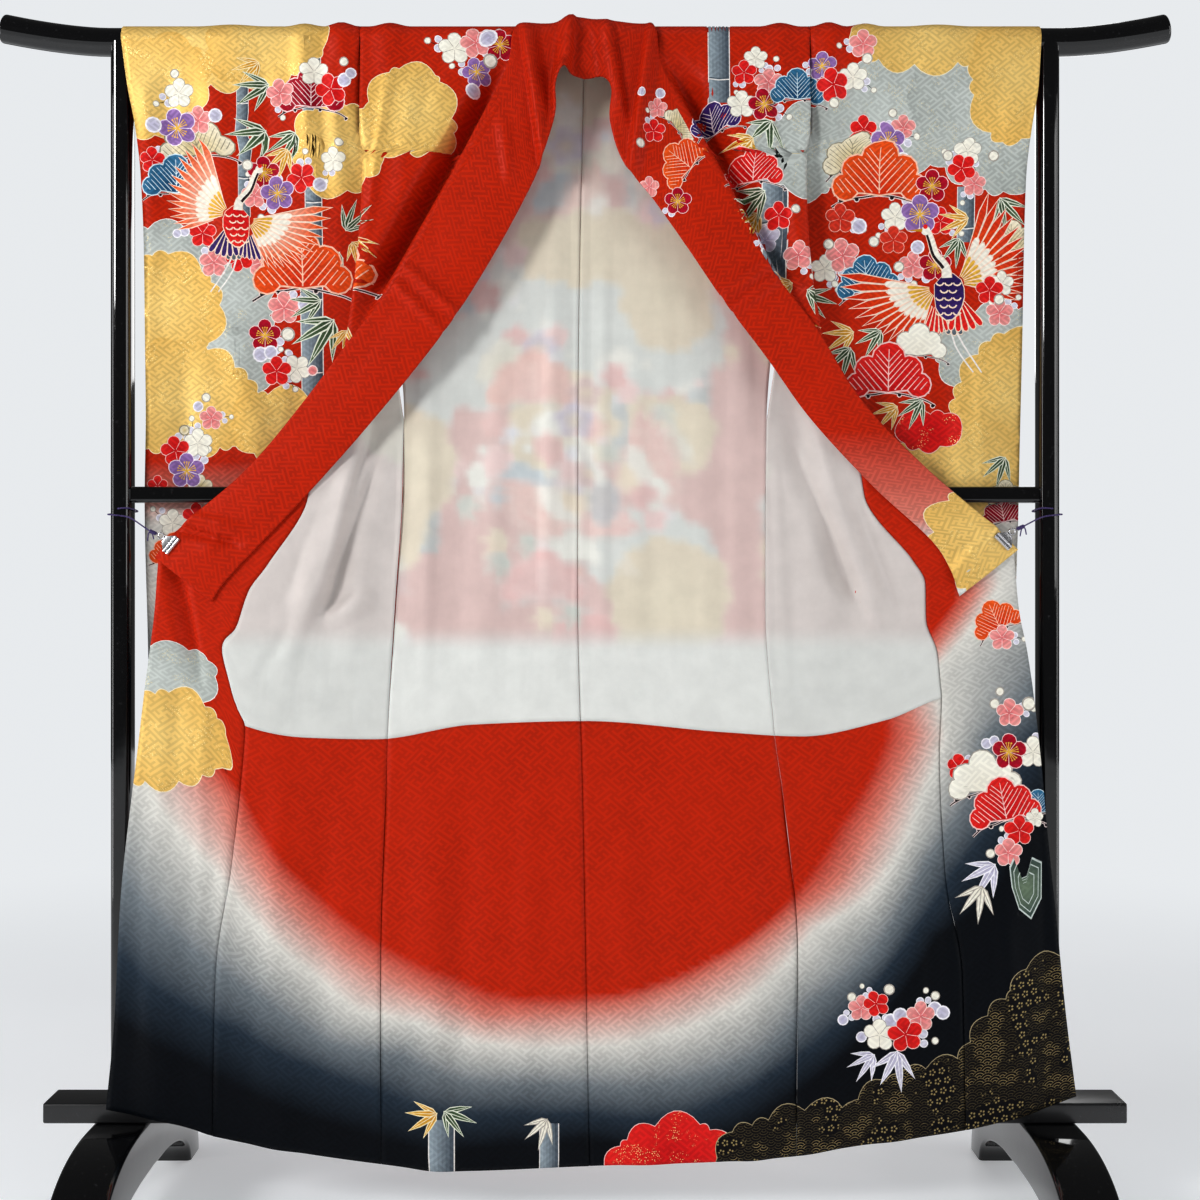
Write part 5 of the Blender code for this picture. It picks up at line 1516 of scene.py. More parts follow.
def stump(name):
    """A broken stump, drawn as pale lines one inside the other."""
    shapes = []
    for k, size in enumerate((1.0, 0.93, 0.78, 0.74, 0.52, 0.48)):
        outline = np.array(STUMP) * size
        if k % 2:
            shapes.append(shape(outline, dye(name, 0), dye(name, 1)))
        else:
            shapes.append(shape(outline, dye(name, 2)))
    return shapes


def pine_on_twig(name):
    return twig() + pine(name)


MOTIFS = {
    "stump": stump,
    "plum": blossom,
    "bud": bud,
    "pine": pine_on_twig,
    "leaves": leaves,
    "crane": crane,
}


@lru_cache(maxsize=None)
def motif(kind, name):
    return MOTIFS[kind](name)


def crosses_itself(outline):
    """Whether any two sides of a closed outline cross."""
    side = np.roll(outline, -1, axis=0) - outline
    offset = outline[None] - outline[:, None]
    start = side[:, None, 0] * offset[:, :, 1] - side[:, None, 1] * offset[:, :, 0]
    apart = start * np.roll(start, -1, axis=1) < 0
    return (apart & apart.T).any()


def uncrossed(shapes):
    return [one for one in shapes if not crosses_itself(one["outline"])]


def anticlockwise(outline):
    """The outline from its leftmost corner on, with its inside to the left there."""
    outline = np.roll(outline, -int(np.argmin(outline[:, 0])), axis=0)
    before, after = outline[0] - outline[-1], outline[1] - outline[0]
    if before[0] * after[1] - before[1] * after[0] < 0:
        outline = np.roll(outline[::-1], 1, axis=0)
    return outline


class Canvas:
    """Draws on a strip in places as they are seen: x from left to right, and z up."""

    def __init__(self, strip, allowed=None, step=2):
        self.strip = strip
        u = strip.u_grid()
        v = np.repeat(strip.v[:, None], u.shape[1], axis=1)
        spots = strip.points[:, :, (0, 2)]
        flat = np.stack((u, v), axis=2)
        seen_steps = np.stack((np.gradient(spots, axis=1), np.gradient(spots, axis=0)), axis=3)
        flat_steps = np.stack((np.gradient(flat, axis=1), np.gradient(flat, axis=0)), axis=3)
        allowed = np.ones(u.shape, dtype=bool) if allowed is None else allowed
        keep = np.zeros(u.shape, dtype=bool)
        keep[::step, ::step] = True
        keep[:, -1] = True
        keep &= allowed
        self.flat = flat[keep]
        self.spots = spots[keep]
        stretch = flat_steps[keep] @ np.linalg.pinv(seen_steps[keep], rcond=0.05)
        first, sizes, second = np.linalg.svd(stretch)
        self.stretch = first @ (np.clip(sizes, *STRETCHES)[:, :, None] * second)
        across = seen_steps[keep][:, :, 0]
        across /= np.linalg.norm(across, axis=1, keepdims=True)
        along = np.stack((-across[:, 1], across[:, 0]), axis=1)
        along *= np.sign(np.sum(along * seen_steps[keep][:, :, 1], axis=1, keepdims=True))
        self.spin = np.stack((across, along), axis=1)
        self.tree = KDTree(len(self.spots))
        for index, (x, z) in enumerate(self.spots):
            self.tree.insert((x, z, 0.0), index)
        self.tree.balance()

    def frame_at(self, x, z):
        """The flat place of a seen one, how seen steps become flat ones, and how far off it is."""
        _, index, far = self.tree.find((x, z, 0.0))
        offset = np.array((x, z)) - self.spots[index]
        return self.flat[index] + offset @ self.spin[index].T, self.stretch[index].T, far

    def flat_places(self, points):
        """The flat places of seen places, brought closer where the cloth is under them."""
        points = np.asarray(points, dtype=float)
        frames = [self.frame_at(x, z) for x, z in points]
        places = np.array([place for place, _, _ in frames])
        axes = np.array([axes for _, axes, _ in frames])
        rough = places.copy()
        for _ in range(3):
            missed = points - self.strip.at(places[:, 0], places[:, 1])[:, (0, 2)]
            missed[np.linalg.norm(missed, axis=1) > NEAR_MISS] = 0.0
            places += np.einsum("ni,nij->nj", missed, axes)
        return rough if crosses_itself(places) else places

    def put(self, shapes, x, z, size, turn):
        """Places a motif's shapes on the cloth."""
        origin, axes, far = self.frame_at(x, z)
        if far > size * 1.3:
            return []
        placed = []
        for one in shapes:
            moved = dict(one)
            moved["outline"] = origin + turned(one["outline"], turn) * size @ axes
            moved["centre"] = origin + turned(one["centre"][None], turn)[0] * size @ axes
            moved["radius"] = one["radius"] * size
            placed.append(moved)
        return uncrossed(placed)

    def cloud(self, name, *puffs):
        """A cloud of overlapping scalloped puffs, with one thin outline round them all."""
        drawn = [self.puff(name, *puff) for puff in puffs]
        return [edge for edge, _ in drawn] + [middle for _, middle in drawn]

    def puff(self, name, x, z, half_width, half_height):
        """An uneven oval with scallops round it, as its outline and its middle."""
        count = round(math.pi * (half_width + half_height) / SCALLOP_STEP)
        turns = np.arange(count) * math.tau / count
        far = 1.0 + 0.07 * np.sin(2 * turns + 40 * x) + 0.05 * np.sin(3 * turns + 50 * z)
        turns = turns + 0.35 * math.tau / count * np.sin(5 * turns + 30 * x)
        across = x + half_width * far * np.cos(turns)
        up = z + half_height * far * np.sin(turns)
        corners = anticlockwise(self.flat_places(np.stack((across, up), axis=1)))
        chords = np.roll(corners, -1, axis=0) - corners
        normals = np.stack((chords[:, 1], -chords[:, 0]), axis=1)
        normals /= np.linalg.norm(normals, axis=1, keepdims=True)
        at_corner = normals + np.roll(normals, 1, axis=0)
        at_corner /= np.linalg.norm(at_corner, axis=1, keepdims=True)
        placed = []
        for grow in (OUTLINE, 0.0):
            outline = []
            for corner, chord, normal, out in zip(corners, chords, normals, at_corner):
                outline.append(corner + out * grow)
                length = np.linalg.norm(chord)
                for t in np.linspace(0.0, 1.0, 8)[1:-1]:
                    rise = SCALLOP * length * math.sin(math.pi * t) ** 0.8 + grow
                    outline.append(corner + chord * t + normal * rise)
            edge = dye(name, 2)
            centre = corners.mean(axis=0)
            reach = np.linalg.norm(corners - centre, axis=1).max()
            if grow:
                placed.append(shape(outline, edge, centre=centre, radius=reach))
            else:
                finish = CLOUD_FINISH[name]
                placed.append(shape(outline, dye(name, 0), dye(name, 1), centre, reach, finish))
        return placed

    def stem(self, x, top, foot, half):
        """A bamboo stem with a light and a dark side and its joints."""
        heights = np.linspace(foot, top, max(2, round((top - foot) / 0.03)))
        placed = []
        bands = [(-1.10, 1.10, dye("grey", 2))]
        for k in range(STEM_BANDS):
            shade = blended(dye("grey", 1), dye("grey", 0), k / (STEM_BANDS - 1))
            bands.append((2 * k / STEM_BANDS - 1, 2 * (k + 1) / STEM_BANDS - 1, shade))
        for left, right, colour in bands:
            outline = [(x + half * left, z) for z in heights]
            outline += [(x + half * right, z) for z in heights[::-1]]
            outline = self.flat_places(outline)
            placed.append(shape(outline, colour, centre=outline[0]))
        joint = foot + (top - foot) * 0.25
        while joint < top:
            for lift, colour in ((0.0, dye("grey", 2)), (0.0022, dye("grey", 0))):
                height = joint + lift
                path = ((x - half, height), (x, height - 0.001), (x + half, height))
                outline = self.flat_places(ribbon(path, 0.0008, 0.0008))
                placed.append(shape(outline, colour, centre=outline[0]))
            joint += STEM_JOINTS
        return uncrossed(placed)

    def draw(self, stems, clouds, motifs):
        patches = []
        for stem in stems:
            patches += self.stem(*stem)
        for cloud in clouds:
            patches += self.cloud(*cloud)
        for kind, x, z, size, turn, name in motifs:
            if kind == "plum" and size > 0.015:
                patches += self.put(spray(round(x * 1000)), x, z, size, turn)
        for kind, x, z, size, turn, name in motifs:
            patches += self.put(motif(kind, name), x, z, size * GROWTH[kind], turn)
        return patches


def scatter(strip, spacing, wraps, lengthened=1.0):
    """Flat places over a strip: its rim in order, and the places inside it.

    wraps lists stretches of v where the cloth turns tightly, as (first, last, step).
    """
    levels = [strip.v[0]]
    while levels[-1] < strip.v[-1]:
        step = spacing * lengthened
        for first, last, fine in wraps:
            if first <= levels[-1] <= last:
                step = fine
        levels.append(levels[-1] + step)
    levels[-1] = strip.v[-1]
    if len(levels) > 2 and levels[-1] - levels[-2] < spacing / 3:
        levels.pop(-2)
    levels = np.array(levels)
    left = np.interp(levels, strip.v, strip.left)
    right = np.interp(levels, strip.v, strip.right)
    count = max(2, math.ceil((strip.right - strip.left).max() / spacing))
    shares = np.linspace(0.0, 1.0, count + 1)
    u = left[:, None] + (right - left)[:, None] * shares[None, :]
    v = np.repeat(levels[:, None], count + 1, axis=1)
    rim = [(u[0, j], v[0, j]) for j in range(count + 1)]
    rim += [(u[i, -1], v[i, -1]) for i in range(1, len(levels))]
    rim += [(u[-1, j], v[-1, j]) for j in range(count - 1, -1, -1)]
    rim += [(u[i, 0], v[i, 0]) for i in range(len(levels) - 2, 0, -1)]
    inside = np.stack((u[1:-1, 1:-1].ravel(), v[1:-1, 1:-1].ravel()), axis=1)
    return rim, inside


# Where the cloth turns tightly over the bar, as first, last, step
OVER_BAR = ((BAR_HEIGHT - 0.01, BAR_HEIGHT + 0.08, 0.004),)


def cut_flat(rim, inside, outlines=()):
    """A flat piece in triangles, the topmost outline over each, and the places of its rim."""
    flat = [np.array(rim), inside]
    loops = [list(range(len(rim)))]
    count = len(rim) + len(inside)
    for outline in outlines:
        flat.append(outline)
        loops.append(list(range(count, count + len(outline))))
        count += len(outline)
    places, _, faces, sources, _, owners = delaunay_2d_cdt(
        [Vector(place) for place in np.concatenate(flat)], [], loops, 0, 1e-6, True
    )
    kept = [(face, max(owner)) for face, owner in zip(faces, owners) if 0 in owner]
    corners = np.array([face for face, _ in kept])
    owner = np.array([top for _, top in kept]) - 1
    made = {one: index for index, source in enumerate(sources) for one in source}
    used, corners = np.unique(corners, return_inverse=True)
    border = np.searchsorted(used, [made[k] for k in range(len(rim))])
    flat = np.array([(place.x, place.y) for place in places])
    return flat[used], corners.reshape(-1, 3), owner, border


def border_of(corners):
    """The rim of a flat piece, in order, from the sides that only one triangle has."""
    sides = {(int(one[k - 1]), int(one[k])) for one in corners for k in range(3)}
    following = {start: end for start, end in sides if (end, start) not in sides}
    chain = [min(following)]
    while following[chain[-1]] != chain[0]:
        chain.append(following[chain[-1]])
    return np.array(chain)


def lined(flat, corners, hung, back, spacing, wraps):
    """The triangles and places of a shell: its printed side, a plain side and a rim."""
    border = border_of(corners)
    inside = scatter(back, spacing, wraps, BACKING_LENGTHENED)[1]
    under, turned_corners, _, under_border = cut_flat(flat[border], inside)
    under_border = under_border + len(flat)
    after, under_after = np.roll(border, -1), np.roll(under_border, -1)
    faces = (
        corners,
        turned_corners[:, ::-1] + len(flat),
        np.stack((under_border, under_after, after), axis=1),
        np.stack((under_border, after, border), axis=1),
    )
    hung = np.concatenate((hung, back.at(under[:, 0], under[:, 1])))
    return np.concatenate((flat, under)), np.concatenate(faces), hung


def dyed_mesh(name, strip, spacing, ground, patches=(), wraps=(), back=None):
    """A mesh of the strip with every patch of dye cut into it, in painter's order.

    back is the strip on the cloth's other side, where it gets a plain side of its own.
    """
    rim, inside = scatter(strip, spacing, wraps)
    outlines = [anticlockwise(patch["outline"]) for patch in patches]
    flat, corners, owner, _ = cut_flat(rim, inside, outlines)
    hung = strip.at(flat[:, 0], flat[:, 1])
    printed = len(corners)
    if back is not None:
        flat, corners, hung = lined(flat, corners, hung, back, spacing, wraps)
        owner = np.concatenate((owner, np.full(len(corners) - printed, -1)))
    mesh = bpy.data.meshes.new(name)
    mesh["printed"] = printed
    mesh.from_pydata(hung.tolist(), [], corners.tolist())
    paint, finish = ground(hung, flat)
    paint = paint[corners].reshape(-1, 3)
    finish = finish[corners].reshape(-1, 3)
    if patches:
        owner = np.repeat(owner, 3)
        place = flat[corners].reshape(-1, 2)
        inner = np.array([patch["inner"] for patch in patches])
        outer = np.array([patch["outer"] for patch in patches])
        centre = np.array([patch["centre"] for patch in patches])
        radius = np.array([patch["radius"] for patch in patches])
        finishes = np.array([patch["finish"] for patch in patches])
        dyed = owner >= 0
        who = owner[dyed]
        share = np.linalg.norm(place[dyed] - centre[who], axis=1) / radius[who]
        share = np.clip(share, 0.0, 1.0)[:, None]
        paint[dyed] = inner[who] + (outer[who] - inner[who]) * share
        finish[dyed] = finishes[who]
    ones = np.ones((len(paint), 1))
    for title, values in (("paint", paint), ("finish", finish)):
        layer = mesh.color_attributes.new(title, "FLOAT_COLOR", "CORNER")
        layer.data.foreach_set("color", np.concatenate((values, ones), axis=1).ravel())
    layer = mesh.uv_layers.new(name="flat")
    layer.data.foreach_set("uv", flat[corners].reshape(-1, 2).ravel())
    mesh.shade_smooth()
    return mesh


def bowl_ground(places, flat):
    """Red in a bowl shape, then through pink and white to slate and navy at the hem."""
    x, z = places[:, 0], places[:, 2] - BOWL_MIDDLE
    turn = np.degrees(np.arctan2(-z, x))
    turn = np.where(turn < -90, turn + 360, turn)
    table = np.array(BOWL)
    limits = [np.interp(turn, table[:, 0], column) for column in table[:, 1:].T]
    far = np.where((turn < BOWL[0][0]) | (turn > BOWL[-1][0]), 0.0, np.hypot(x, z))
    value = sum(
        np.clip((far - first) / (last - first), 0.0, 1.0) for first, last in zip(limits, limits[1:])
    )
    stops = tuple(enumerate((RED, PINK, PALE, GREY, SLATE, NAVY)))
    return shades(value, stops), np.zeros((len(places), 3))


def sleeve_ground(places, flat):
    """Red down to the elbow, then pale to slate and navy at the sleeve's foot."""
    below = 1.09 - places[:, 2]
    stops = (
        (0.00, RED),
        (0.05, PINK),
        (0.09, PALE),
        (0.20, PALE),
        (0.30, SLATE),
        (0.42, NAVY),
    )
    return shades(below, stops), np.zeros((len(places), 3))


def collar_ground(places, flat):
    """Plain red, that fades through pink to white at the collar's right end."""
    below = np.where(places[:, 0] > 0.2, 1.13 - places[:, 2], -1.0)
    stops = ((0.00, RED), (0.075, (RED + PINK) / 2), (0.125, PINK), (0.165, WHITE))
    return shades(below, stops), np.zeros((len(places), 3))


# For the upper front and upper back linings: share of the print that shows through, tone. The
# front's tone of 0.90 is painted shade, for the shade of the collar and the turned fold
LINING_SEE_THROUGH_AND_PAINTED_SHADE = ((0.40, 0.90), (1.0, 1.0))


class SoftPrint:
    """A dyed mesh's colours on its flat cloth, blurred, as they show through a lining."""

    CELL = 0.004
    PASSES = 2

    def __init__(self, mesh):
        count = len(mesh.loops)
        paint = np.empty(count * 4)
        mesh.color_attributes["paint"].data.foreach_get("color", paint)
        flat = np.empty(count * 2)
        mesh.uv_layers["flat"].data.foreach_get("uv", flat)
        paint = paint.reshape(-1, 3, 4)[: mesh["printed"]].mean(axis=1)
        corners = flat.reshape(-1, 3, 2)[: mesh["printed"]]
        first, second = corners[:, 1] - corners[:, 0], corners[:, 2] - corners[:, 0]
        area = np.abs(first[:, 0] * second[:, 1] - first[:, 1] * second[:, 0])
        middle = corners.mean(axis=1)
        self.low = middle.min(axis=0) - 5 * self.CELL
        index = ((middle - self.low) / self.CELL).astype(int)
        self.grid = np.zeros((*(index.max(axis=0) + 6), 4))
        paint[:, 3] = 1.0
        np.add.at(self.grid, (index[:, 0], index[:, 1]), paint * area[:, None])
        for _ in range(self.PASSES):
            for axis in (0, 1):
                both = np.roll(self.grid, 1, axis) + np.roll(self.grid, -1, axis)
                self.grid = self.grid / 2 + both / 4

    def at(self, flat):
        index = ((flat - self.low) / self.CELL).astype(int)
        index = np.clip(index, 0, np.array(self.grid.shape[:2]) - 1)
        cell = self.grid[index[:, 0], index[:, 1]]
        return cell[:, :3] / np.maximum(cell[:, 3:], 1e-12)


def white_ground(soft, share, tone):
    """White lining with the print behind it showing through, down to where it ends, times a tone
    that paints shade where it is below 1.
    """

    def ground(places, flat):
        behind = soft.at(flat)
        strength = share * ease((places[:, 2] - SEE_THROUGH_FOOT) / SEE_THROUGH_FADE)[:, None]
        colour = WHITE * (1 - strength) + behind * strength
        # A tone below 1 darkens the lining as painted shade
        return colour * tone, np.zeros((len(places), 3))

    return ground


def shown(name, mesh, finish, node, slot):
    """Puts a mesh in the scene in place of a CAD node."""
    made = bpy.data.objects.new(name, mesh)
    mesh.materials.append(finish)
    bpy.context.scene.collection.objects.link(made)
    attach(made, "root")
    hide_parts(node)
    return made


def thickened(piece, thickness):
    """Gives a sheet its thickness, on the side that faces away from its normals."""
    solid = piece.modifiers.new("thickness", "SOLIDIFY")
    solid.thickness = thickness
    solid.offset = -1.0
    return piece


class Look:
    """One material, built node by node up to its Principled shader."""

    def __init__(self, name):
        self.made = bpy.data.materials.new(name)
        self.made.use_nodes = True
        self.nodes = self.made.node_tree.nodes
        self.shader = self.nodes["Principled BSDF"]

    def feed(self, socket, value):
        if isinstance(value, bpy.types.NodeSocket):
            self.made.node_tree.links.new(value, socket)
        elif isinstance(socket.default_value, float):
            socket.default_value = float(value)
        else:
            value = tuple(value)
            size = len(socket.default_value)
            socket.default_value = value + (1.0,) * (size - len(value))

    def node(self, kind, values=None, output=0, **settings):
        made = self.nodes.new("ShaderNode" + kind)
        for setting, value in settings.items():
            setattr(made, setting, value)
        for socket, value in (values or {}).items():
            self.feed(made.inputs[socket], value)
        return made.outputs[output]

    def math(self, operation, *values):
        return self.node("Math", dict(enumerate(values)), operation=operation)

    def add(self, *values):
        total = values[0]
        for value in values[1:]:
            total = self.math("ADD", total, value)
        return total

    def times(self, *values):
        total = values[0]
        for value in values[1:]:
            total = self.math("MULTIPLY", total, value)
        return total

    def mix(self, share, a, b):
        return self.node("Mix", {0: share, 2: a, 3: b})

    def blend(self, share, a, b):
        return self.node("Mix", {0: share, 6: a, 7: b}, output=2, data_type="RGBA")

    def length(self, a, b):
        """The length of a step with these two parts."""
        return self.math("SQRT", self.add(self.times(a, a), self.times(b, b)))

    def scaled(self, colour, share):
        return self.node("VectorMath", {0: colour, "Scale": share}, operation="SCALE")

    def smooth(self, value, low, high, first=0.0, last=1.0):
        values = {"Value": value, 1: low, 2: high, 3: first, 4: last}
        return self.node("MapRange", values, interpolation_type="SMOOTHSTEP")

    def noise(self, place, scale, detail=2.0, roughness=0.5):
        values = {"Vector": place, "Scale": scale, "Detail": detail, "Roughness": roughness}
        return self.node("TexNoise", values)

    def bump(self, height, distance, strength=1.0, under=None):
        values = {"Height": height, "Distance": distance, "Strength": strength}
        if under is not None:
            values["Normal"] = under
        return self.node("Bump", values)

    def split(self, place):
        made = self.nodes.new("ShaderNodeSeparateXYZ")
        self.feed(made.inputs[0], place)
        return made.outputs

    def finish(self, **values):
        for socket, value in values.items():
            self.feed(self.shader.inputs[socket.replace("_", " ")], value)
        return self.made


def strokes(look, x, y):
    """How far a place lies from the level strokes of a fret with lines one apart."""
    row = look.math("ROUND", y)
    aside = look.math("ABSOLUTE", look.math("SUBTRACT", y, row))
    pair = look.math("FLOOR", look.times(row, 0.5))
    odd = look.math("SUBTRACT", row, look.times(pair, 2.0))
    along = look.math("SUBTRACT", x, look.times(pair, FRET_SHIFT))
    ends = []
    for row_strokes in FRET_STROKES:
        nearest = FRET_REPEAT
        for middle, half in row_strokes:
            near = look.math("PINGPONG", look.math("SUBTRACT", along, middle), FRET_REPEAT / 2)
            nearest = look.math("MINIMUM", nearest, look.math("SUBTRACT", near, half))
        ends.append(nearest)
    return look.math("MAXIMUM", aside, look.mix(odd, *ends))


def fret(look, u, v, line):
    """1 on the lines of the key fret woven into the silk, and 0 between them."""
    rise = look.times(v, math.cos(FRET_TILT) / line)
    run = look.times(u, math.sin(FRET_TILT) / line)
    x, y = look.add(rise, run), look.math("SUBTRACT", rise, run)
    level = strokes(look, x, y)
    upright = strokes(look, look.times(y, -1.0), x)
    return look.smooth(look.math("MINIMUM", level, upright), 0.36, 0.18)


def flowers(look, u, v):
    """1 on small flowers of five dots each, and 0 between them."""
    y = look.times(v, 1 / FLOWER_CELL)
    row = look.math("FLOOR", y)
    x = look.add(look.times(u, 1 / FLOWER_CELL), look.times(row, 0.41))
    across = look.math("SUBTRACT", look.math("FRACT", x), 0.5)
    up = look.math("SUBTRACT", look.math("FRACT", y), 0.5)
    angle = look.math("ARCTAN2", up, across)
    sector = look.math("SUBTRACT", look.math("FLOORED_MODULO", angle, math.tau / 5), math.pi / 5)
    far = look.length(across, up)
    out = look.math("SUBTRACT", look.times(far, look.math("COSINE", sector)), 0.26)
    aside = look.times(far, look.math("SINE", sector))
    return look.smooth(look.length(out, aside), 0.12, 0.07)


def waves(look, u, v):
    """1 on the gold lines of overlapping round waves, and 0 between them."""
    x = look.times(u, 1 / WAVE_RADIUS)
    y = look.times(v, 2 / WAVE_RADIUS)
    row = look.math("FLOOR", y)
    distance = None
    for lower in (1.0, 0.0, -1.0):
        place = look.math("SUBTRACT", row, lower)
        shift = look.math("FLOORED_MODULO", place, 2.0)
        side = look.math("FLOORED_MODULO", look.add(x, shift), 2.0)
        across = look.math("SUBTRACT", side, 1.0)
        above = look.times(look.math("SUBTRACT", y, place), 0.5)
        far = look.length(across, above)
        if distance is None:
            distance = far
        else:
            outside = look.math("GREATER_THAN", distance, 1.0)
            distance = look.mix(outside, distance, far)
    ring = look.math("PINGPONG", look.times(distance, 3.0), 0.5)
    return look.smooth(ring, 0.11, 0.05)


def silk(name, fret_depth, roughness, weave=1.0):
    """Dyed silk, with its fret, its gold leaf, drawing and flecks, and its soft folds. The fret's
    lines are drawn darker on dye and lighter on gold leaf as painted sheen.
    """
    made = bpy.data.materials.get(name)
    if made:
        return made
    look = Look(name)
    place = look.node("UVMap", uv_map="flat")
    u, v, _ = look.split(place)
    paint = look.node("VertexColor", layer_name="paint")
    leaf, drawing, flecks = look.split(look.node("VertexColor", layer_name="finish"))
    line = fret(look, u, v, FRET_LINES.get(name, FRET_LINE))
    worn = look.smooth(look.noise(place, 9.0, 3.0), 0.35, 0.65)
    pale = look.smooth(look.node("RGBToBW", {0: paint}), 0.45, 0.75)
    line = look.times(line, look.mix(worn, 0.7, 1.0), look.mix(pale, 1.0, 0.6))
    cloudy = look.noise(place, 26.0, 4.0, 0.6)
    speck = look.node("TexVoronoi", {"Vector": place, "Scale": 420.0})
    grouped = look.smooth(look.noise(place, 34.0, 2.0), 0.52, 0.60)
    bright = look.times(look.smooth(speck, 0.30, 0.22), grouped, flecks)
    zone = look.noise(place, 20.0, 2.0)
    lit = look.smooth(zone, 0.53, 0.58, 0.20, 1.00)
    flowered = look.smooth(zone, 0.44, 0.41)
    arcs = look.times(waves(look, u, v), look.mix(flowered, lit, 0.0))
    ring = look.times(look.add(arcs, look.times(flowers(look, u, v), flowered, 0.8)), drawing)
    # The fret is woven into the silk, but its lines drawn darker on dye and lighter on gold leaf
    # are painted sheen
    lift = look.times(line, look.mix(leaf, -0.24 * fret_depth, 0.26 * fret_depth))
    tone = look.add(1.0, lift, look.smooth(cloudy, 0.2, 0.8, -0.05, 0.05))
    colour = look.scaled(paint, tone)
    colour = look.blend(ring, colour, PALE_GOLD)
    colour = look.blend(bright, colour, (0.98, 0.80, 0.38))
    metal = look.math("MAXIMUM", look.times(leaf, 0.22), look.math("MAXIMUM", ring, bright))
    satin = look.mix(line, roughness, roughness + 0.16)
    satin = look.mix(metal, satin, 0.46)
    thread = look.node("TexWave", {"Vector": place, "Scale": 420.0, "Distortion": 2.0})
    crepe = look.noise(place, 900.0, 2.0)
    surface = look.add(look.times(line, -0.5 * fret_depth), look.times(thread, 0.12))
    surface = look.add(surface, look.times(crepe, 0.35))
    long_place = look.node("VectorMath", {0: place, 1: (14.0, 2.2, 0.0)}, operation="MULTIPLY")
    folds = look.noise(long_place, 1.0, 3.0, 0.45)
    normal = look.bump(folds, 0.006 * weave, 0.6)
    normal = look.bump(surface, 0.00025, 0.8, normal)
    return look.finish(
        Base_Color=colour,
        Metallic=metal,
        Roughness=satin,
        Normal=normal,
        Specular_IOR_Level=0.36,
        Specular_Tint=look.blend(0.75, (1.0, 1.0, 1.0), colour),
    )


def lacquer(name, gloss, base=(0.0035, 0.0035, 0.004)):
    """Black lacquer with faint dust and rubbing."""
    made = bpy.data.materials.get(name)
    if made:
        return made
    look = Look(name)
    place = look.node("TexCoord", output=3)
    rubbed = look.noise(place, 7.0, 5.0, 0.6)
    dust = look.smooth(look.noise(place, 160.0, 2.0), 0.62, 0.80)
    colour = look.blend(look.times(dust, 0.10), base, (0.20, 0.20, 0.21))
    rough = look.smooth(rubbed, 0.3, 0.7, gloss * 0.8, gloss * 1.3)
    rough = look.add(rough, look.times(dust, 0.06))
    wavy = look.bump(look.noise(place, 22.0, 2.0), 0.0006, 0.35)
    return look.finish(
        Base_Color=colour,
        Roughness=rough,
        Normal=wavy,
        Coat_Weight=0.5,
        Coat_Roughness=gloss * 0.6,
    )


def steel():
    """Plated steel, brushed along."""
    made = bpy.data.materials.get("clip steel")
    if made:
        return made
    look = Look("clip steel")
    place = look.node("TexCoord", output=3)
    stretched = look.node("VectorMath", {0: place, 1: (900.0, 900.0, 60.0)}, operation="MULTIPLY")
    brushed = look.noise(stretched, 1.0, 3.0)
    return look.finish(
        Base_Color=look.blend(brushed, (0.55, 0.55, 0.57), (0.78, 0.78, 0.80)),
        Metallic=1.0,
        Roughness=look.mix(brushed, 0.16, 0.30),
        Normal=look.bump(brushed, 0.0001, 0.4),
    )


def cord():
    """Purple cord with a fine twist."""
    made = bpy.data.materials.get("purple cord")
    if made:
        return made
    look = Look("purple cord")
    place = look.node("TexCoord", output=3)
    x, _, z = look.split(place)
    twist = look.math("PINGPONG", look.times(look.add(z, x), 900.0), 1.0)
    return look.finish(
        Base_Color=look.blend(twist, (0.020, 0.008, 0.075), (0.065, 0.030, 0.190)),
        Roughness=0.65,
        Normal=look.bump(twist, 0.0003, 0.8),
        Sheen_Weight=0.3,
    )


def cut(piece, strip, held, *rests_on):
    """Works out the flat area, width and length of a strip that hangs as this piece, and keeps none
    of them.
    """
    widths = strip.right - strip.left
    steps = np.diff(strip.v)
    area = float(np.sum((widths[1:] + widths[:-1]) / 2 * steps))
    width, length = float(widths.max()), float(strip.v[-1] - strip.v[0])
    area = min(area, width * length)


def front_design(strip, normals):
    """The design on what faces the viewer, up to just over the bar."""
    facing = normals[:, :, 1] < FACES_VIEWER
    low = strip.v[:, None] < BAR_HEIGHT + DESIGN_OVER_BAR
    canvas = Canvas(strip, facing & low)
    return canvas.draw(FRONT_STEMS, FRONT_CLOUDS, FRONT_MOTIFS)


def moved_design(shift, drop, keep):
    """The front's stems, clouds and motifs of one side, moved to a new place."""
    stems, clouds = [], []
    for x, top, foot, half in FRONT_STEMS:
        if keep * x > 0:
            stems.append((x + shift, top - drop, foot - drop, half))
    for name, *puffs in FRONT_CLOUDS:
        if keep * puffs[0][0] > 0:
            clouds.append((name, *[(x + shift, z - drop, *size) for x, z, *size in puffs]))
    motifs = []
    for kind, x, z, size, turn, name in FRONT_MOTIFS:
        if keep * x > 0:
            motifs.append((kind, x + shift, z - drop, size, turn, name))
    return stems, clouds, motifs


# Columns: side of the front that is drawn again, its move to the side, its drop
BACK_COPIES = ((-1, 0.56, 0.02), (1, -0.50, 0.30), (1, -0.90, 0.10), (-1, 0.95, 0.36))


def back_design(strip, normals):
    """The front's design again, moved to places on what faces away."""
    facing = normals[:, :, 1] > FACES_AWAY
    high = strip.v[:, None] > BAR_HEIGHT
    allowed = facing & high
    if not allowed.any():
        return []
    canvas = Canvas(strip, allowed)
    drawn = []
    for keep, shift, drop in BACK_COPIES:
        drawn += canvas.draw(*moved_design(shift, drop, keep))
    return drawn


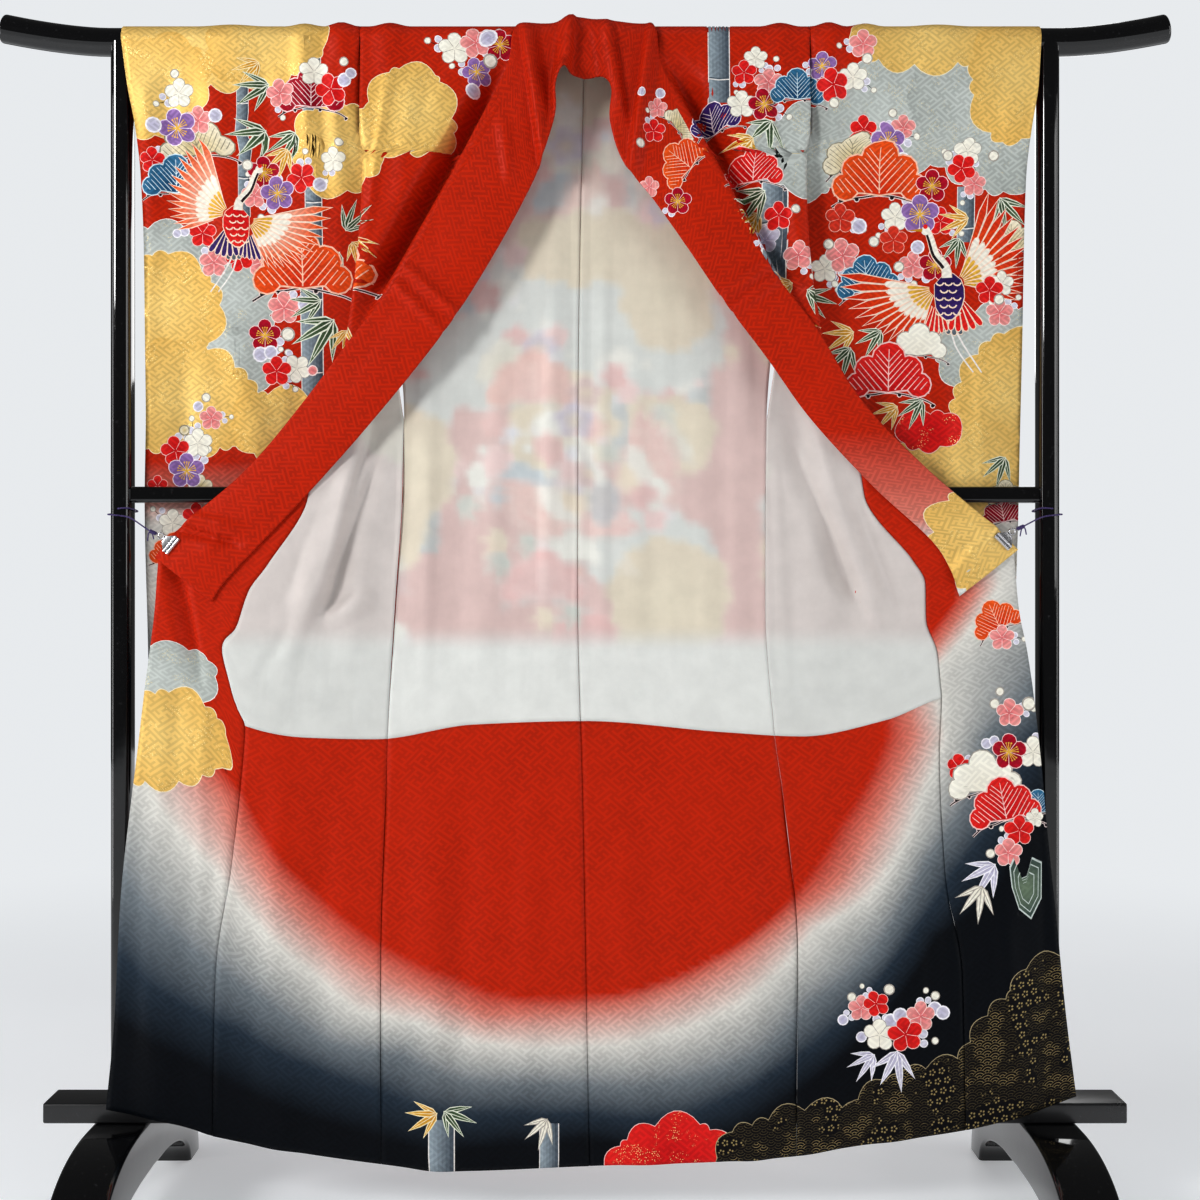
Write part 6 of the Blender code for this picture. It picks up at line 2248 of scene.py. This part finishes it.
def add_body(side, word, spacing, weave, shine, see_through):
    """One body panel from front hem to back hem, and its four linings."""
    strip = body_strip(side)
    normals = strip.normals(side)
    outer = strip.moved(normals * CLOTH / 2)
    patches = front_design(outer, normals) + back_design(outer, normals)
    outer.points[strip.row_at(BAR_HEIGHT + math.pi * DRAPE_RADIUS) + 1:, 0, 0] = 0.0
    turned_out = ease((TURN_START - strip.v) / (TURN_START - TURN_END))[:, None, None]
    shell = PRINTED_SHELL - (PRINTED_SHELL - TURNED_SHELL) * turned_out
    back = outer.moved(-normals * CLOTH * shell)
    mesh = dyed_mesh("body_" + word, outer, spacing, bowl_ground, patches, OVER_BAR, back)
    soft = SoftPrint(mesh)
    body = "dyed_body_" + word
    finish = silk("printed silk", weave, shine)
    piece = shown(body, mesh, finish, "body_" + word, "printed_silk")
    cut(piece, strip, "draped", "stand_top_bar")
    near = -(CLOTH / 2 + GAP)
    inner = strip.moved(normals * (near - LINING))
    seam = strip.row_at(LINING_LEVEL)
    turn_end = strip.row_at(LINING_TOP)
    top = strip.row_at(BAR_HEIGHT + math.pi * DRAPE_RADIUS)
    back_seam = strip.row_at(BAR_HEIGHT + math.pi * DRAPE_RADIUS + BAR_HEIGHT - LINING_LEVEL)
    stretches = (
        ("lining_lower_front_", 0, seam + 1),
        ("lining_upper_front_", seam, turn_end + 1),
        ("lining_upper_back_", top, back_seam + 1),
        ("lining_lower_back_", back_seam, len(strip.v)),
    )
    for title, first, last in stretches:
        sheet = inner.part(first, last)
        if "upper" in title:
            # The upper front lining's tone of 0.90 is painted shade from the collar and the turned
            # fold
            share, tone = LINING_SEE_THROUGH_AND_PAINTED_SHADE["back" in title]
            ground = white_ground(soft, see_through * share, tone)
            mesh = dyed_mesh(title + word, sheet, spacing * 0.75, ground)
            finish, slot = silk("white lining", 0.0, shine + 0.04, 1.2), "white_lining"
        else:
            drawn = Canvas(sheet).draw(LINING_STEMS, LINING_CLOUDS, LINING_MOTIFS)
            mesh = dyed_mesh(title + word, sheet, spacing, bowl_ground, drawn)
            finish, slot = silk("dyed lining", weave * 0.8, shine + 0.04), "dyed_lining"
        cut(lining_shown(title + word, mesh, finish, slot), sheet, "hung", body)


def lining_shown(title, mesh, finish, slot):
    """Shows a lining in place of its node, as a thin shell."""
    piece = shown("dyed_" + title, mesh, finish, title, slot)
    thickened(piece, -LINING * LINING_SHELL)
    return piece


def add_overlap(side, word, spacing, weave, shine):
    """One overlap and its lining."""
    strip = overlap_strip(side)
    normals = strip.normals(-side)
    outer = strip.moved(normals * CLOTH / 2)
    mesh = dyed_mesh("overlap_" + word, outer, spacing * 1.25, bowl_ground)
    finish = silk("printed silk", weave, shine)
    piece = shown("dyed_overlap_" + word, mesh, finish, "overlap_" + word, "printed_silk")
    thickened(piece, CLOTH * PRINTED_SHELL)
    cut(piece, strip, "hung", "dyed_body_" + word)
    inner = strip.moved(-normals * (CLOTH / 2 + GAP + LINING))
    drawn = Canvas(inner).draw(LINING_STEMS, LINING_CLOUDS, LINING_MOTIFS)
    name = "lining_overlap_" + word
    mesh = dyed_mesh(name, inner, spacing, bowl_ground, drawn)
    finish = silk("dyed lining", weave * 0.8, shine + 0.04)
    piece = lining_shown(name, mesh, finish, "dyed_lining")
    cut(piece, inner, "hung", "dyed_overlap_" + word)


def add_sleeve(side, word, spacing, weave, shine):
    """One sleeve."""
    strip = sleeve_strip(side)
    normals = strip.normals(side)
    outer = strip.moved(normals * CLOTH / 2)
    patches = front_design(outer, normals) + back_design(outer, normals)
    back = outer.moved(-normals * CLOTH * PRINTED_SHELL)
    mesh = dyed_mesh("sleeve_" + word, outer, spacing, sleeve_ground, patches, OVER_BAR, back)
    finish = silk("printed silk", weave, shine)
    piece = shown("dyed_sleeve_" + word, mesh, finish, "sleeve_" + word, "printed_silk")
    cut(piece, strip, "draped", "stand_top_bar")


def add_collar(spacing, weave, shine):
    """The collar, in one length."""
    strip = collar_strip()
    normals = strip.normals(1)
    outer = strip.moved(normals * COLLAR_CLOTH / 2)
    drawn = Canvas(outer).draw((), COLLAR_CLOUDS, COLLAR_MOTIFS)
    back = outer.moved(-normals * COLLAR_CLOTH * COLLAR_SHELL)
    mesh = dyed_mesh("collar", outer, spacing * 0.6, collar_ground, drawn, back=back)
    finish = silk("collar silk", weave, shine + 0.02)
    piece = shown("dyed_collar", mesh, finish, "collar", "collar_silk")
    cut(piece, strip, "draped", "dyed_body_left", "dyed_body_right")


def mesh_of(name, *parts):
    """One smooth mesh of several closed lofts, given as (rings, capped)."""
    points, faces = [], []
    for rings, capped in parts:
        rings = np.asarray(rings)
        count, size = rings.shape[:2]
        base = len(points)
        points += rings.reshape(-1, 3).tolist()
        for i in range(count if not capped else count - 1):
            here, there = base + i * size, base + (i + 1) % count * size
            for j in range(size):
                after = (j + 1) % size
                faces.append((here + j, here + after, there + after, there + j))
        if capped:
            faces.append(tuple(range(base + size - 1, base - 1, -1)))
            faces.append(tuple(range(base + (count - 1) * size, base + count * size)))
    mesh = bpy.data.meshes.new(name)
    mesh.from_pydata(points, [], faces)
    sides = bmesh.new()
    sides.from_mesh(mesh)
    bmesh.ops.recalc_face_normals(sides, faces=sides.faces)
    sides.to_mesh(mesh)
    sides.free()
    mesh.shade_smooth()
    mesh.set_sharp_from_angle(angle=math.radians(40))
    return mesh


def rounded(width, depth, corner, steps=6):
    """A rectangle with round corners, round its own middle."""
    outline = []
    for k, (x, y) in enumerate(((1, 1), (-1, 1), (-1, -1), (1, -1))):
        turns = np.radians(np.linspace(90 * k, 90 * k + 90, steps + 1))
        across = x * (width / 2 - corner) + corner * np.cos(turns)
        outline += list(zip(across, y * (depth / 2 - corner) + corner * np.sin(turns)))
    return outline


def oval(width, depth, power, count=64):
    """A soft rectangle that bulges on every side."""
    turns = np.linspace(0, 2 * math.pi, count, endpoint=False)
    x, y = np.cos(turns), np.sin(turns)
    soft = (np.abs(x) ** power + np.abs(y) ** power) ** (-1 / power)
    return list(zip(width / 2 * x * soft, depth / 2 * y * soft))


def uprights(path):
    """Two directions across a path at each point, turned as little as can be from the last."""
    up = np.array((0.0, 0.3, 1.0))
    for place, direction in zip(path, directions(path)):
        up = up - direction * (up @ direction)
        up /= np.linalg.norm(up)
        yield place, up, np.cross(direction, up)


def tube(path, radius, sides=10):
    """Rings round a path."""
    turns = np.linspace(0, 2 * math.pi, sides, endpoint=False)[:, None]
    rings = []
    for place, up, across in uprights(np.asarray(path)):
        rings.append(place + radius * (np.cos(turns) * up + np.sin(turns) * across))
    return rings


def arch_curve(half, flat, height, power, share):
    """A point of a flat-topped arch: share -1 and 1 are its feet on the floor, 0 its crown."""
    turn = share * math.pi / 2
    place = math.copysign(abs(math.sin(turn)) ** (2 / power), share) if share else 0.0
    rise = math.sqrt(max(1 - abs(place) ** power, 0.0))
    return math.copysign(flat, place) + place * (half - flat) if place else 0.0, height * rise


def wood(title, rings, finish):
    """Shows a part of the stand in place of its node."""
    mesh = mesh_of("stand_" + title, (rings, True))
    return shown("lacquered_" + title, mesh, finish, "stand_" + title, "black_lacquer")


def softened(piece, width, segments=3):
    """Rounds a piece's sharp edges."""
    edge = piece.modifiers.new("edge", "BEVEL")
    edge.width = width
    edge.segments = segments
    edge.limit_method = "ANGLE"
    edge.angle_limit = math.radians(40)
    return piece


def add_bars(gloss):
    """The top bar, the middle rail and the floor beam."""
    black = lacquer("black lacquer", gloss)
    rings = []
    for x in np.linspace(-BAR_HALF, BAR_HALF, 121):
        bend = max(abs(x) - BAR_BEND_START, 0.0) / (BAR_HALF - BAR_BEND_START)
        centre = BAR_HEIGHT + BAR_END_RISE * bend ** 1.6
        tilt = math.copysign(1.6 * BAR_END_RISE / (BAR_HALF - BAR_BEND_START) * bend ** 0.6, x)
        turns = np.linspace(0, 2 * math.pi, 48, endpoint=False)
        across, up = BAR_RADIUS * np.cos(turns), BAR_RADIUS * np.sin(turns)
        rings.append(np.stack((x - up * tilt, across, centre + up), axis=1))
    softened(wood("top_bar", rings, black), 0.0035, 4)
    reach = POST_INSIDE + POST_WIDTH / 2
    outline = rounded(RAIL_SIZE, RAIL_SIZE, 0.005)
    rings = [[(x, y, RAIL_HEIGHT + z) for y, z in outline] for x in (-reach, reach)]
    wood("middle_rail", rings, black)
    centre = (BEAM_TOP + BEAM_BOTTOM) / 2
    outline = rounded(BEAM_DEPTH, BEAM_TOP - BEAM_BOTTOM, 0.0035, 4)
    rings = [[(x, y, centre + z) for y, z in outline] for x in (-BEAM_HALF, BEAM_HALF)]
    satin = lacquer("satin lacquer", 0.34, (0.010, 0.010, 0.011))
    softened(wood("floor_beam", rings, satin), 0.002)


def add_post(side, word, gloss):
    """One upright post."""
    middle = side * (POST_INSIDE + POST_WIDTH / 2)
    outline = oval(POST_WIDTH, POST_DEPTH, POST_SOFTNESS)
    heights = (BEAM_TOP, BAR_HEIGHT)
    rings = [[(middle + x, y, height) for x, y in outline] for height in heights]
    wood("post_" + word, rings, lacquer("black lacquer", gloss))


def add_foot(side, word, gloss):
    """One arched foot."""
    crown = BEAM_BOTTOM - GAP
    middle = side * (FOOT_INSIDE + FOOT_WIDTH / 2)
    rings = []
    for share in np.linspace(-1.0, 1.0, 81):
        outer = np.array(arch_curve(FOOT_HALF, FOOT_FLAT_HALF, crown, 2.4, share))
        inner = np.array(arch_curve(FOOT_ARCH_HALF, 0.0, FOOT_ARCH_HEIGHT, 2.6, share))
        across = (outer - inner) / np.linalg.norm(outer - inner)
        thick = np.linalg.norm(outer - inner)
        ring = []
        for x, rise in rounded(FOOT_WIDTH, thick, 0.007):
            place = (outer + inner) / 2 + across * rise
            ring.append((middle + x, place[0], max(place[1], 0.0)))
        rings.append(ring)
    wood("foot_" + word, rings, lacquer("black lacquer", gloss))


def clip_frame(side):
    """The clip's bite point on the collar's sewn edge, its way in and its way across."""
    table = COLLAR_LEFT if side < 0 else COLLAR_RIGHT
    level_down = BAR_HEIGHT + math.pi * COLLAR_RADIUS / 2
    before, last = [np.array((side * row[0], 0.0, level_down - row[1])) for row in table[-2:]]
    across = (last - before) / np.linalg.norm(last - before)
    way_in = np.array((side * across[2], 0.0, -side * across[0]))
    return before + (last - before) * CLIP_PLACE, way_in, across


def ring_place(side):
    """The middle of the clip's ring."""
    bite, way_in, _ = clip_frame(side)
    middle = bite - way_in * (-CLIP_END + CLIP_PLATE + GAP + RING_RADIUS + RING_WIRE)
    return middle + ((0.0, (CLIP_FRONT + CLIP_BACK) / 2, 0.0))


def add_clip(side, word):
    """A bent steel plate that narrows to its end, two bars over its jaw, and a ring."""
    bite, way_in, across = clip_frame(side)
    front, back = CLIP_FRONT - CLIP_PLATE / 2, CLIP_BACK + CLIP_PLATE / 2
    middle, half = (front + back) / 2, (back - front) / 2
    bend_start = CLIP_END - CLIP_PLATE / 2 + half * 0.4
    way = [(CLIP_REACH, front), (0.003, front), (bend_start, front)]
    for turn in np.radians(np.linspace(-75, 75, 7)):
        way.append((bend_start - half * 0.4 * math.cos(turn), middle + half * math.sin(turn)))
    way += [(bend_start, back), (0.003, back), (CLIP_REACH, back)]
    rings = []
    for along, depth in way:
        wide = CLIP_WIDTH / 2
        if along <= 0.002:
            wide = np.interp(along, (CLIP_END, 0.003), (CLIP_TAPER, CLIP_WIDTH / 2))
        point = bite + way_in * along + (0.0, depth, 0.0)
        thick = np.array((0.0, CLIP_PLATE / 2, 0.0))
        if abs(along - CLIP_END) < abs(half * 0.4):
            thick = way_in * (CLIP_PLATE / 2) * (1 if abs(depth - middle) < half / 2 else 0.7)
        rings.append([point - across * wide - thick, point + across * wide - thick,
                      point + across * wide + thick, point - across * wide + thick])
    parts = [(rings, True)]
    for along in CLIP_BARS:
        point = bite + way_in * along + (0.0, CLIP_FRONT - CLIP_PLATE - 0.0008, 0.0)
        ends = [point + across * shift for shift in np.linspace(-CLIP_WIDTH / 2, CLIP_WIDTH / 2, 5)]
        parts.append((tube(ends, 0.0017, 16), True))
    mesh = mesh_of("clip_" + word, *parts)
    piece = shown("steel_clip_" + word, mesh, steel(), "clip_" + word, "clip_steel")
    softened(piece, 0.0003, 2)
    turns = np.linspace(0, 2 * math.pi, 14, endpoint=False)[:, None]
    rings = []
    for angle in np.radians(np.arange(0, 360, 9)):
        out = np.array((math.cos(angle), 0.0, math.sin(angle)))
        ring = np.cos(turns) * out + np.sin(turns) * np.array((0.0, 1.0, 0.0))
        rings.append(ring_place(side) + RING_RADIUS * out + RING_THICK * ring)
    name = "clip_ring_" + word
    shown("steel_ring_" + word, mesh_of(name, (rings, False)), steel(), name, "clip_steel")


def tie_route(side):
    """The cord's way from the clip's ring, once round the post under the middle rail."""
    clear = TIE_RADIUS + GAP
    inner, outer = POST_INSIDE - clear, POST_INSIDE + POST_WIDTH + clear
    face = POST_DEPTH / 2 + clear
    ring = ring_place(side)
    start = abs(ring[0]) + (RING_RADIUS + RING_WIRE + clear) * 0.9
    route = (
        (start, ring[1], ring[2] + 0.003),
        (start + 0.012, ring[1] + 0.003, ring[2] + 0.008),
        (inner - 0.004, -face - 0.004, 1.006),
        (inner + 0.008, -face - 0.0006, 1.010),
        (outer - 0.008, -face - 0.0006, 1.012),
        (outer + 0.0006, -face + 0.006, 1.013),
        (outer + 0.0006, face - 0.006, 1.015),
        (outer - 0.008, face + 0.0006, 1.016),
        (inner + 0.008, face + 0.0006, 1.018),
        (inner - 0.0006, face - 0.006, 1.019),
        (inner - 0.0006, -face + 0.006, 1.021),
        (inner + 0.007, -face - 0.0006, 1.022),
        (inner + 0.019, -face - 0.0006, 1.021),
    )
    return bend(route, 24) * (side, 1, 1)


def coiled(path, radius, pitch, start=0.0):
    """A path that winds round another one."""
    path = np.asarray(path)
    wound = []
    for (place, up, across), length in zip(uprights(path), lengths_of(path)):
        turn = 2 * math.pi * length / pitch + start
        wound.append(place + radius * (math.cos(turn) * up + math.sin(turn) * across))
    return wound


def evenly(path, step):
    """The points of a path that lie a step apart."""
    path = np.asarray(path)
    lengths = lengths_of(path)
    wanted = np.arange(0.0, lengths[-1], step)
    return np.stack([np.interp(wanted, lengths, path[:, k]) for k in range(3)], axis=1)


def add_tie(side, word):
    """Two plies twisted round each other, with a wound knot and two short tails at the ring."""
    route = evenly(tie_route(side), 0.0007)
    ply = TIE_RADIUS * 0.62
    parts = []
    for start in (0.0, math.pi):
        parts.append((tube(coiled(route, TIE_RADIUS - ply, 0.005, start), ply, 8), True))
    knot = route[3:19]
    parts.append((tube(coiled(evenly(knot, 0.00025), 0.0021, 0.0019), 0.0010, 8), True))
    for spread, drop in ((0.005, -0.012), (-0.004, -0.014)):
        start = route[16]
        middle = start + (spread * 0.6, -0.0015, drop * 0.3)
        tail = bend((start, middle, start + (spread, 0.0, drop)), 8)
        parts.append((tube(evenly(tail, 0.0006), 0.0009, 8), True))
    name = "tie_" + word
    shown("purple_tie_" + word, mesh_of(name, *parts), cord(), name, "purple_cord")


BACKDROP = (0.83, 0.85, 0.87)
SKY = (0.90, 0.94, 1.0)
SKY_LIGHT = 0.24
SKY_IN_GLOSS = 0.11
# The camera stands this far off and this high, and sees this width at the stand
CAMERA_FAR = 2.40
CAMERA_HEIGHT = 0.904
SEEN_WIDTH = 1.74
SENSOR = 36.0
VIEW_SHIFT = (0.0125, -0.0083)
GAMMA = 0.86
# Columns: name, place, width, height, power
LIGHTS = (
    ("key", (-3.1, -3.2, 2.5), 1.0, 1.0, 113.0),
    ("fill", (3.0, -2.6, 1.7), 1.6, 1.6, 27.0),
    ("top", (0.2, -1.2, 4.2), 2.0, 0.8, 9.0),
    ("back", (0.8, 3.4, 2.6), 2.0, 2.0, 34.0),
    ("left_strip", (-3.0, -0.9, 1.1), 0.35, 2.4, 24.0),
    ("right_strip", (3.0, -0.9, 1.1), 0.35, 2.4, 18.0),
)


def pale_floor():
    """A pale floor that fades into the backdrop, so that no edge shows."""
    look = Look("pale floor")
    place = look.node("TexCoord", output=3)
    x, y, _ = look.split(place)
    far = look.length(x, y)
    cloudy = look.noise(place, 1.6, 3.0)
    look.finish(
        Base_Color=look.blend(cloudy, (0.80, 0.81, 0.82), (0.86, 0.87, 0.88)),
        Emission_Color=BACKDROP,
        Emission_Strength=0.34,
        Roughness=look.mix(cloudy, 0.38, 0.55),
        Specular_IOR_Level=0.25,
    )
    air = look.nodes.new("ShaderNodeEmission")
    air.inputs["Color"].default_value = (*BACKDROP, 1.0)
    both = look.nodes.new("ShaderNodeMixShader")
    look.feed(both.inputs[0], look.smooth(far, 0.9, 3.4))
    look.made.node_tree.links.new(look.shader.outputs[0], both.inputs[1])
    look.made.node_tree.links.new(air.outputs[0], both.inputs[2])
    look.made.node_tree.links.new(both.outputs[0], look.nodes["Material Output"].inputs[0])
    return look.made


def add_lamps(light):
    """The lamps, all aimed at the middle of the cloth."""
    for name, place, width, height, power in LIGHTS:
        area = bpy.data.lights.new(name, "AREA")
        area.shape = "RECTANGLE"
        area.size = width
        area.size_y = height
        area.energy = power * light
        lamp = bpy.data.objects.new(name, area)
        lamp.location = place
        aim = Vector((0.0, 0.0, 0.9)) - Vector(place)
        lamp.rotation_euler = aim.to_track_quat("-Z", "Y").to_euler()
        bpy.context.scene.collection.objects.link(lamp)


def add_camera():
    """The camera, level and facing the stand."""
    view = bpy.data.cameras.new("camera")
    camera = bpy.data.objects.new("camera", view)
    camera.location = (0.0, -CAMERA_FAR, CAMERA_HEIGHT)
    camera.rotation_euler = (math.radians(90), 0.0, 0.0)
    view.sensor_width = SENSOR
    view.lens = SENSOR * CAMERA_FAR / SEEN_WIDTH
    view.shift_x, view.shift_y = VIEW_SHIFT
    bpy.context.scene.collection.objects.link(camera)
    bpy.context.scene.camera = camera
    bpy.context.scene.view_settings.view_transform = "Standard"
    bpy.context.scene.view_settings.gamma = GAMMA


def add_stage(light):
    """The floor, the sky, the lamps and the camera."""
    bpy.ops.mesh.primitive_circle_add(vertices=96, radius=7.0, fill_type="NGON")
    floor = bpy.context.active_object
    floor.name = "floor"
    floor.data.materials.append(pale_floor())
    world = bpy.data.worlds.new("studio")
    world.use_nodes = True
    nodes, links = world.node_tree.nodes, world.node_tree.links
    sky = nodes["Background"]
    sky.inputs["Color"].default_value = (*SKY, 1.0)
    sky.inputs["Strength"].default_value = SKY_LIGHT * light
    dim_sky = nodes.new("ShaderNodeBackground")
    dim_sky.inputs["Strength"].default_value = SKY_IN_GLOSS
    seen_sky = nodes.new("ShaderNodeBackground")
    seen_sky.inputs["Color"].default_value = (*BACKDROP, 1.0)
    path = nodes.new("ShaderNodeLightPath")
    lighting = nodes.new("ShaderNodeMixShader")
    links.new(path.outputs["Is Glossy Ray"], lighting.inputs[0])
    links.new(sky.outputs[0], lighting.inputs[1])
    links.new(dim_sky.outputs[0], lighting.inputs[2])
    both = nodes.new("ShaderNodeMixShader")
    links.new(path.outputs["Is Camera Ray"], both.inputs[0])
    links.new(lighting.outputs[0], both.inputs[1])
    links.new(seen_sky.outputs[0], both.inputs[2])
    links.new(both.outputs[0], nodes["World Output"].inputs[0])
    bpy.context.scene.world = world
    add_lamps(light)
    add_camera()


class FurisodeCloth(bpy.types.PropertyGroup):
    """What a user would change in the cloth."""

    spacing: bpy.props.FloatProperty(
        name="Spacing",
        description="Distance between the points of the cloth",
        default=0.008,
        min=0.003,
        max=0.03,
        unit="LENGTH",
    )
    weave: bpy.props.FloatProperty(
        name="Weave",
        description="Strength of the fret that is woven into the silk",
        default=1.0,
        min=0.0,
        max=2.0,
    )
    roughness: bpy.props.FloatProperty(
        name="Roughness",
        description="Roughness of the silk between the lines of its fret",
        default=0.40,
        min=0.1,
        max=0.9,
        subtype="FACTOR",
    )
    see_through: bpy.props.FloatProperty(
        name="See-through",
        description="How much of the print shows through the white lining",
        default=0.31,
        min=0.0,
        max=1.0,
        subtype="FACTOR",
    )


class FurisodeStand(bpy.types.PropertyGroup):
    """What a user would change in the stand."""

    gloss: bpy.props.FloatProperty(
        name="Roughness",
        description="Roughness of the stand's lacquer",
        default=0.07,
        min=0.0,
        max=1.0,
        subtype="FACTOR",
    )


class FurisodeStudio(bpy.types.PropertyGroup):
    """What a user would change in the studio."""

    light: bpy.props.FloatProperty(
        name="Light",
        description="Power of all lamps and of the sky, as a share of the usual one",
        default=1.0,
        min=0.0,
        max=4.0,
    )


class FURISODE_OT_bodies(bpy.types.Operator):
    """Makes both body panels and their linings"""

    bl_idname = "furisode.bodies"
    bl_label = "Add the bodies"

    def execute(self, context):
        cloth = context.scene.furisode_cloth
        for side, word in SIDES:
            add_body(side, word, cloth.spacing, cloth.weave, cloth.roughness, cloth.see_through)
        return {"FINISHED"}


class FURISODE_OT_overlaps(bpy.types.Operator):
    """Makes both overlap panels and their linings"""

    bl_idname = "furisode.overlaps"
    bl_label = "Add the overlaps"

    def execute(self, context):
        cloth = context.scene.furisode_cloth
        for side, word in SIDES:
            add_overlap(side, word, cloth.spacing, cloth.weave, cloth.roughness)
        return {"FINISHED"}


class FURISODE_OT_sleeves(bpy.types.Operator):
    """Makes both sleeves"""

    bl_idname = "furisode.sleeves"
    bl_label = "Add the sleeves"

    def execute(self, context):
        cloth = context.scene.furisode_cloth
        for side, word in SIDES:
            add_sleeve(side, word, cloth.spacing, cloth.weave, cloth.roughness)
        return {"FINISHED"}


class FURISODE_OT_collar(bpy.types.Operator):
    """Makes the collar"""

    bl_idname = "furisode.collar"
    bl_label = "Add the collar"

    def execute(self, context):
        cloth = context.scene.furisode_cloth
        add_collar(cloth.spacing, cloth.weave, cloth.roughness)
        return {"FINISHED"}


class FURISODE_OT_stand(bpy.types.Operator):
    """Makes the lacquered stand"""

    bl_idname = "furisode.stand"
    bl_label = "Add the stand"

    def execute(self, context):
        gloss = context.scene.furisode_stand.gloss
        add_bars(gloss)
        for side, word in SIDES:
            add_post(side, word, gloss)
            add_foot(side, word, gloss)
        return {"FINISHED"}


class FURISODE_OT_clips(bpy.types.Operator):
    """Makes the clips with their rings and cords"""

    bl_idname = "furisode.clips"
    bl_label = "Add the clips"

    def execute(self, context):
        for side, word in SIDES:
            add_clip(side, word)
            add_tie(side, word)
        return {"FINISHED"}


class FURISODE_OT_studio(bpy.types.Operator):
    """Makes the floor, the lamps and the camera"""

    bl_idname = "furisode.studio"
    bl_label = "Add the studio"

    def execute(self, context):
        add_stage(context.scene.furisode_studio.light)
        return {"FINISHED"}


class FURISODE_PT_pieces(bpy.types.Panel):
    """Lists what the furisode is made of"""

    bl_label = "Furisode"
    bl_space_type = "VIEW_3D"
    bl_region_type = "UI"
    bl_category = "Furisode"

    def draw(self, context):
        for group in (name for name, _ in GROUPS):
            choices = getattr(context.scene, group)
            for name in choices.__annotations__:
                self.layout.prop(choices, name)
        for operator in OPERATORS:
            self.layout.operator(operator.bl_idname)


GROUPS = (
    ("furisode_cloth", FurisodeCloth),
    ("furisode_stand", FurisodeStand),
    ("furisode_studio", FurisodeStudio),
)
OPERATORS = (
    FURISODE_OT_bodies,
    FURISODE_OT_overlaps,
    FURISODE_OT_sleeves,
    FURISODE_OT_collar,
    FURISODE_OT_stand,
    FURISODE_OT_clips,
    FURISODE_OT_studio,
)


def register():
    for name, group in GROUPS:
        bpy.utils.register_class(group)
        setattr(bpy.types.Scene, name, bpy.props.PointerProperty(type=group))
    for operator in OPERATORS:
        bpy.utils.register_class(operator)
    bpy.utils.register_class(FURISODE_PT_pieces)


def unregister():
    bpy.utils.unregister_class(FURISODE_PT_pieces)
    for operator in reversed(OPERATORS):
        bpy.utils.unregister_class(operator)
    for name, group in reversed(GROUPS):
        delattr(bpy.types.Scene, name)
        bpy.utils.unregister_class(group)


def main():
    register()
    bpy.ops.furisode.bodies()
    bpy.ops.furisode.overlaps()
    bpy.ops.furisode.sleeves()
    bpy.ops.furisode.collar()
    bpy.ops.furisode.stand()
    bpy.ops.furisode.clips()
    bpy.ops.furisode.studio()


if __name__ == "__main__":
    main()
